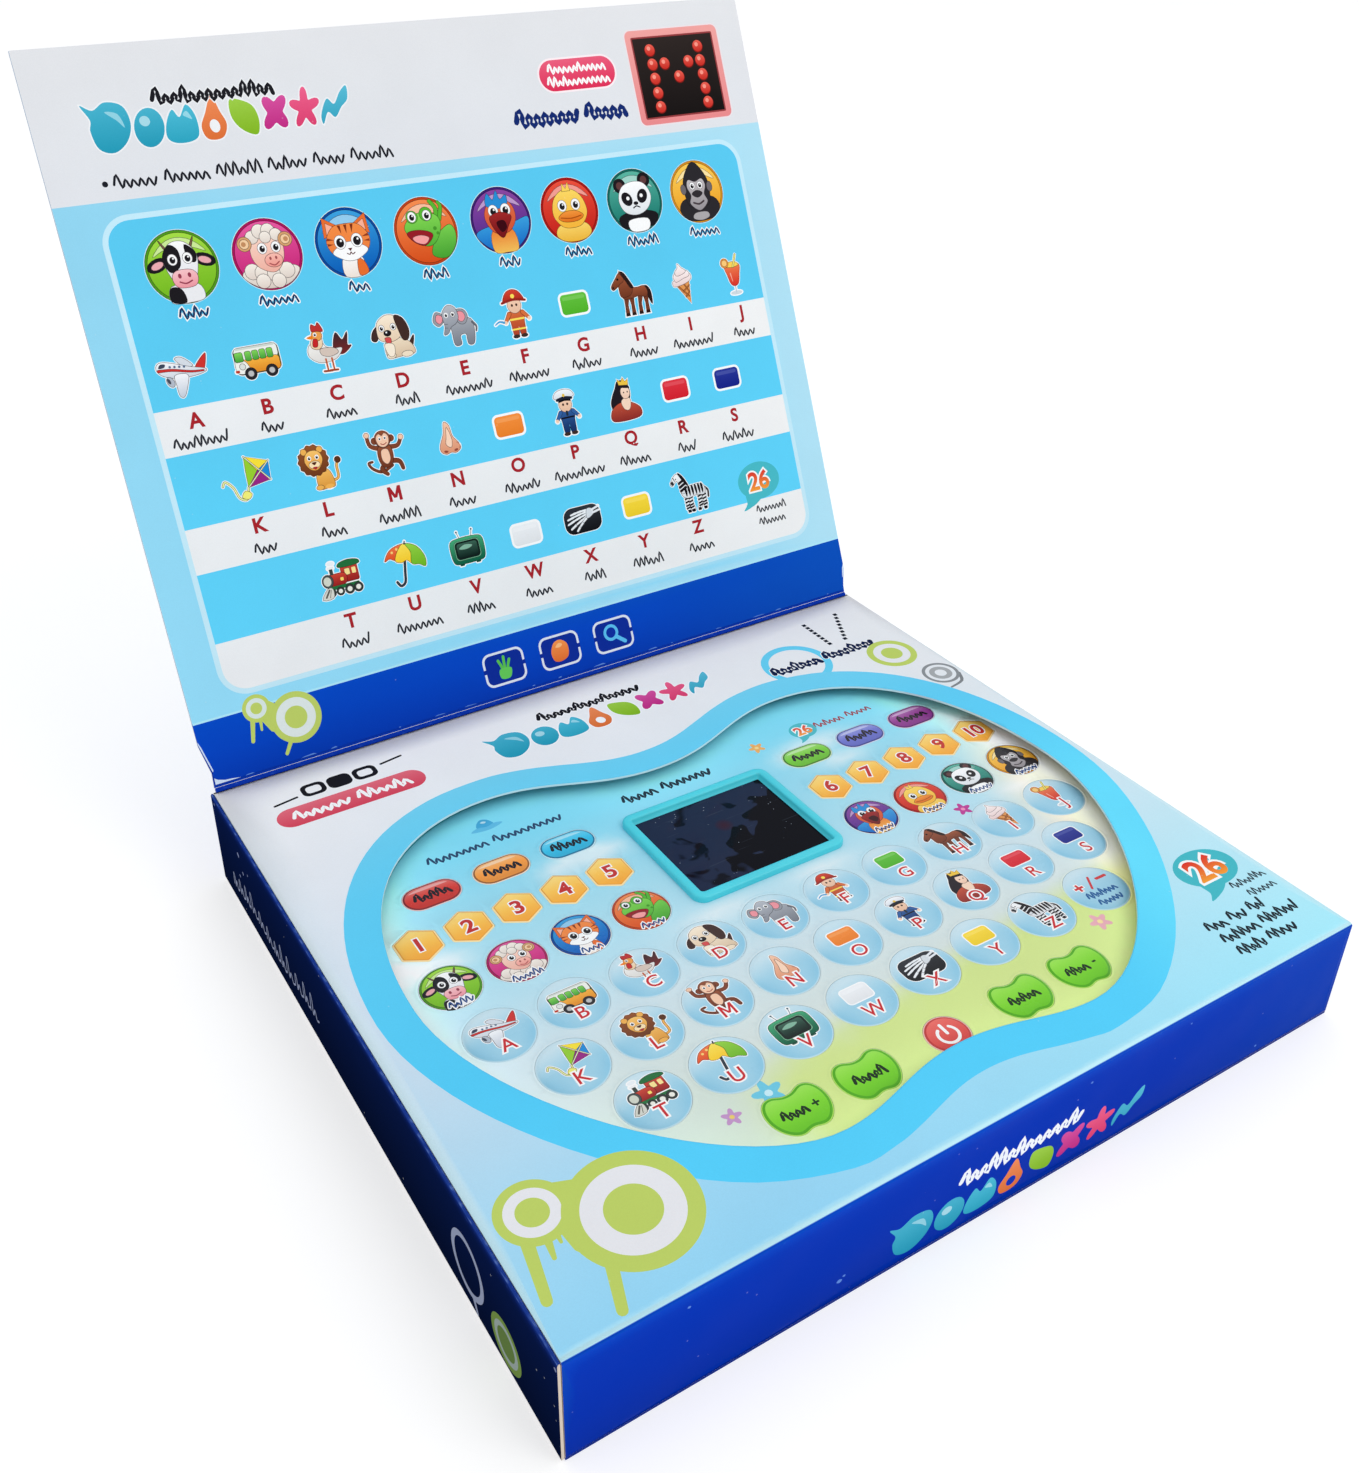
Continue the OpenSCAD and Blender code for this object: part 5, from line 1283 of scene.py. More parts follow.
# ring round the window
def ring_ink(x, y):
    c = ramp([(-115, (88, 208, 250)), (-40, (86, 204, 246)), (40, (98, 206, 244)), (85, (118, 210, 240))], y)
    c = mixc(c, (106, 224, 254), smooth(50, 110, x) * smooth(30, -40, y))
    return mixc(c, (96, 212, 248), 0.4 * bump(x, y, 125, -60, 14, 40))


top.add(ell(83.1, 86.3, 13.9, n=60), (104, 208, 240))
top.add(ell(83.1, 86.3, 10.9, n=56), lambda u, v: mixc(ramp(PANEL_L, v), ramp(PANEL_R, v), (u + 60) / 190))
top.add(catmull(window_line(11.0)[::4], 4), ring_ink)
for g_ in (0.5, 1.6, 3.4, 5.6, 8.0, 10.0, 12.2):
    top.seed(window_line(g_)[:: (1 if g_ < 3 else 2)])

# callout and loops at the back right
dots(top, (103.6, 110.2), (103.6, 91.0), 8, 1.7, (30, 34, 46))
dots(top, (120.5, 111.0), (110.7, 91.0), 8, 1.7, (30, 34, 46))
greeked(top, 95.0, 85.2, 47, 6.6, (22, 34, 70), seed=12, words=2, halo=0.3, pen=0.32)
top.add(ribbon(catmull([(132.2, 49.0), (129.4, 44.2), (123, 42.6)], 4, False), 1.5, 0.9), (128, 132, 136))
top.add(ell(126.3, 52.6, 7.2, n=44), (140, 144, 148))
top.add(ell(126.3, 52.6, 5.9, n=40), lambda u, v: ramp(PANEL_R, v))
top.add(ell(126.3, 52.6, 4.4, n=36), (166, 169, 172))
top.add(ell(126.3, 52.6, 2.3, n=30), lambda u, v: ramp(PANEL_R, v))
rings(top, 119.8, 73.7, 9.8, mid=0.74, core=0.43)

# bubble and small print at the front right
bubble26(top, 118.4, -80.0, 11.4, 8.4, 9.8)
greeked(top, 125.0, -90.6, 14, 3.8, (50, 60, 70), seed=21)
greeked(top, 125.4, -95.6, 11, 3.8, (50, 60, 70), seed=22)
for k, (w, y) in enumerate(((24, -99.9), (32, -105.7), (24, -111.6))):
    greeked(top, 96.0, y, w, 5.0, (40, 48, 56), seed=30 + k, align="l", words=3 if k == 0 else 2, pen=0.19)

# rings at the front left
RINGS_SMALL = lambda: rings(top, -121.3, -83.6, 9.6, mid=0.74, core=0.44)
top.add(ribbon([(-126.2, -90), (-129.6, -106.4)], 3.4, 2.8), LIME)
top.add(ribbon([(-121.8, -92), (-122.8, -97.4)], 2.2, 1.2), LIME)
top.add(ribbon([(-119.0, -91), (-119.4, -94.4)], 1.6, 0.9), LIME)
top.add(ribbon([(-112.6, -106), (-116.4, -117.2)], 3.2, 2.8), LIME)
top.add([(-117.0, -77.0), (-108.0, -80.4), (-106, -90), (-114.0, -104.4), (-117.8, -98.0), (-118.4, -92.0)], LIME)
top.add(ell(-100.3, -95.3, 17.3, n=72), LIME)
RINGS_SMALL()
top.add(ell(-100.3, -95.3, 17.3, n=72), LIME)
top.add(ell(-100.3, -95.3, 12.9, n=64), PAPER)
top.add(ell(-100.3, -95.3, 7.3, n=48), LIME)

# the front wall's title
def on_front(p):
    return [(x, Y_FOLD - ARC - (35 - z)) for x, z in p]


class FrontPen:
    """Draws on the front wall by x and height."""
    def add(self, pts, col):
        if callable(col):
            c = col
            top.add(on_front(pts), lambda u, v: c(u, 35 + (v - Y_FOLD + ARC)))
        else:
            top.add(on_front(pts), col)

    def many(self, polys, col):
        top.many([on_front(p) for p in polys], col)


fp = FrontPen()
play_row(fp, -40, 51, 2.6, 15.6, lift=3.0, halo_col=(10, 50, 176))
greeked(fp, 4.5, 18.6, 43, 6.8, (240, 244, 250), seed=41, lean=0.16, pen=0.24)
for x, z, r, c in ((-56, 7, 0.9, 1), (-54.6, 8.2, 0.5, 1), (27.5, 29.5, 0.5, 0), (66, 31.0, 0.4, 0), (-101, 30.2, 0.5, 0), (101, 4.0, 0.5, 0)):
    fp.add(catmull([(x - r, z), (x - 0.2 * r, z + 0.9 * r), (x + r, z + 0.2 * r), (x + 0.3 * r, z - 0.7 * r)], 3), (96, 140, 216))
top.cut(window_line())

carton_top = top.build("carton_top_and_front", place_top, "carton_and_pad", M_PRINT, thick=0.8, edge=lambda x, y: (214, 238, 244) if y > -119 else ((216, 204, 188) if abs(x) > 133.5 else (8, 34, 120)), back=(212, 204, 192), replaces=("window_panel", "front_wall"), slot="printed_board_pale", smooth_shade=True)

# ------------------------------------------------------------------ end flap with its tongue

def place_flap(u, v, h):
    r = 0.8
    bow = -0.3 * (0.5 + 0.5 * math.cos(math.pi * u / 121)) * smooth(0, 8, 36 - v) * smooth(0, 6, v)
    if v <= 36 - r:
        return (-135 - h - bow, -u, max(v, 0.0))
    a = (v - (36 - r)) / r
    return (-135 + r - (r + h) * math.cos(a), -u, 36 - r + (r + h) * math.sin(a))


# Painted shade: the end flap's royal-blue print is darkened to dark navy, as this wall looks in shadow.
def flap_ink_in_painted_shade(u, v):
    c = ramp([(0, (6, 16, 44)), (18, (7, 19, 54)), (33, (8, 22, 64)), (35, (12, 32, 98)), (36, (34, 64, 146))], v)
    worn = smooth(0.2, 0.9, n2(u * 0.9, v * 2.2)) * smooth(33.8, 35.6, v)
    low = smooth(0.35, 1.0, n2(u * 1.1 + 9, v * 1.5)) * smooth(3.2, 1.2, v)
    return mixc(mixc(c, (110, 140, 200), worn * 0.45), (60, 72, 110), low * 0.5)


flap = Sheet()
for lo, hi in ((1.0, 35.2), (35.2, 35.5), (35.5, 35.8), (35.8, 36.2)):
    flap.add(rect(-121, lo, 121, hi), flap_ink_in_painted_shade)
flap.grid(-121, 1.0, 121, 35.2, 4)
for i in range(360):
    u = -120.6 + i * 0.67
    flap.seed([(u, 34.6), (u + 0.3, 33.7), (u, 2.1), (u + 0.3, 3.3)])
# a scribble where the other title is, a ring and a green ring
# The scribble, rings and chips here are dimmed as painted shade, like the flap's blue.
rnd = random.Random(4)
x = -108.0
while x < -30:
    w = rnd.uniform(5.0, 7.5)
    hh = rnd.uniform(3.0, 6.5)
    y = 9.6 + 1.2 * math.sin(x * 0.12)
    flap.add(ribbon(catmull([(x, y - 2.0), (x + w * 0.2, y + hh), (x + w * 0.34, y + hh * 0.6), (x + w * 0.3, y - 2.2), (x + w * 0.6, y + 1.2), (x + w * 0.74, y - 2.0), (x + w, y - 1.2)], 4, False), 0.45, 0.8), (138, 146, 172))
    x += w * 1.06
flap.add(ell(73.6, 14.6, 9.2, 10.2, 50), (140, 148, 172))
flap.add(ell(73.6, 14.6, 7.3, 8.3, 46), flap_ink_in_painted_shade)
flap.add(ribbon([(76, 5.6), (78, 1.6)], 1.8, 1.2), (140, 148, 172))
flap.add(ell(94.2, 9.6, 7.9, n=50), (108, 134, 66))
flap.add(ell(94.2, 9.6, 6.2, n=46), (142, 156, 150))
flap.add(ell(94.2, 9.6, 4.6, n=36), (92, 116, 62))
for u, v, r in ((-96, 27, 1.1), (-93.5, 21, 0.8), (-88, 24, 0.5), (-98, 17, 0.7), (120, 33, 0.7), (-118, 33.5, 0.6)):
    flap.add(catmull([(u - r, v), (u - 0.1, v + r), (u + r * 0.8, v + 0.2 * r), (u + 0.2 * r, v - 0.8 * r)], 3), (120, 130, 164))
# The flap's printed edge colour is darkened as painted shade too.
flap.build("end_flap_board", place_flap, "end_flap", M_FLAP, thick=0.78, edge=lambda u, v: (214, 200, 184) if abs(u) > 120.6 else (10, 22, 70), back=(206, 192, 174), replaces=("end_flap",), slot="printed_board_blue", smooth_shade=True)

tongue = Sheet()
T0 = -133.9
tongue.add([(T0, -114), (-130, -114), (-119, -106), (-119, 106), (-130, 114), (T0, 114)], (12, 30, 118))
tongue.grid(-133, -110, -120, 110, 6)
for yy in (-60, 0, 60):
    tongue.add(rrect(-126, yy, 3.2, 11, 1.6), (30, 60, 160))


def place_tongue(x, y, h):
    # drawn from below: its printed side faces the table
    return (x, -y, 1.0 - h)


tongue.build("tuck_tongue_board", place_tongue, "tuck_tongue", M_FLAP, thick=0.7, edge=(206, 192, 174), replaces=("tuck_tongue",), slot="printed_board_blue")


def strip(name, path, x0, x1, axis, body, mat, col, n=None):
    """A closed strip of the outline path (a loop of points across it) drawn out along x or y, with a few rings."""
    verts, faces = [], []
    k = len(path)
    steps = n or 24
    for i in range(steps + 1):
        t = x0 + (x1 - x0) * i / steps
        for a, b in path:
            verts.append((t, a, b) if axis == "x" else (a, t, b))
    for i in range(steps):
        for j in range(k):
            a, b = i * k + j, i * k + (j + 1) % k
            faces.append((a, b, b + k, a + k))
    faces.append(tuple(reversed(range(k))))
    faces.append(tuple(steps * k + j for j in range(k)))
    me = bpy.data.meshes.new(name)
    me.from_pydata([Vector(v) * MM for v in verts], [], faces)
    attr = me.color_attributes.new("ink", "FLOAT_COLOR", "POINT")
    buf = []
    for v in verts:
        buf += lin3(col(*v) if callable(col) else col) + [1.0]
    attr.data.foreach_set("color", buf)
    me.materials.append(mat)
    me.validate()
    bm_fix(me)
    ob = bpy.data.objects.new(name, me)
    scene.collection.objects.link(ob)
    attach(ob, body)
    return ob


def bm_fix(me):
    import bmesh
    bm = bmesh.new()
    bm.from_mesh(me)
    bmesh.ops.recalc_face_normals(bm, faces=bm.faces)
    bm.to_mesh(me)
    bm.free()


# ------------------------------------------------------------------ right end wall, back wall, underside

def side_ink(u, v):
    c = ramp([(0, (6, 36, 150)), (20, (8, 52, 178)), (34, (16, 66, 192)), (36, (40, 96, 210))], v)
    worn = smooth(0.25, 0.95, n2(u * 0.9 + 2, v * 2.0)) * smooth(34.0, 35.6, v)
    return mixc(c, (170, 200, 238), worn * 0.7)


def place_right(u, v, h):
    r = 0.8
    if v <= 36 - r:
        return (135 + h - 0.0, u, v)
    a = (v - (36 - r)) / r
    return (135 - r + (r + h) * math.cos(a), u, 36 - r + (r + h) * math.sin(a))


right = Sheet()
for lo, hi in ((0.85, 35.2), (35.2, 35.5), (35.5, 35.8), (35.8, 36.15)):
    right.add(rect(-120.2, lo, 120.2, hi), side_ink)
right.grid(-120.2, 0.85, 120.2, 35.2, 8)
for i in range(180):
    right.seed([(-119.8 + i * 1.33, 34.4), (-119.4 + i * 1.33, 33.2)])
play_row(right, -46, 46, 5, 21, lift=3.0, halo_col=(8, 50, 176))
greeked(right, 2, 26.4, 44, 6.2, (240, 244, 250), seed=43, lean=0.16)
rings(right, 88, 15, 9.5, inner=(224, 230, 240))
rings(right, 103, 12.6, 6.0, inner=(224, 230, 240))
right.add(ribbon([(84, 7), (83, 2.0)], 2.4, 2.0), LIME)
right.add(ell(-86, 18, 8.6, n=44), (190, 200, 220))
right.add(ell(-86, 18, 6.8, n=40), side_ink)
bubble26(right, -104, 18, 10, 8, 8.5)
right.build("right_end_board", place_right, "carton_and_pad", M_PRINT, thick=0.78, edge=lambda u, v: (214, 200, 184) if abs(u) > 119.9 else (10, 40, 130), replaces=("right_end_wall",), slot="printed_board_blue", smooth_shade=True)


def place_back(u, v, h):
    return (-u, 121 + h - 0.0, v)


backw = Sheet()
backw.add(rect(-134.9, 0.85, 134.0, 36.0), side_ink)
backw.grid(-134.9, 0.85, 134.0, 36.0, 8)
play_row(backw, -46, 46, 6, 21, lift=3.0, halo_col=(8, 50, 176))
greeked(backw, 2, 27, 44, 6.2, (240, 244, 250), seed=47, lean=0.16)
for s_ in (-1, 1):
    rings(backw, s_ * 108, 16, 10.5, inner=(224, 230, 240))
    rings(backw, s_ * 92, 12, 6.0, inner=(224, 230, 240))
backw.build("back_board", place_back, "carton_and_pad", M_PRINT, thick=0.78, edge=lambda u, v: (214, 200, 184) if abs(u) > 133.9 else (10, 40, 130), replaces=("back_wall",), slot="printed_board_blue", smooth_shade=True)


def place_under(u, v, h):
    return (u, -v, 0.0 - h)


def under_ink(u, v):
    c = mixc((10, 56, 176), (14, 66, 190), 0.5 + 0.5 * math.sin(u * 0.02))
    e = max(abs(u) / 135, abs(v) / 121)
    return mixc(c, (120, 150, 206), 0.55 * smooth(0.965, 1.0, e) * smooth(-0.6, 0.6, n2(u * 0.6, v * 0.6)))


under = Sheet()
under.add(rect(-133.9, -120.9, 134.9, 120.9), under_ink)
under.grid(-133.9, -120.9, 134.9, 120.9, 9)
under.add(rrect(0, 0, 214, 186, 10), (196, 226, 242))
under.add(rrect(0, 0, 211, 183, 9), (16, 70, 190))
under.add(moved([(x * 0.62, y * 0.62) for x, y in APPLE], 0, 6), (96, 190, 236))
under.add(moved([(x * 0.56, y * 0.56) for x, y in APPLE], 0, 6), (200, 232, 246))
play_row(under, -50, 50, -8, 12, lift=3.0, halo_col=(200, 232, 246))
for k in range(4):
    greeked(under, 0, -16 - 6 * k, 60 - 8 * k, 4.4, (20, 60, 130), seed=60 + k, words=4)
for k in range(5):
    greeked(under, -92, 80 - 5 * k, 66, 3.4, (210, 226, 244), seed=70 + k, align="l", words=5)
for x_, y_, r_ in ((84, -66, 13), (66, -76, 7), (-88, -70, 10)):
    rings(under, x_, y_, r_, inner=(224, 232, 242))
under.build("bottom_board", place_under, "carton_and_pad", M_PRINT, thick=0.8, edge=(16, 44, 130), back=(214, 200, 182), replaces=("bottom_panel",), slot="raw_board")

# the crease that the end flap turns on
crease = [(-134.5 + 0.42 * math.cos(2 * math.pi * i / 18), 35.5 + 0.42 * math.sin(2 * math.pi * i / 18)) for i in range(18)]
strip("end_flap_crease", crease, -120.9, 120.9, "y", "end_flap", M_FLAP, lambda x, y, z: mixc((30, 58, 140), (132, 160, 210), 0.6 * smooth(0.0, 0.9, n2(y * 0.8, x * 2 + z * 3))), n=220)
# ------------------------------------------------------------------ lid: printed inside

LY, LZ = 120.6, 36.95
CA, SA = 0.40195, 0.91566


def place_lid(u, v, h):
    return (u, LY + CA * v - SA * (0.6 + h), LZ + SA * v + CA * (0.6 + h))


def place_lid_out(u, v, h):
    return (-u, LY + CA * v + SA * (0.8 + h), LZ + SA * v - CA * (0.8 + h))


BAND_TOP, BAND_SKY = 192.4, 23.6


def top_ink(u, v):
    return ramp([(193, (224, 226, 231)), (215, (225, 227, 231)), (240, (226, 227, 230))], v)


def sky_ink(u, v):
    c = ramp([(24, (150, 221, 248)), (60, (148, 217, 244)), (110, (145, 211, 240)), (165, (144, 211, 238)), (193, (146, 212, 238))], v)
    return mixc(c, (184, 227, 243), 0.8 * smooth(60, 135, u))


# The lid's dark blue band, with a painted sheen that lightens it towards the right.
def band_ink_and_sheen(u, v):
    return mixc(ramp([(0, (8, 56, 172)), (12, (8, 68, 190)), (23, (8, 74, 196))], v), (14, 82, 184), 0.75 * smooth(10, 125, u))


lid = Sheet()
LID_OUT = [(-132.8, 2), (-132.6, 6.3), (-134.95, 16.5), (-134.95, 240.3), (134.95, 240.3), (134.95, 10.5), (133.1, 4), (133.0, 2)]


def clip_band(y0, y1):
    """The lid's outline between two heights."""
    def xs(v):
        if v >= 16.5:
            l = -134.95
        elif v >= 6.3:
            l = -132.6 + (-134.95 + 132.6) * (v - 6.3) / 10.2
        else:
            l = -132.8 + 0.2 * (v - 2) / 4.3
        if v >= 10.5:
            r = 134.95
        elif v >= 4:
            r = 133.1 + 1.6 * (v - 4) / 6.5
        else:
            r = 133.0 + 0.1 * (v - 2) / 2
        return l, r

    hs = [y0] + [h for h in (4, 6.3, 10.5, 16.5) if y0 < h < y1] + [y1]
    return [(xs(h)[1], h) for h in hs] + [(xs(h)[0], h) for h in reversed(hs)]


for a_, b_, ink_ in ((2, BAND_SKY, band_ink_and_sheen), (BAND_SKY, BAND_TOP, sky_ink), (BAND_TOP, 240.3, top_ink)):
    lid.add(clip_band(a_, b_), ink_)
lid.grid(-134, 3, 134, 240, 12)
lid.add(clip_band(BAND_SKY - 0.35, BAND_SKY + 0.35), (176, 232, 248))

# chart
lid.add(rrect(0.2, 108.2, 242.6 + 3.6, 155.8 + 3.6, 9.8, 10), (196, 233, 247))
def chart_ink(u, v):
    return ramp([(30, (98, 212, 250)), (90, (94, 208, 246)), (150, (92, 202, 240)), (188, (90, 200, 238))], v)


lid.add(rrect(0.2, 108.2, 242.6, 155.8, 8.0, 10), chart_ink)
def stripe_ink(u, v):
    return ramp([(-120, (236, 238, 240)), (40, (238, 239, 240)), (121, (241, 241, 241))], u)


lid.add(rect(-121.1, 110.2, 121.5, 125.2), stripe_ink)
lid.add(rect(-121.1, 71.0, 121.5, 86.2), stripe_ink)
lid.add([(-121.1, 47.4)] + [(-121.1 + 8 - 8 * math.cos(math.radians(9 * i)), 30.3 + 8 - 8 * math.sin(math.radians(9 * i))) for i in range(11)] + [(121.5 - 8 + 8 * math.sin(math.radians(9 * i)), 30.3 + 8 - 8 * math.cos(math.radians(9 * i))) for i in range(11)] + [(121.5, 47.4)], stripe_ink)

for i, (x_, fn) in enumerate(zip((-100.1, -71.4, -42.7, -13.8, 15.6, 44.0, 72.2, 100.3), ANIMALS)):
    lid.add(ell(x_, 169.4, 12.1, n=50), (206, 234, 244))
    lid.shapes(fn(), x_, 169.4, 11.7, halo=0.0, line=0.17)
    greeked(lid, x_, 154.4, (9.5, 13, 7, 9, 8, 10.5, 13, 13)[i], 4.6, (24, 52, 96), seed=100 + i, halo=0.35)


def picture(sheet, ch, x, y, k):
    plain = ch in "GORSWY"
    sheet.shapes(PICTURES[ch](), x, y, k, halo=0.85 if plain else 0.42, line=0.0 if plain else 0.17)


ROWS = [
    (135.9, 120.6, 113.6, [(-108.4, "A", 18), (-84.1, "B", 7.5), (-59.6, "C", 10.5), (-35.1, "D", 8.5), (-11, "E", 18), (13.3, "F", 16), (37.6, "G", 12), (62.7, "H", 12), (85.4, "I", 18), (109.4, "J", 9.5)]),
    (97.3, 82.6, 74.6, [(-96.6, "K", 7.5), (-72.3, "L", 8.5), (-47.8, "M", 15), (-23.5, "N", 10), (0.8, "O", 14), (24.9, "P", 21), (49.2, "Q", 13), (72.9, "R", 8), (97, "S", 14.5)]),
    (57.4, 43.4, 35.6, [(-74.2, "T", 10), (-50.1, "U", 17), (-26, "V", 10.5), (-2.1, "W", 10.5), (21.8, "X", 8.5), (45.5, "Y", 13), (70.2, "Z", 11)]),
]
WIDE = {"G": 7.4, "O": 7.4, "R": 7.4, "S": 7.4, "W": 7.4, "Y": 7.4, "X": 8.0, "V": 7.0, "B": 8.8, "N": 6.3, "H": 8.4, "F": 9.0, "P": 8.8, "C": 9.0, "Z": 8.4, "K": 9.2, "A": 8.4}
for y_, yl, yw, row in ROWS:
    for x_, ch, w_ in row:
        picture(lid, ch, x_, y_, WIDE.get(ch, 8.0))
        letter(lid, ch, x_, yl, 5.1, (168, 38, 46), bold=0.032)
        greeked(lid, x_, yw, w_, 4.6, (44, 46, 54), seed=ord(ch))
bubble26(lid, 102.2, 55.0, 9.9, 7.4, 7.4)
greeked(lid, 105.6, 43.6, 14, 3.8, (44, 46, 54), seed=140)
greeked(lid, 105.0, 38.4, 12.5, 3.8, (44, 46, 54), seed=141)

# header
play_row(lid, -118.4, -31.0, 207.0, 222.6, lift=2.0, halo=0.45, halo_col=(238, 240, 242))
greeked(lid, -76, 222.6, 40, 6.0, (30, 30, 36), seed=150, lean=0.12, pen=0.24, halo=0.35, halo_col=(238, 240, 242))
greeked(lid, -67.0, 197.8, 95, 5.2, (30, 32, 40), seed=151, words=6)
lid.add(ell(-117.2, 197.8, 0.95, n=12), (30, 32, 40))
lid.add(rrect(59.2, 217.4, 33.2, 12.5, 6.2, 8), (250, 236, 240))
lid.add(rrect(59.2, 217.4, 31.8, 11.1, 5.5, 8), lambda u, v: mixc((220, 44, 84), (234, 96, 126), (v - 211) / 12))
greeked(lid, 59.2, 219.6, 24, 4.2, WHITE, seed=152, pen=0.2)
greeked(lid, 59.2, 215.0, 26, 4.2, WHITE, seed=154, pen=0.2)
greeked(lid, 53.2, 203.2, 46, 7.2, (22, 44, 110), seed=153, words=2, pen=0.3)
lid.add(rrect(102.8, 213.4, 42.4, 35.7, 2.8, 5), (236, 226, 230))
lid.add(rrect(102.8, 213.4, 41.4, 34.7, 2.4, 5), lambda u, v: mixc((232, 138, 140), (240, 164, 160), (v - 196) / 36))
lid.add(rrect(102.8, 213.2, 36.6, 30.2, 0.6, 2), (150, 62, 64))
lid.add(rect(85.1, 198.7, 120.5, 227.7), lambda u, v: mixc((26, 22, 22), (48, 40, 38), (v - 199.7) / 29))
M_DOTS = ["1...1", "11.11", "1.1.1", "1...1", "1...1"]
for j, row in enumerate(M_DOTS):
    for i, on in enumerate(row):
        cx_, cy_ = 92 + 5.4 * i, 223.3 - 5.25 * j
        if on == "1":
            lid.add(ell(cx_, cy_ - 0.2, 2.35, n=22), (120, 28, 24))
            lid.add(ell(cx_, cy_, 2.15, n=22), (lambda cy: lambda u, v: mixc((196, 44, 36), (232, 96, 82), (v - cy + 2) / 4))(cy_))
            lid.add(ell(cx_ - 0.4, cy_ + 0.6, 0.8, n=12), (246, 150, 134))

# dark band: three framed signs and the rings
for k, x_ in enumerate((-22.4, 0.8, 23.9)):
    for part in ((20, 160), (200, 340)):
        pass
    lid.add(rrect(x_, 11.9, 16.6, 12.6, 3.0, 6), (222, 228, 240))
    lid.add(rrect(x_, 11.9, 14.9, 10.9, 2.3, 6), (16, 46, 150))
    lid.add(rect(x_ - 8.5, 11.1, x_ + 8.5, 12.7), (16, 46, 150))
lid.shapes([(ribbon(catmull([(-0.3, -0.7), (-0.25, 0.0), (-0.5, 0.7)], 4, False), 0.26), (90, 190, 80)), (ribbon(catmull([(0.0, -0.7), (0.0, 0.1), (0.05, 0.95)], 4, False), 0.26), (90, 190, 80)), (ribbon(catmull([(0.25, -0.7), (0.3, 0.0), (0.55, 0.6)], 4, False), 0.26), (90, 190, 80)), (catmull([(-0.5, -0.9), (-0.5, -0.1), (0.5, -0.1), (0.6, -0.5), (0.3, -1.0)], 4), (100, 200, 90))], -22.4, 11.9, 4.2)
lid.shapes([(catmull([(-0.7, -0.8), (-0.9, 0.0), (-0.5, 0.8), (0.2, 0.95), (0.8, 0.4), (0.7, -0.6), (0.0, -0.95)], 5), ((226, 110, 50), (246, 150, 80))), (catmull([(-0.4, 0.4), (0.0, 0.7), (0.3, 0.5), (0.0, 0.3)], 4), (252, 190, 130))], 0.8, 11.9, 4.2)
lid.shapes([(ell(-0.2, 0.2, 0.72, n=30), (90, 190, 240)), (ell(-0.2, 0.2, 0.46, n=26), (16, 50, 160)), (ribbon([(0.3, -0.3), (1.0, -0.85)], 0.34), (90, 190, 240))], 23.9, 12.0, 4.4)
lid.add(ribbon([(-104.4, 9.5), (-107.2, 5.0)], 1.5, 1.2), LIME)
lid.add(ribbon([(-115.4, 20.2), (-117.2, 12.4)], 1.7, 1.3), LIME)
lid.add(ribbon([(-113.0, 19.0), (-113.4, 15.4)], 1.2, 0.8), LIME)
lid.add([(-111.6, 26.6), (-106.6, 22.6), (-106.6, 12.0), (-110.4, 14.0), (-113.0, 19.0)], LIME)
lid.add(ell(-113.4, 23.0, 4.8, n=44), LIME)
lid.add(ell(-113.4, 23.0, 3.5, n=40), (216, 230, 226))
lid.add(ell(-113.4, 23.0, 2.0, n=30), LIME)
rings(lid, -101.1, 16.3, 8.9, mid=0.77, core=0.44, inner=(222, 232, 230))
# worn corners by the hinge, and little nicks along the edges
for pts_ in ([(-134.95, 16.5), (-134.95, 17.6), (-134.2, 15.4), (-133.5, 12.2), (-132.9, 9.6), (-132.3, 7.0), (-132.6, 6.3)], [(-132.8, 2), (-132.7, 4.2), (-131.6, 3.4), (-129.4, 2.7), (-126.5, 2.4), (-124.0, 2)],
             [(134.95, 10.5), (134.95, 12.5), (134.1, 11.0), (133.4, 7.2), (133.7, 7.2)]):
    lid.add(pts_, (206, 222, 244))
for i in range(15):
    x_ = -121 + i * 17.3 + 4.7 * math.sin(i * 2.3)
    w_ = 1.6 + 1.3 * math.sin(i * 1.7)
    lid.add([(x_ - w_, 2.0), (x_ + w_, 2.0), (x_ + w_ * 0.6, 2.35 + 0.2 * math.sin(i)), (x_ - w_ * 0.5, 2.3)], (90, 134, 212))
lid.build("lid_inside_print", place_lid, "lid", M_PRINT, thick=0.58, edge=lambda x, y: (40, 84, 190) if y < 24 else (214, 232, 240), back=(14, 60, 176), replaces=("lid_liner",), slot="printed_board_sky")

# ------------------------------------------------------------------ lid: printed outside, the carton's cover

outl = Sheet()


def cover_ink(u, v):
    c = ramp([(0, (8, 46, 170)), (60, (10, 62, 190)), (140, (24, 96, 214)), (240, (60, 140, 230))], v)
    return mixc(c, (120, 196, 244), 0.55 * bump(u, v, 0, 150, 110, 70))


OUT_LINE = [(-133.4, 0.9), (-133.4, 3), (-135, 10), (-135, 240.35), (135, 240.35), (135, 16), (133, 6), (133.4, 0.9)]
outl.add(OUT_LINE, cover_ink)
outl.grid(-133, 2, 133, 240, 9)
cover = lambda g: moved(grow([(x * 0.86, y * 0.86) for x, y in APPLE], g), 0, 112)
outl.add(cover(9), (224, 240, 248))
outl.add(cover(6.6), lambda u, v: ramp([(20, (96, 206, 246)), (200, (130, 216, 244))], v))
outl.add(cover(0), lambda u, v: ramp([(20, (206, 224, 150)), (70, (214, 226, 220)), (140, (160, 222, 238)), (190, (120, 210, 238))], v))
play_row(outl, -66, 66, 198, 222, lift=4.0, halo=0.8)
greeked(outl, 4, 227.5, 62, 7.4, (244, 246, 250), seed=201, lean=0.14)
outl.add(rrect(0, 135, 52, 44, 4.5), (70, 196, 212))
outl.add(rrect(0, 135, 43, 35, 2), (16, 16, 22))
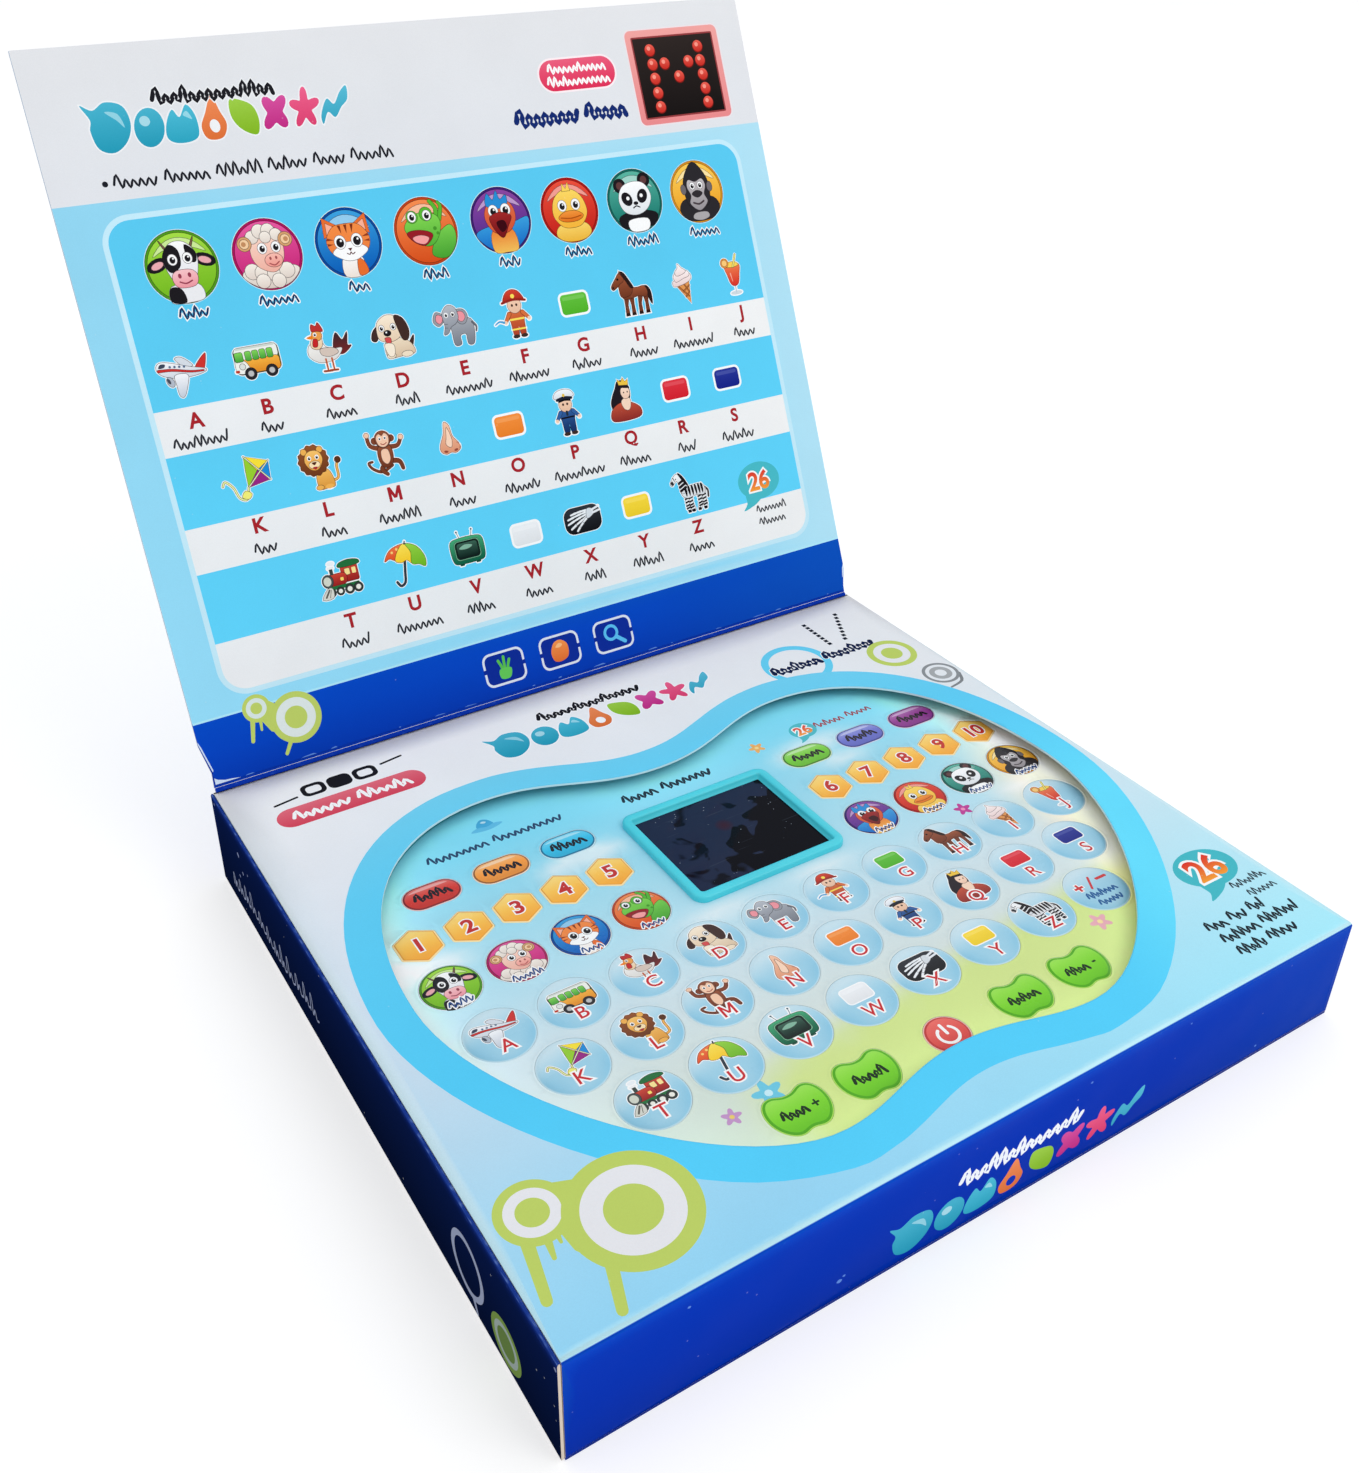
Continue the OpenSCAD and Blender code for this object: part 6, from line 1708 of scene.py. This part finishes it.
for j, row in enumerate(["..1..", ".1.1.", "1...1", ".1.1.", "..1.."]):
    for i, on in enumerate(row):
        outl.add(ell(-14 + 7 * i, 147.5 - 6.2 * j, 2.1, n=16), (250, 92, 62) if on == "1" else (60, 18, 18))
keys_ = "ABCDEFGHIJKLMNOPQRSTUVWXYZ"
for i, ch in enumerate(keys_):
    if i < 10:
        x_, y_ = (i - 4.5) * 19.6, 96
    elif i < 19:
        x_, y_ = (i - 14) * 19.6, 78
    else:
        x_, y_ = (i - 22) * 19.6, 60
    outl.add(ell(x_, y_, 8.6, n=30), lambda u, v: mixc((150, 206, 230), (206, 230, 240), smooth(56, 104, v)))
    outl.shapes(PICTURES[ch](), x_, y_ + 1.2, 5.6, halo=0.3)
for i, fn in enumerate(ANIMALS):
    sx = -1 if i < 4 else 1
    k = i if i < 4 else i - 4
    outl.shapes(fn(), (-90 + 17.6 * k) if i < 4 else (37.2 + 17.6 * k), 117, 7.4)
for k, c in enumerate(((215, 60, 50), (250, 160, 60), (50, 190, 235), (110, 200, 50), (95, 100, 190), (130, 40, 130))):
    outl.add(rrect((-78 + 20 * k) if k < 3 else (38 + 20 * (k - 3)), 152, 16, 9, 4.5, 6), c)
for i in range(10):
    x_ = (-92 + 14 * i) if i < 5 else (36 + 14 * (i - 5))
    outl.add(ell(x_, 135.5, 6.6, n=6, rot=30), (250, 186, 70))
    letter(outl, str((i + 1) % 10), x_, 135.5, 5.2, (200, 60, 50), halo=0.4)
for k, x_ in enumerate((-42, -23, 23, 42)):
    outl.add([(x_ + a * 0.86, 42 + b * 0.86) for a, b in FRUIT], (120, 208, 50))
outl.add(ell(0, 41, 6, n=30), (225, 80, 80))
for x_, y_, r_ in ((-112, 30, 15), (-92, 22, 8.5), (112, 218, 9), (120, 206, 5)):
    rings(outl, x_, y_, r_, inner=(226, 236, 244))
outl.add(ribbon([(-118, 16), (-119, 6)], 3.2, 2.6), LIME)
outl.add(ribbon([(-106, 15), (-107, 9)], 3.0, 2.6), LIME)
bubble26(outl, -108, 214, 14, 11, 11)
for k in range(3):
    greeked(outl, 86, 24 - 6.4 * k, 66 - 12 * k, 4.8, (230, 238, 248), seed=210 + k, words=4)
for k in range(2):
    greeked(outl, -20, 12 - 5 * k, 80, 3.6, (190, 214, 240), seed=220 + k, words=6)
outl.build("lid_outside_board", place_lid_out, "lid", M_PRINT, thick=0.8, edge=(222, 226, 228), back=(14, 60, 176), replaces=("lid_board",), slot="printed_board_blue")

# the crease of the lid: a rounded fold of the same board, scored along its middle
crease = []
for i in range(20):
    a = 2 * math.pi * i / 20
    r = 0.8 - (0.14 if i in (6, 7) else 0.0)
    crease.append((LY + r * math.cos(a), LZ + r * math.sin(a)))
strip("lid_crease", crease, -133.2, 133.2, "x", "lid", M_PRINT, lambda x, y, z: mixc((12, 52, 166), (110, 150, 220), 0.45 * smooth(0.4, 1.1, n2(x * 0.9, y * 3 + z * 2))), n=260)
# ------------------------------------------------------------------ keys: where they are and their outlines

NAMES = "ABCDEFGHIJKLMNOPQRSTUVWXYZ"


def letter_at(i):
    if i < 10:
        return (PAD_X + (i - 4.5) * 23.4, -23.5)
    if i < 19:
        return (PAD_X + (i - 14) * 23.4, -44.2)
    return (PAD_X + (i - 22.5) * 23.3, -65.4)


KEY_A, KEY_B = 10.4, 10.2
MODES = [(PAD_X + s * k, 40.5) for s, k in ((-1, 96.5), (-1, 72.5), (-1, 48.5), (1, 48.5), (1, 72.5), (1, 96.5))]
NUMBERS = [(PAD_X - 44 - 16.4 * k, 21.2) for k in (4, 3, 2, 1, 0)] + [(PAD_X + 44 + 16.4 * k, 21.2) for k in range(5)]
BEASTS = [(PAD_X - 45 - 21.3 * k, 0.3) for k in (3, 2, 1, 0)] + [(PAD_X + 45 + 21.3 * k, 0.3) for k in range(4)]
FRUITS = [(PAD_X + k, -88.4) for k in (-51, -28, 28, 51)]
POWER = (PAD_X, -88.2)

OUTLINES = {}
for i in range(27):
    x, y = letter_at(i)
    OUTLINES["letter%d" % i] = ell(x, y, KEY_A, KEY_B, 56)
for i, (x, y) in enumerate(MODES):
    OUTLINES["mode%d" % i] = pill(x, y, 19.4, 11.4, 14)
for i, (x, y) in enumerate(NUMBERS):
    pts = []
    for k in range(6):
        a0 = math.radians(90 + 60 * k)
        for t in (-1, 0, 1):
            cx_, cy_ = 6.9 * math.cos(a0), 6.9 * math.sin(a0)
            pts.append((x + cx_ + 0.95 * math.cos(a0 + t * math.radians(30)), y + cy_ + 0.95 * math.sin(a0 + t * math.radians(30))))
    OUTLINES["number%d" % i] = pts
for i, (x, y) in enumerate(BEASTS):
    OUTLINES["beast%d" % i] = ell(x, y, 9.3, n=52)
for i, (x, y) in enumerate(FRUITS):
    OUTLINES["fruit%d" % i] = moved(FRUIT, x, y)
OUTLINES["power"] = ell(POWER[0], POWER[1], 6.9, n=44)


def inner_distance(outline):
    """How far a point is from the outline, and the way away from it."""
    segs = [(outline[i], outline[(i + 1) % len(outline)]) for i in range(len(outline))]

    def dist(x, y):
        best, foot = 1e9, None
        for (ax, ay), (bx, by) in segs:
            dx, dy = bx - ax, by - ay
            l2 = dx * dx + dy * dy or 1e-9
            t = max(0.0, min(1.0, ((x - ax) * dx + (y - ay) * dy) / l2))
            px, py = ax + dx * t, ay + dy * t
            d = (x - px) ** 2 + (y - py) ** 2
            if d < best:
                best, foot = d, (px, py)
        return math.sqrt(best), foot

    return dist


Z_RIM, Z_FLAT, ROLL = 30.98, 31.30, 1.7


def dome(d):
    """Height of a bubble key at distance d in from its edge."""
    t = min(1.0, d / ROLL)
    return Z_RIM + (Z_FLAT - Z_RIM) * math.sin(t * math.pi / 2) ** 1.0 + 0.06 * smooth(ROLL, 8.0, d)


def key_sheet(shapes, seeds_step=1.7):
    """A sheet for one or more keys. shapes is [(outline, ink)]."""
    sh = Sheet()
    dists = []
    for outline, ink in shapes:
        o = grow(outline, -0.04)
        sh.add(o, ink)
        dists.append((o, inner_distance(o)))
        for g in (0.22, 0.5, 0.85, 1.25, 1.7, 2.6):
            ring = grow(outline, -0.04 - g)
            sh.seed(ring[::1 if g < 1.5 else 2])
    return sh, dists


def key_place(dists):
    boxes = [(min(x for x, y in o) - 0.1, max(x for x, y in o) + 0.1, min(y for x, y in o) - 0.1, max(y for x, y in o) + 0.1, f) for o, f in dists]

    def find(x, y):
        for x0, x1, y0, y1, f in boxes:
            if x0 <= x <= x1 and y0 <= y <= y1:
                return f
        return boxes[0][4]

    def place(x, y, h):
        if h < 0:
            return (x, y, 29.85)
        return (x, y, dome(find(x, y)(x, y)[0]))

    def normal(x, y):
        d, (px, py) = find(x, y)(x, y)
        e = 0.05
        slope = (dome(d + e) - dome(max(0.0, d - e))) / (e + min(d, e))
        if d < 1e-5:
            return Vector((0, 0, 1))
        n = Vector((-(x - px) / d * slope, -(y - py) / d * slope, 1.0))
        return n.normalized()

    def normal_rim(x, y):
        f = find(x, y)
        e = 0.03
        gx = (dome(f(x + e, y)[0]) - dome(f(x - e, y)[0])) / (2 * e)
        gy = (dome(f(x, y + e)[0]) - dome(f(x, y - e)[0])) / (2 * e)
        return Vector((-gx, -gy, 1.0)).normalized()

    return place, (lambda x, y: normal(x, y) if find(x, y)(x, y)[0] > 0.02 else normal_rim(x, y))


RIM_DIST = inner_distance(window_line()[::5])


def face_ink_and_rim_light(x, y):
    c = ramp([(-104, (205, 224, 150)), (-80, (214, 226, 196)), (-62, (214, 225, 222)), (-34, (206, 225, 232)), (-12, (184, 224, 238)), (10, (168, 221, 237)), (32, (150, 217, 237)), (52, (126, 213, 238)), (74, (112, 208, 236))], y)
    green = smooth(0.0, 1.0, (-y - 62 + 0.10 * x) / 14) * smooth(-66, -36, x)
    c = mixc(c, (208, 226, 142), green)
    warm = smooth(88, 112, x) * smooth(40, -20, y) * (1 - green * 0.5)
    c = mixc(c, (236, 226, 202), warm * 0.9)
    left = smooth(-40, -62, x) * smooth(-40, -80, y)
    c = mixc(c, (206, 220, 214), left * 0.7)
    cloud = 0.0
    for cx, cy, rx, ry in ((-42, 33, 9, 5), (-50, 30, 8, 4.5), (-34, 31, 7, 4), (62, 45, 14, 6), (50, 42, 8, 4.5), (-112, 12, 9, 5), (-100, 10, 8, 4), (20, -12, 12, 4), (-20, -13, 14, 4), (64, 33, 10, 3.6), (104, -12, 9, 4)):
        cloud += bump(x, y, cx, cy, rx, ry)
    c = mixc(c, (236, 242, 244), min(0.75, cloud * 0.75))
    # Painted light: near the window's rim the inks are brightened to fill the shade the recess casts. It is weaker at
    # the back and stronger at the right end.
    near = math.exp(-RIM_DIST(x, y)[0] / 8.0) * (0.45 + 0.55 * smooth(66, 30, y))
    low = smooth(20, -50, y)
    lift = [a + (b - a) * low for a, b in zip((1.15, 0.7, 0.55), (0.36, 0.4, 0.42))]
    lift = [k + w * smooth(84, 108, x) for k, w in zip(lift, (0.5, 0.25, 0.0))]
    return tuple(min(255.0, v * (1 + k * near) ** 0.4545) for v, k in zip(c, lift))


# ------------------------------------------------------------------ printed face sheet

face = Sheet()
face_line = pad_line(3.3)
face.add(face_line, face_ink_and_rim_light)
HOLES = {k: grow(o, 0.05) for k, o in OUTLINES.items()}
hole_dist = {k: inner_distance(o) for k, o in HOLES.items()}
hole_box = {k: (min(x for x, y in o), max(x for x, y in o), min(y for x, y in o), max(y for x, y in o)) for k, o in HOLES.items()}


def near_rim(x, y):
    """The nearest key opening: distance from it and the way away from it."""
    best = None
    for k, (x0, x1, y0, y1) in hole_box.items():
        if x0 - 1.6 < x < x1 + 1.6 and y0 - 1.6 < y < y1 + 1.6:
            d, foot = hole_dist[k](x, y)
            if best is None or d < best[0]:
                best = (d, foot)
    return best


def rim_height(x, y):
    near = near_rim(x, y)
    return 0.13 * math.exp(-((near[0] - 0.42) / 0.36) ** 2) if near else 0.0


inside_face = inside_test([(face_line[i], face_line[(i + 1) % len(face_line)]) for i in range(len(face_line))])


def clear_of_keys(x, y, m=1.2):
    if not inside_face(x, y):
        return False
    for x0, x1, y0, y1 in hole_box.values():
        if x0 - m < x < x1 + m and y0 - m < y < y1 + m:
            return False
    return True


face.grid(-121, -104, 131, 76, 4.0, keep=clear_of_keys)
for k, o in OUTLINES.items():
    for g in (0.22, 0.47, 0.75, 1.15, 1.6):
        face.seed([p for p in grow(o, g)[:: (1 if g < 1 else 2)] if inside_face(*p)])

# small printed things on the face
def flower(sheet, x, y, r, col, mid, rot=0):
    sheet.add(star_flower(x, y, r, 5, 0.5, rot), col)
    sheet.add(ell(x, y, r * 0.24, n=12), mid)


flower(face, -61.9, -81.0, 3.0, (196, 150, 200), (236, 206, 110))
flower(face, -49.1, -79.4, 4.9, (110, 200, 226), (200, 236, 246), 20)
flower(face, 79.5, -12.4, 3.3, (190, 60, 150), (240, 150, 190), 10)
flower(face, 76.3, -77.0, 3.8, (236, 176, 186), (250, 226, 160), 30)
flower(face, 41.2, 53.6, 3.2, (240, 176, 96), (250, 222, 150), 30)
greeked(face, -62, 55.2, 48, 5.0, (36, 62, 100), seed=301, words=2, pen=0.17)
greeked(face, 80, 54.0, 25, 4.4, (160, 48, 60), seed=302, words=2)
face.add(catmull([(-64.6, 62.8), (-64.2, 65.0), (-62.2, 66.9), (-60.2, 66.4), (-59.0, 64.6), (-58.8, 62.8), (-61.6, 62.2)], 5), (70, 172, 220))
face.add(catmull([(-67.4, 62.0), (-64.6, 63.3), (-61.4, 62.6), (-58.4, 63.4), (-55.8, 62.4), (-58.6, 61.2), (-61.6, 60.8), (-64.8, 61.1)], 5), (96, 190, 230))
face.add(catmull([(-62.6, 65.4), (-61.6, 65.9), (-60.6, 65.2), (-61.4, 64.7)], 3), (190, 230, 244))
greeked(face, 1.6, 51.2, 35, 5.6, (30, 44, 60), seed=303, words=2, pen=0.19)
bubble26(face, 62.2, 54.2, 5.4, 4.6, 5.0)
for k, p in HOLES.items():
    face.cut(p)
face.cut(rrect(PAD_X, 17.0, 53.6, 44.6, 0.6, 3))


def place_face(x, y, h):
    if h < 0:
        return (x, y, 30.62)
    return (x, y, 31.0 + rim_height(x, y))


def face_normal(x, y):
    near = near_rim(x, y)
    if not near or near[0] < 0.01:
        return Vector((0, 0, 1))
    d, (px, py) = near
    t = (d - 0.42) / 0.36
    slope = 0.13 * math.exp(-t * t) * -2 * t / 0.36
    return Vector((-(x - px) / d * slope, -(y - py) / d * slope, 1.0)).normalized()


face.build("pad_face_sheet", place_face, "carton_and_pad", M_FACE, thick=0.38, edge=(186, 214, 222), replaces=("face_sheet",), slot="face_print", smooth_shade=True, normal=face_normal)

# ------------------------------------------------------------------ keys

def disc_ink(cx, cy, a, b):
    def ink(x, y):
        nx, ny = (x - cx) / a, (y - cy) / b
        r = math.hypot(nx, ny)
        c = mixc((158, 208, 230), (206, 229, 238), smooth(-0.15, 0.95, ny - 0.15 * nx))
        c = mixc(c, (136, 196, 224), 0.85 * smooth(0.5, 0.95, r) * smooth(0.35, -0.3, ny + 0.1 * abs(nx)))
        c = mixc(c, (176, 216, 233), 0.5 * bump(nx, ny, 0.0, -0.72, 0.5, 0.22))
        return mixc(c, (204, 230, 240), smooth(0.94, 1.0, r))
    return ink


def key_common(sh, outline, cx, cy, a, b):
    sh.add(grow(outline, -0.62), disc_ink(cx, cy, a * 1.06, b * 1.06))
    for r in (0.75, 0.55, 0.35, 0.15):
        sh.seed(ell(cx, cy, a * r, b * r, 22))


for i in range(27):
    x, y = letter_at(i)
    o = OUTLINES["letter%d" % i]
    sh, dists = key_sheet([(o, disc_ink(x, y, KEY_A, KEY_B))])
    key_common(sh, o, x, y, KEY_A, KEY_B)
    if i < 26:
        ch = NAMES[i]
        kk = {"G": 5.9, "O": 5.9, "R": 5.9, "S": 5.9, "W": 5.9, "Y": 5.9, "X": 7.3, "V": 6.9, "N": 5.9, "C": 7.2, "B": 7.6}.get(ch, 7.2)
        dy = 2.7 if kk == 5.9 and ch != "N" else (2.6 if ch == "C" else 1.6)
        sh.shapes(PICTURES[ch](), x, y + dy, kk, halo=0.4, line=0.0 if dy == 2.7 else 0.15)
        letter(sh, ch, x + (0.6 if dy == 2.7 else 0.2), y - 4.6, 4.8, (202, 44, 50), halo=0.5, bold=0.01)
        node = "key_" + ch.lower()
    else:
        letter(sh, "+", x - 5.0, y + 2.6, 6.4, (206, 60, 64), halo=0.3, bold=0.03)
        sh.add(ribbon([(x - 1.4, y + 0.4), (x + 1.2, y + 5.0)], 0.8), (206, 60, 64))
        sh.add(rrect(x + 5.0, y + 3.2, 4.6, 1.1, 0.4), (206, 60, 64))
        greeked(sh, x, y - 2.2, 11.5, 3.6, (24, 88, 150), seed=320, pen=0.2)
        greeked(sh, x, y - 6.0, 9, 3.4, (24, 88, 150), seed=321, pen=0.2)
        node = "key_plus_minus"
    place, normal = key_place(dists)
    sh.build(node + "_bubble", place, node, M_KEY, thick=1.0, edge=(180, 216, 230), replaces=(node,), slot="key_bubble", smooth_shade=True, normal=normal)

# mode keys
shapes = []
MODE_COL = [(216, 58, 48), (250, 156, 62), (56, 192, 232), (120, 206, 56), (112, 118, 206), (150, 60, 148)]
for i, (x, y) in enumerate(MODES):
    c = MODE_COL[i]
    shapes.append((OUTLINES["mode%d" % i], mixc(c, WHITE, 0.75)))
sh, dists = key_sheet(shapes)
for i, (x, y) in enumerate(MODES):
    c = MODE_COL[i]
    o = OUTLINES["mode%d" % i]
    sh.add(grow(o, -0.34), mixc(c, (10, 10, 40), 0.42))
    sh.add(grow(o, -0.9), (lambda c, y: lambda u, v: ramp([(y - 5, mixc(c, (10, 10, 40), 0.12)), (y, c), (y + 4.6, mixc(c, WHITE, 0.3))], v))(c, y))
    sh.add(catmull([(x - 6.6, y + 3.2), (x - 3, y + 4.2), (x + 3, y + 4.2), (x + 6.6, y + 3.2), (x + 3, y + 3.0), (x - 3, y + 3.0)], 4), mixc(c, WHITE, 0.55))
    greeked(sh, x, y - 0.2, 11.8, 5.0, (30, 22, 30), seed=330 + i, pen=0.22)
    sh.grid(x - 9, y - 5, x + 9, y + 5, 1.8, keep=lambda u, v: True)
place, normal = key_place(dists)
sh.build("mode_key_pills", place, "mode_keys", M_KEY, thick=1.0, edge=(190, 200, 206), replaces=("mode_keys",), slot="key_mode", smooth_shade=True, normal=normal)

# number keys
shapes = [(OUTLINES["number%d" % i], (253, 226, 166)) for i in range(10)]
sh, dists = key_sheet(shapes)
for i, (x, y) in enumerate(NUMBERS):
    o = OUTLINES["number%d" % i]
    sh.add(grow(o, -0.55), (232, 158, 58))
    sh.add(grow(o, -0.9), (lambda y: lambda u, v: ramp([(y - 7, (246, 164, 56)), (y, (253, 194, 80)), (y + 7, (255, 222, 132))], v))(y))
    sh.grid(x - 6.5, y - 6.5, x + 6.5, y + 6.5, 1.8)
    if i < 9:
        letter(sh, str(i + 1), x, y, 6.0, (196, 50, 46), halo=0.42, bold=0.03)
    else:
        letter(sh, "1", x - 2.1, y, 6.0, (196, 50, 46), halo=0.42, bold=0.03)
        letter(sh, "0", x + 1.7, y, 6.0, (196, 50, 46), halo=0.42, bold=0.03)
place, normal = key_place(dists)
sh.build("number_key_hexes", place, "number_keys", M_KEY, thick=1.0, edge=(240, 210, 150), replaces=("number_keys",), slot="key_amber", smooth_shade=True, normal=normal)

# animal keys
shapes = [(OUTLINES["beast%d" % i], (232, 240, 244)) for i in range(8)]
sh, dists = key_sheet(shapes)
for i, (x, y) in enumerate(BEASTS):
    sh.shapes(ANIMALS[i](), x, y, 8.9, line=0.15)
    sh.seed([(x + 3 * a, y + 3 * b) for a in (-2, -1, 0, 1, 2) for b in (-2, -1, 0, 1, 2)])
    greeked(sh, x, y - 7.0, (7.5, 9.5, 6.5, 7.5, 7, 8, 9, 9)[i], 3.4, (30, 70, 130), seed=340 + i, halo=0.34)
place, normal = key_place(dists)
sh.build("animal_key_discs", place, "animal_keys", M_KEY, thick=1.0, edge=(200, 220, 228), replaces=("animal_keys",), slot="key_animal", smooth_shade=True, normal=normal)

# apple-shaped function keys
shapes = [(OUTLINES["fruit%d" % i], (176, 226, 96)) for i in range(4)]
sh, dists = key_sheet(shapes)
for i, (x, y) in enumerate(FRUITS):
    o = OUTLINES["fruit%d" % i]
    sh.add(grow(o, -0.35), (84, 172, 30))
    sh.add(grow(o, -1.1), (lambda y: lambda u, v: ramp([(y - 7, (104, 196, 36)), (y, (126, 214, 48)), (y + 7, (160, 230, 90))], v))(y))
    sh.grid(x - 8, y - 6, x + 8, y + 6, 1.8)
    if i in (0, 3):
        greeked(sh, x - 1.8, y - 0.3, 7.6, 4.0, (20, 46, 22), seed=350 + i, pen=0.24)
        letter(sh, "+" if i == 0 else "-", x + 5.0, y - 0.2 if i == 0 else y - 0.2, 4.4, (24, 60, 24), bold=0.03)
    else:
        greeked(sh, x, y - 0.3, 10, 4.2, (20, 46, 22), seed=350 + i, pen=0.24)
place, normal = key_place(dists)
sh.build("apple_function_keys", place, "function_keys", M_KEY, thick=1.0, edge=(170, 216, 100), replaces=("function_keys",), slot="key_green", smooth_shade=True, normal=normal)

# power key: a ring and a bar, the usual sign
sh, dists = key_sheet([(OUTLINES["power"], (240, 190, 180))])
x, y = POWER
sh.add(ell(x, y, 6.5, n=44), (196, 62, 62))
sh.add(ell(x, y, 5.9, n=44), lambda u, v: ramp([(POWER[1] - 6, (214, 66, 64)), (POWER[1] + 6, (238, 112, 104))], v))
sh.add(ribbon([(x + 3.1 * math.cos(math.radians(a)), y - 0.3 + 3.1 * math.sin(math.radians(a))) for a in range(125, 416, 15)], 0.95), WHITE)
sh.add(ribbon([(x, y + 0.2), (x, y + 3.6)], 1.0), WHITE)
sh.seed(ell(x, y, 4.6, n=20))
place, normal = key_place(dists)
sh.build("power_key_disc", place, "power_key", M_KEY, thick=1.0, edge=(220, 150, 140), replaces=("power_key",), slot="key_power", smooth_shade=True, normal=normal)

# ------------------------------------------------------------------ display frame: a moulded frame with rolled edges

def swept_frame(name, cx, cy, w, h, r, profile, body, mat, n=9, replaces=()):
    verts, faces = [], []
    loops = []
    for d, z in profile:
        ring = rrect(cx, cy, w - 2 * d, h - 2 * d, max(r - d, 0.35), n)
        loops.append([len(verts) + i for i in range(len(ring))])
        verts += [(x, y, z) for x, y in ring]
    m = len(loops[0])
    k = len(loops)
    for a in range(k):
        b = (a + 1) % k
        for i in range(m):
            j = (i + 1) % m
            faces.append((loops[a][i], loops[a][j], loops[b][j], loops[b][i]))
    me = bpy.data.meshes.new(name)
    me.from_pydata([Vector(v) * MM for v in verts], [], faces)
    bm_fix(me)
    me.materials.append(mat)
    for p in me.polygons:
        p.use_smooth = True
    me.set_sharp_from_angle(angle=math.radians(50))
    ob = bpy.data.objects.new(name, me)
    scene.collection.objects.link(ob)
    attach(ob, body)
    if replaces:
        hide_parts(*replaces)
    return ob


profile = [(0.0, 31.02), (0.0, 32.5), (0.12, 32.9), (0.42, 33.18), (0.85, 33.32), (1.5, 33.36), (2.5, 33.34), (2.9, 33.2), (3.15, 32.9), (3.25, 32.4), (3.7, 31.5), (3.95, 31.22), (4.0, 31.02)]
swept_frame("display_frame", PAD_X, 17.0, 58, 49, 4.2, profile, "carton_and_pad", M_CASE, replaces=("display_bezel",))
# ------------------------------------------------------------------ floor, light, camera

me = bpy.data.meshes.new("floor")
R_ = 12.0
me.from_pydata([(-R_, -R_, -0.0002), (R_, -R_, -0.0002), (R_, R_, -0.0002), (-R_, R_, -0.0002)], [], [(0, 1, 2, 3)])
floor = bpy.data.objects.new("floor", me)
scene.collection.objects.link(floor)
kf = Mat("floor_paper", Specular_IOR_Level=0.1, Emission_Strength=0.55, Emission_Color=(1, 1, 1, 1))
kf.colour(kf.mix(kf.range(kf.noise(4.0), 0.3, 0.7, 0.0, 1.0), (195, 195, 196), (198, 198, 198)))
kf.rough(kf.range(kf.noise(30.0), 0.3, 0.7, 0.6, 0.75))
me.materials.append(kf.m)

world = bpy.data.worlds.new("studio")
scene.world = world
world.use_nodes = True
bg = world.node_tree.nodes["Background"]
bg.inputs[0].default_value = (0.965, 0.98, 1.0, 1)
bg.inputs[1].default_value = 0.8


def area(name, loc, target, size, power, col=(1, 1, 1), size_y=None):
    l = bpy.data.lights.new(name, "AREA")
    l.energy = power
    l.size = size
    if size_y:
        l.shape = "RECTANGLE"
        l.size_y = size_y
    l.color = col
    o = bpy.data.objects.new(name, l)
    o.location = loc
    o.rotation_mode = "QUATERNION"
    o.rotation_quaternion = (Vector(target) - Vector(loc)).to_track_quat("-Z", "Y")
    scene.collection.objects.link(o)
    return o


area("key_light", (0.55, -1.1, 1.5), (0, 0, 0.05), 0.9, 6.5, (1.0, 0.985, 0.965))
area("top_light", (0.1, 0.1, 1.9), (0, 0, 0.0), 1.4, 2.0, (0.99, 0.99, 1.0))
area("fill_light", (1.4, 0.1, 0.7), (0, 0, 0.08), 0.8, 1.2)

scene.view_settings.view_transform = "Standard"
scene.view_settings.look = "None"

cam_data = bpy.data.cameras.new("camera")
cam = bpy.data.objects.new("camera", cam_data)
scene.collection.objects.link(cam)
right_v = Vector((0.8493131, -0.5278703, 0.0044972))
down_v = Vector((-0.2623824, -0.4295200, -0.8640995))
fwd_v = Vector((0.4580641, 0.7327111, -0.5033009))
rot = Matrix((right_v, -down_v, -fwd_v)).transposed()
cam.rotation_mode = "QUATERNION"
cam.rotation_quaternion = rot.to_quaternion()
cam.location = (-0.2209, -0.2961, 0.3284)
cam_data.sensor_width = 36.0
cam_data.lens = 35.93
cam_data.shift_x = 0.01724
cam_data.shift_y = -0.0643
cam_data.clip_start = 0.01
cam_data.clip_end = 20
scene.camera = cam

bpy.context.view_layer.update()
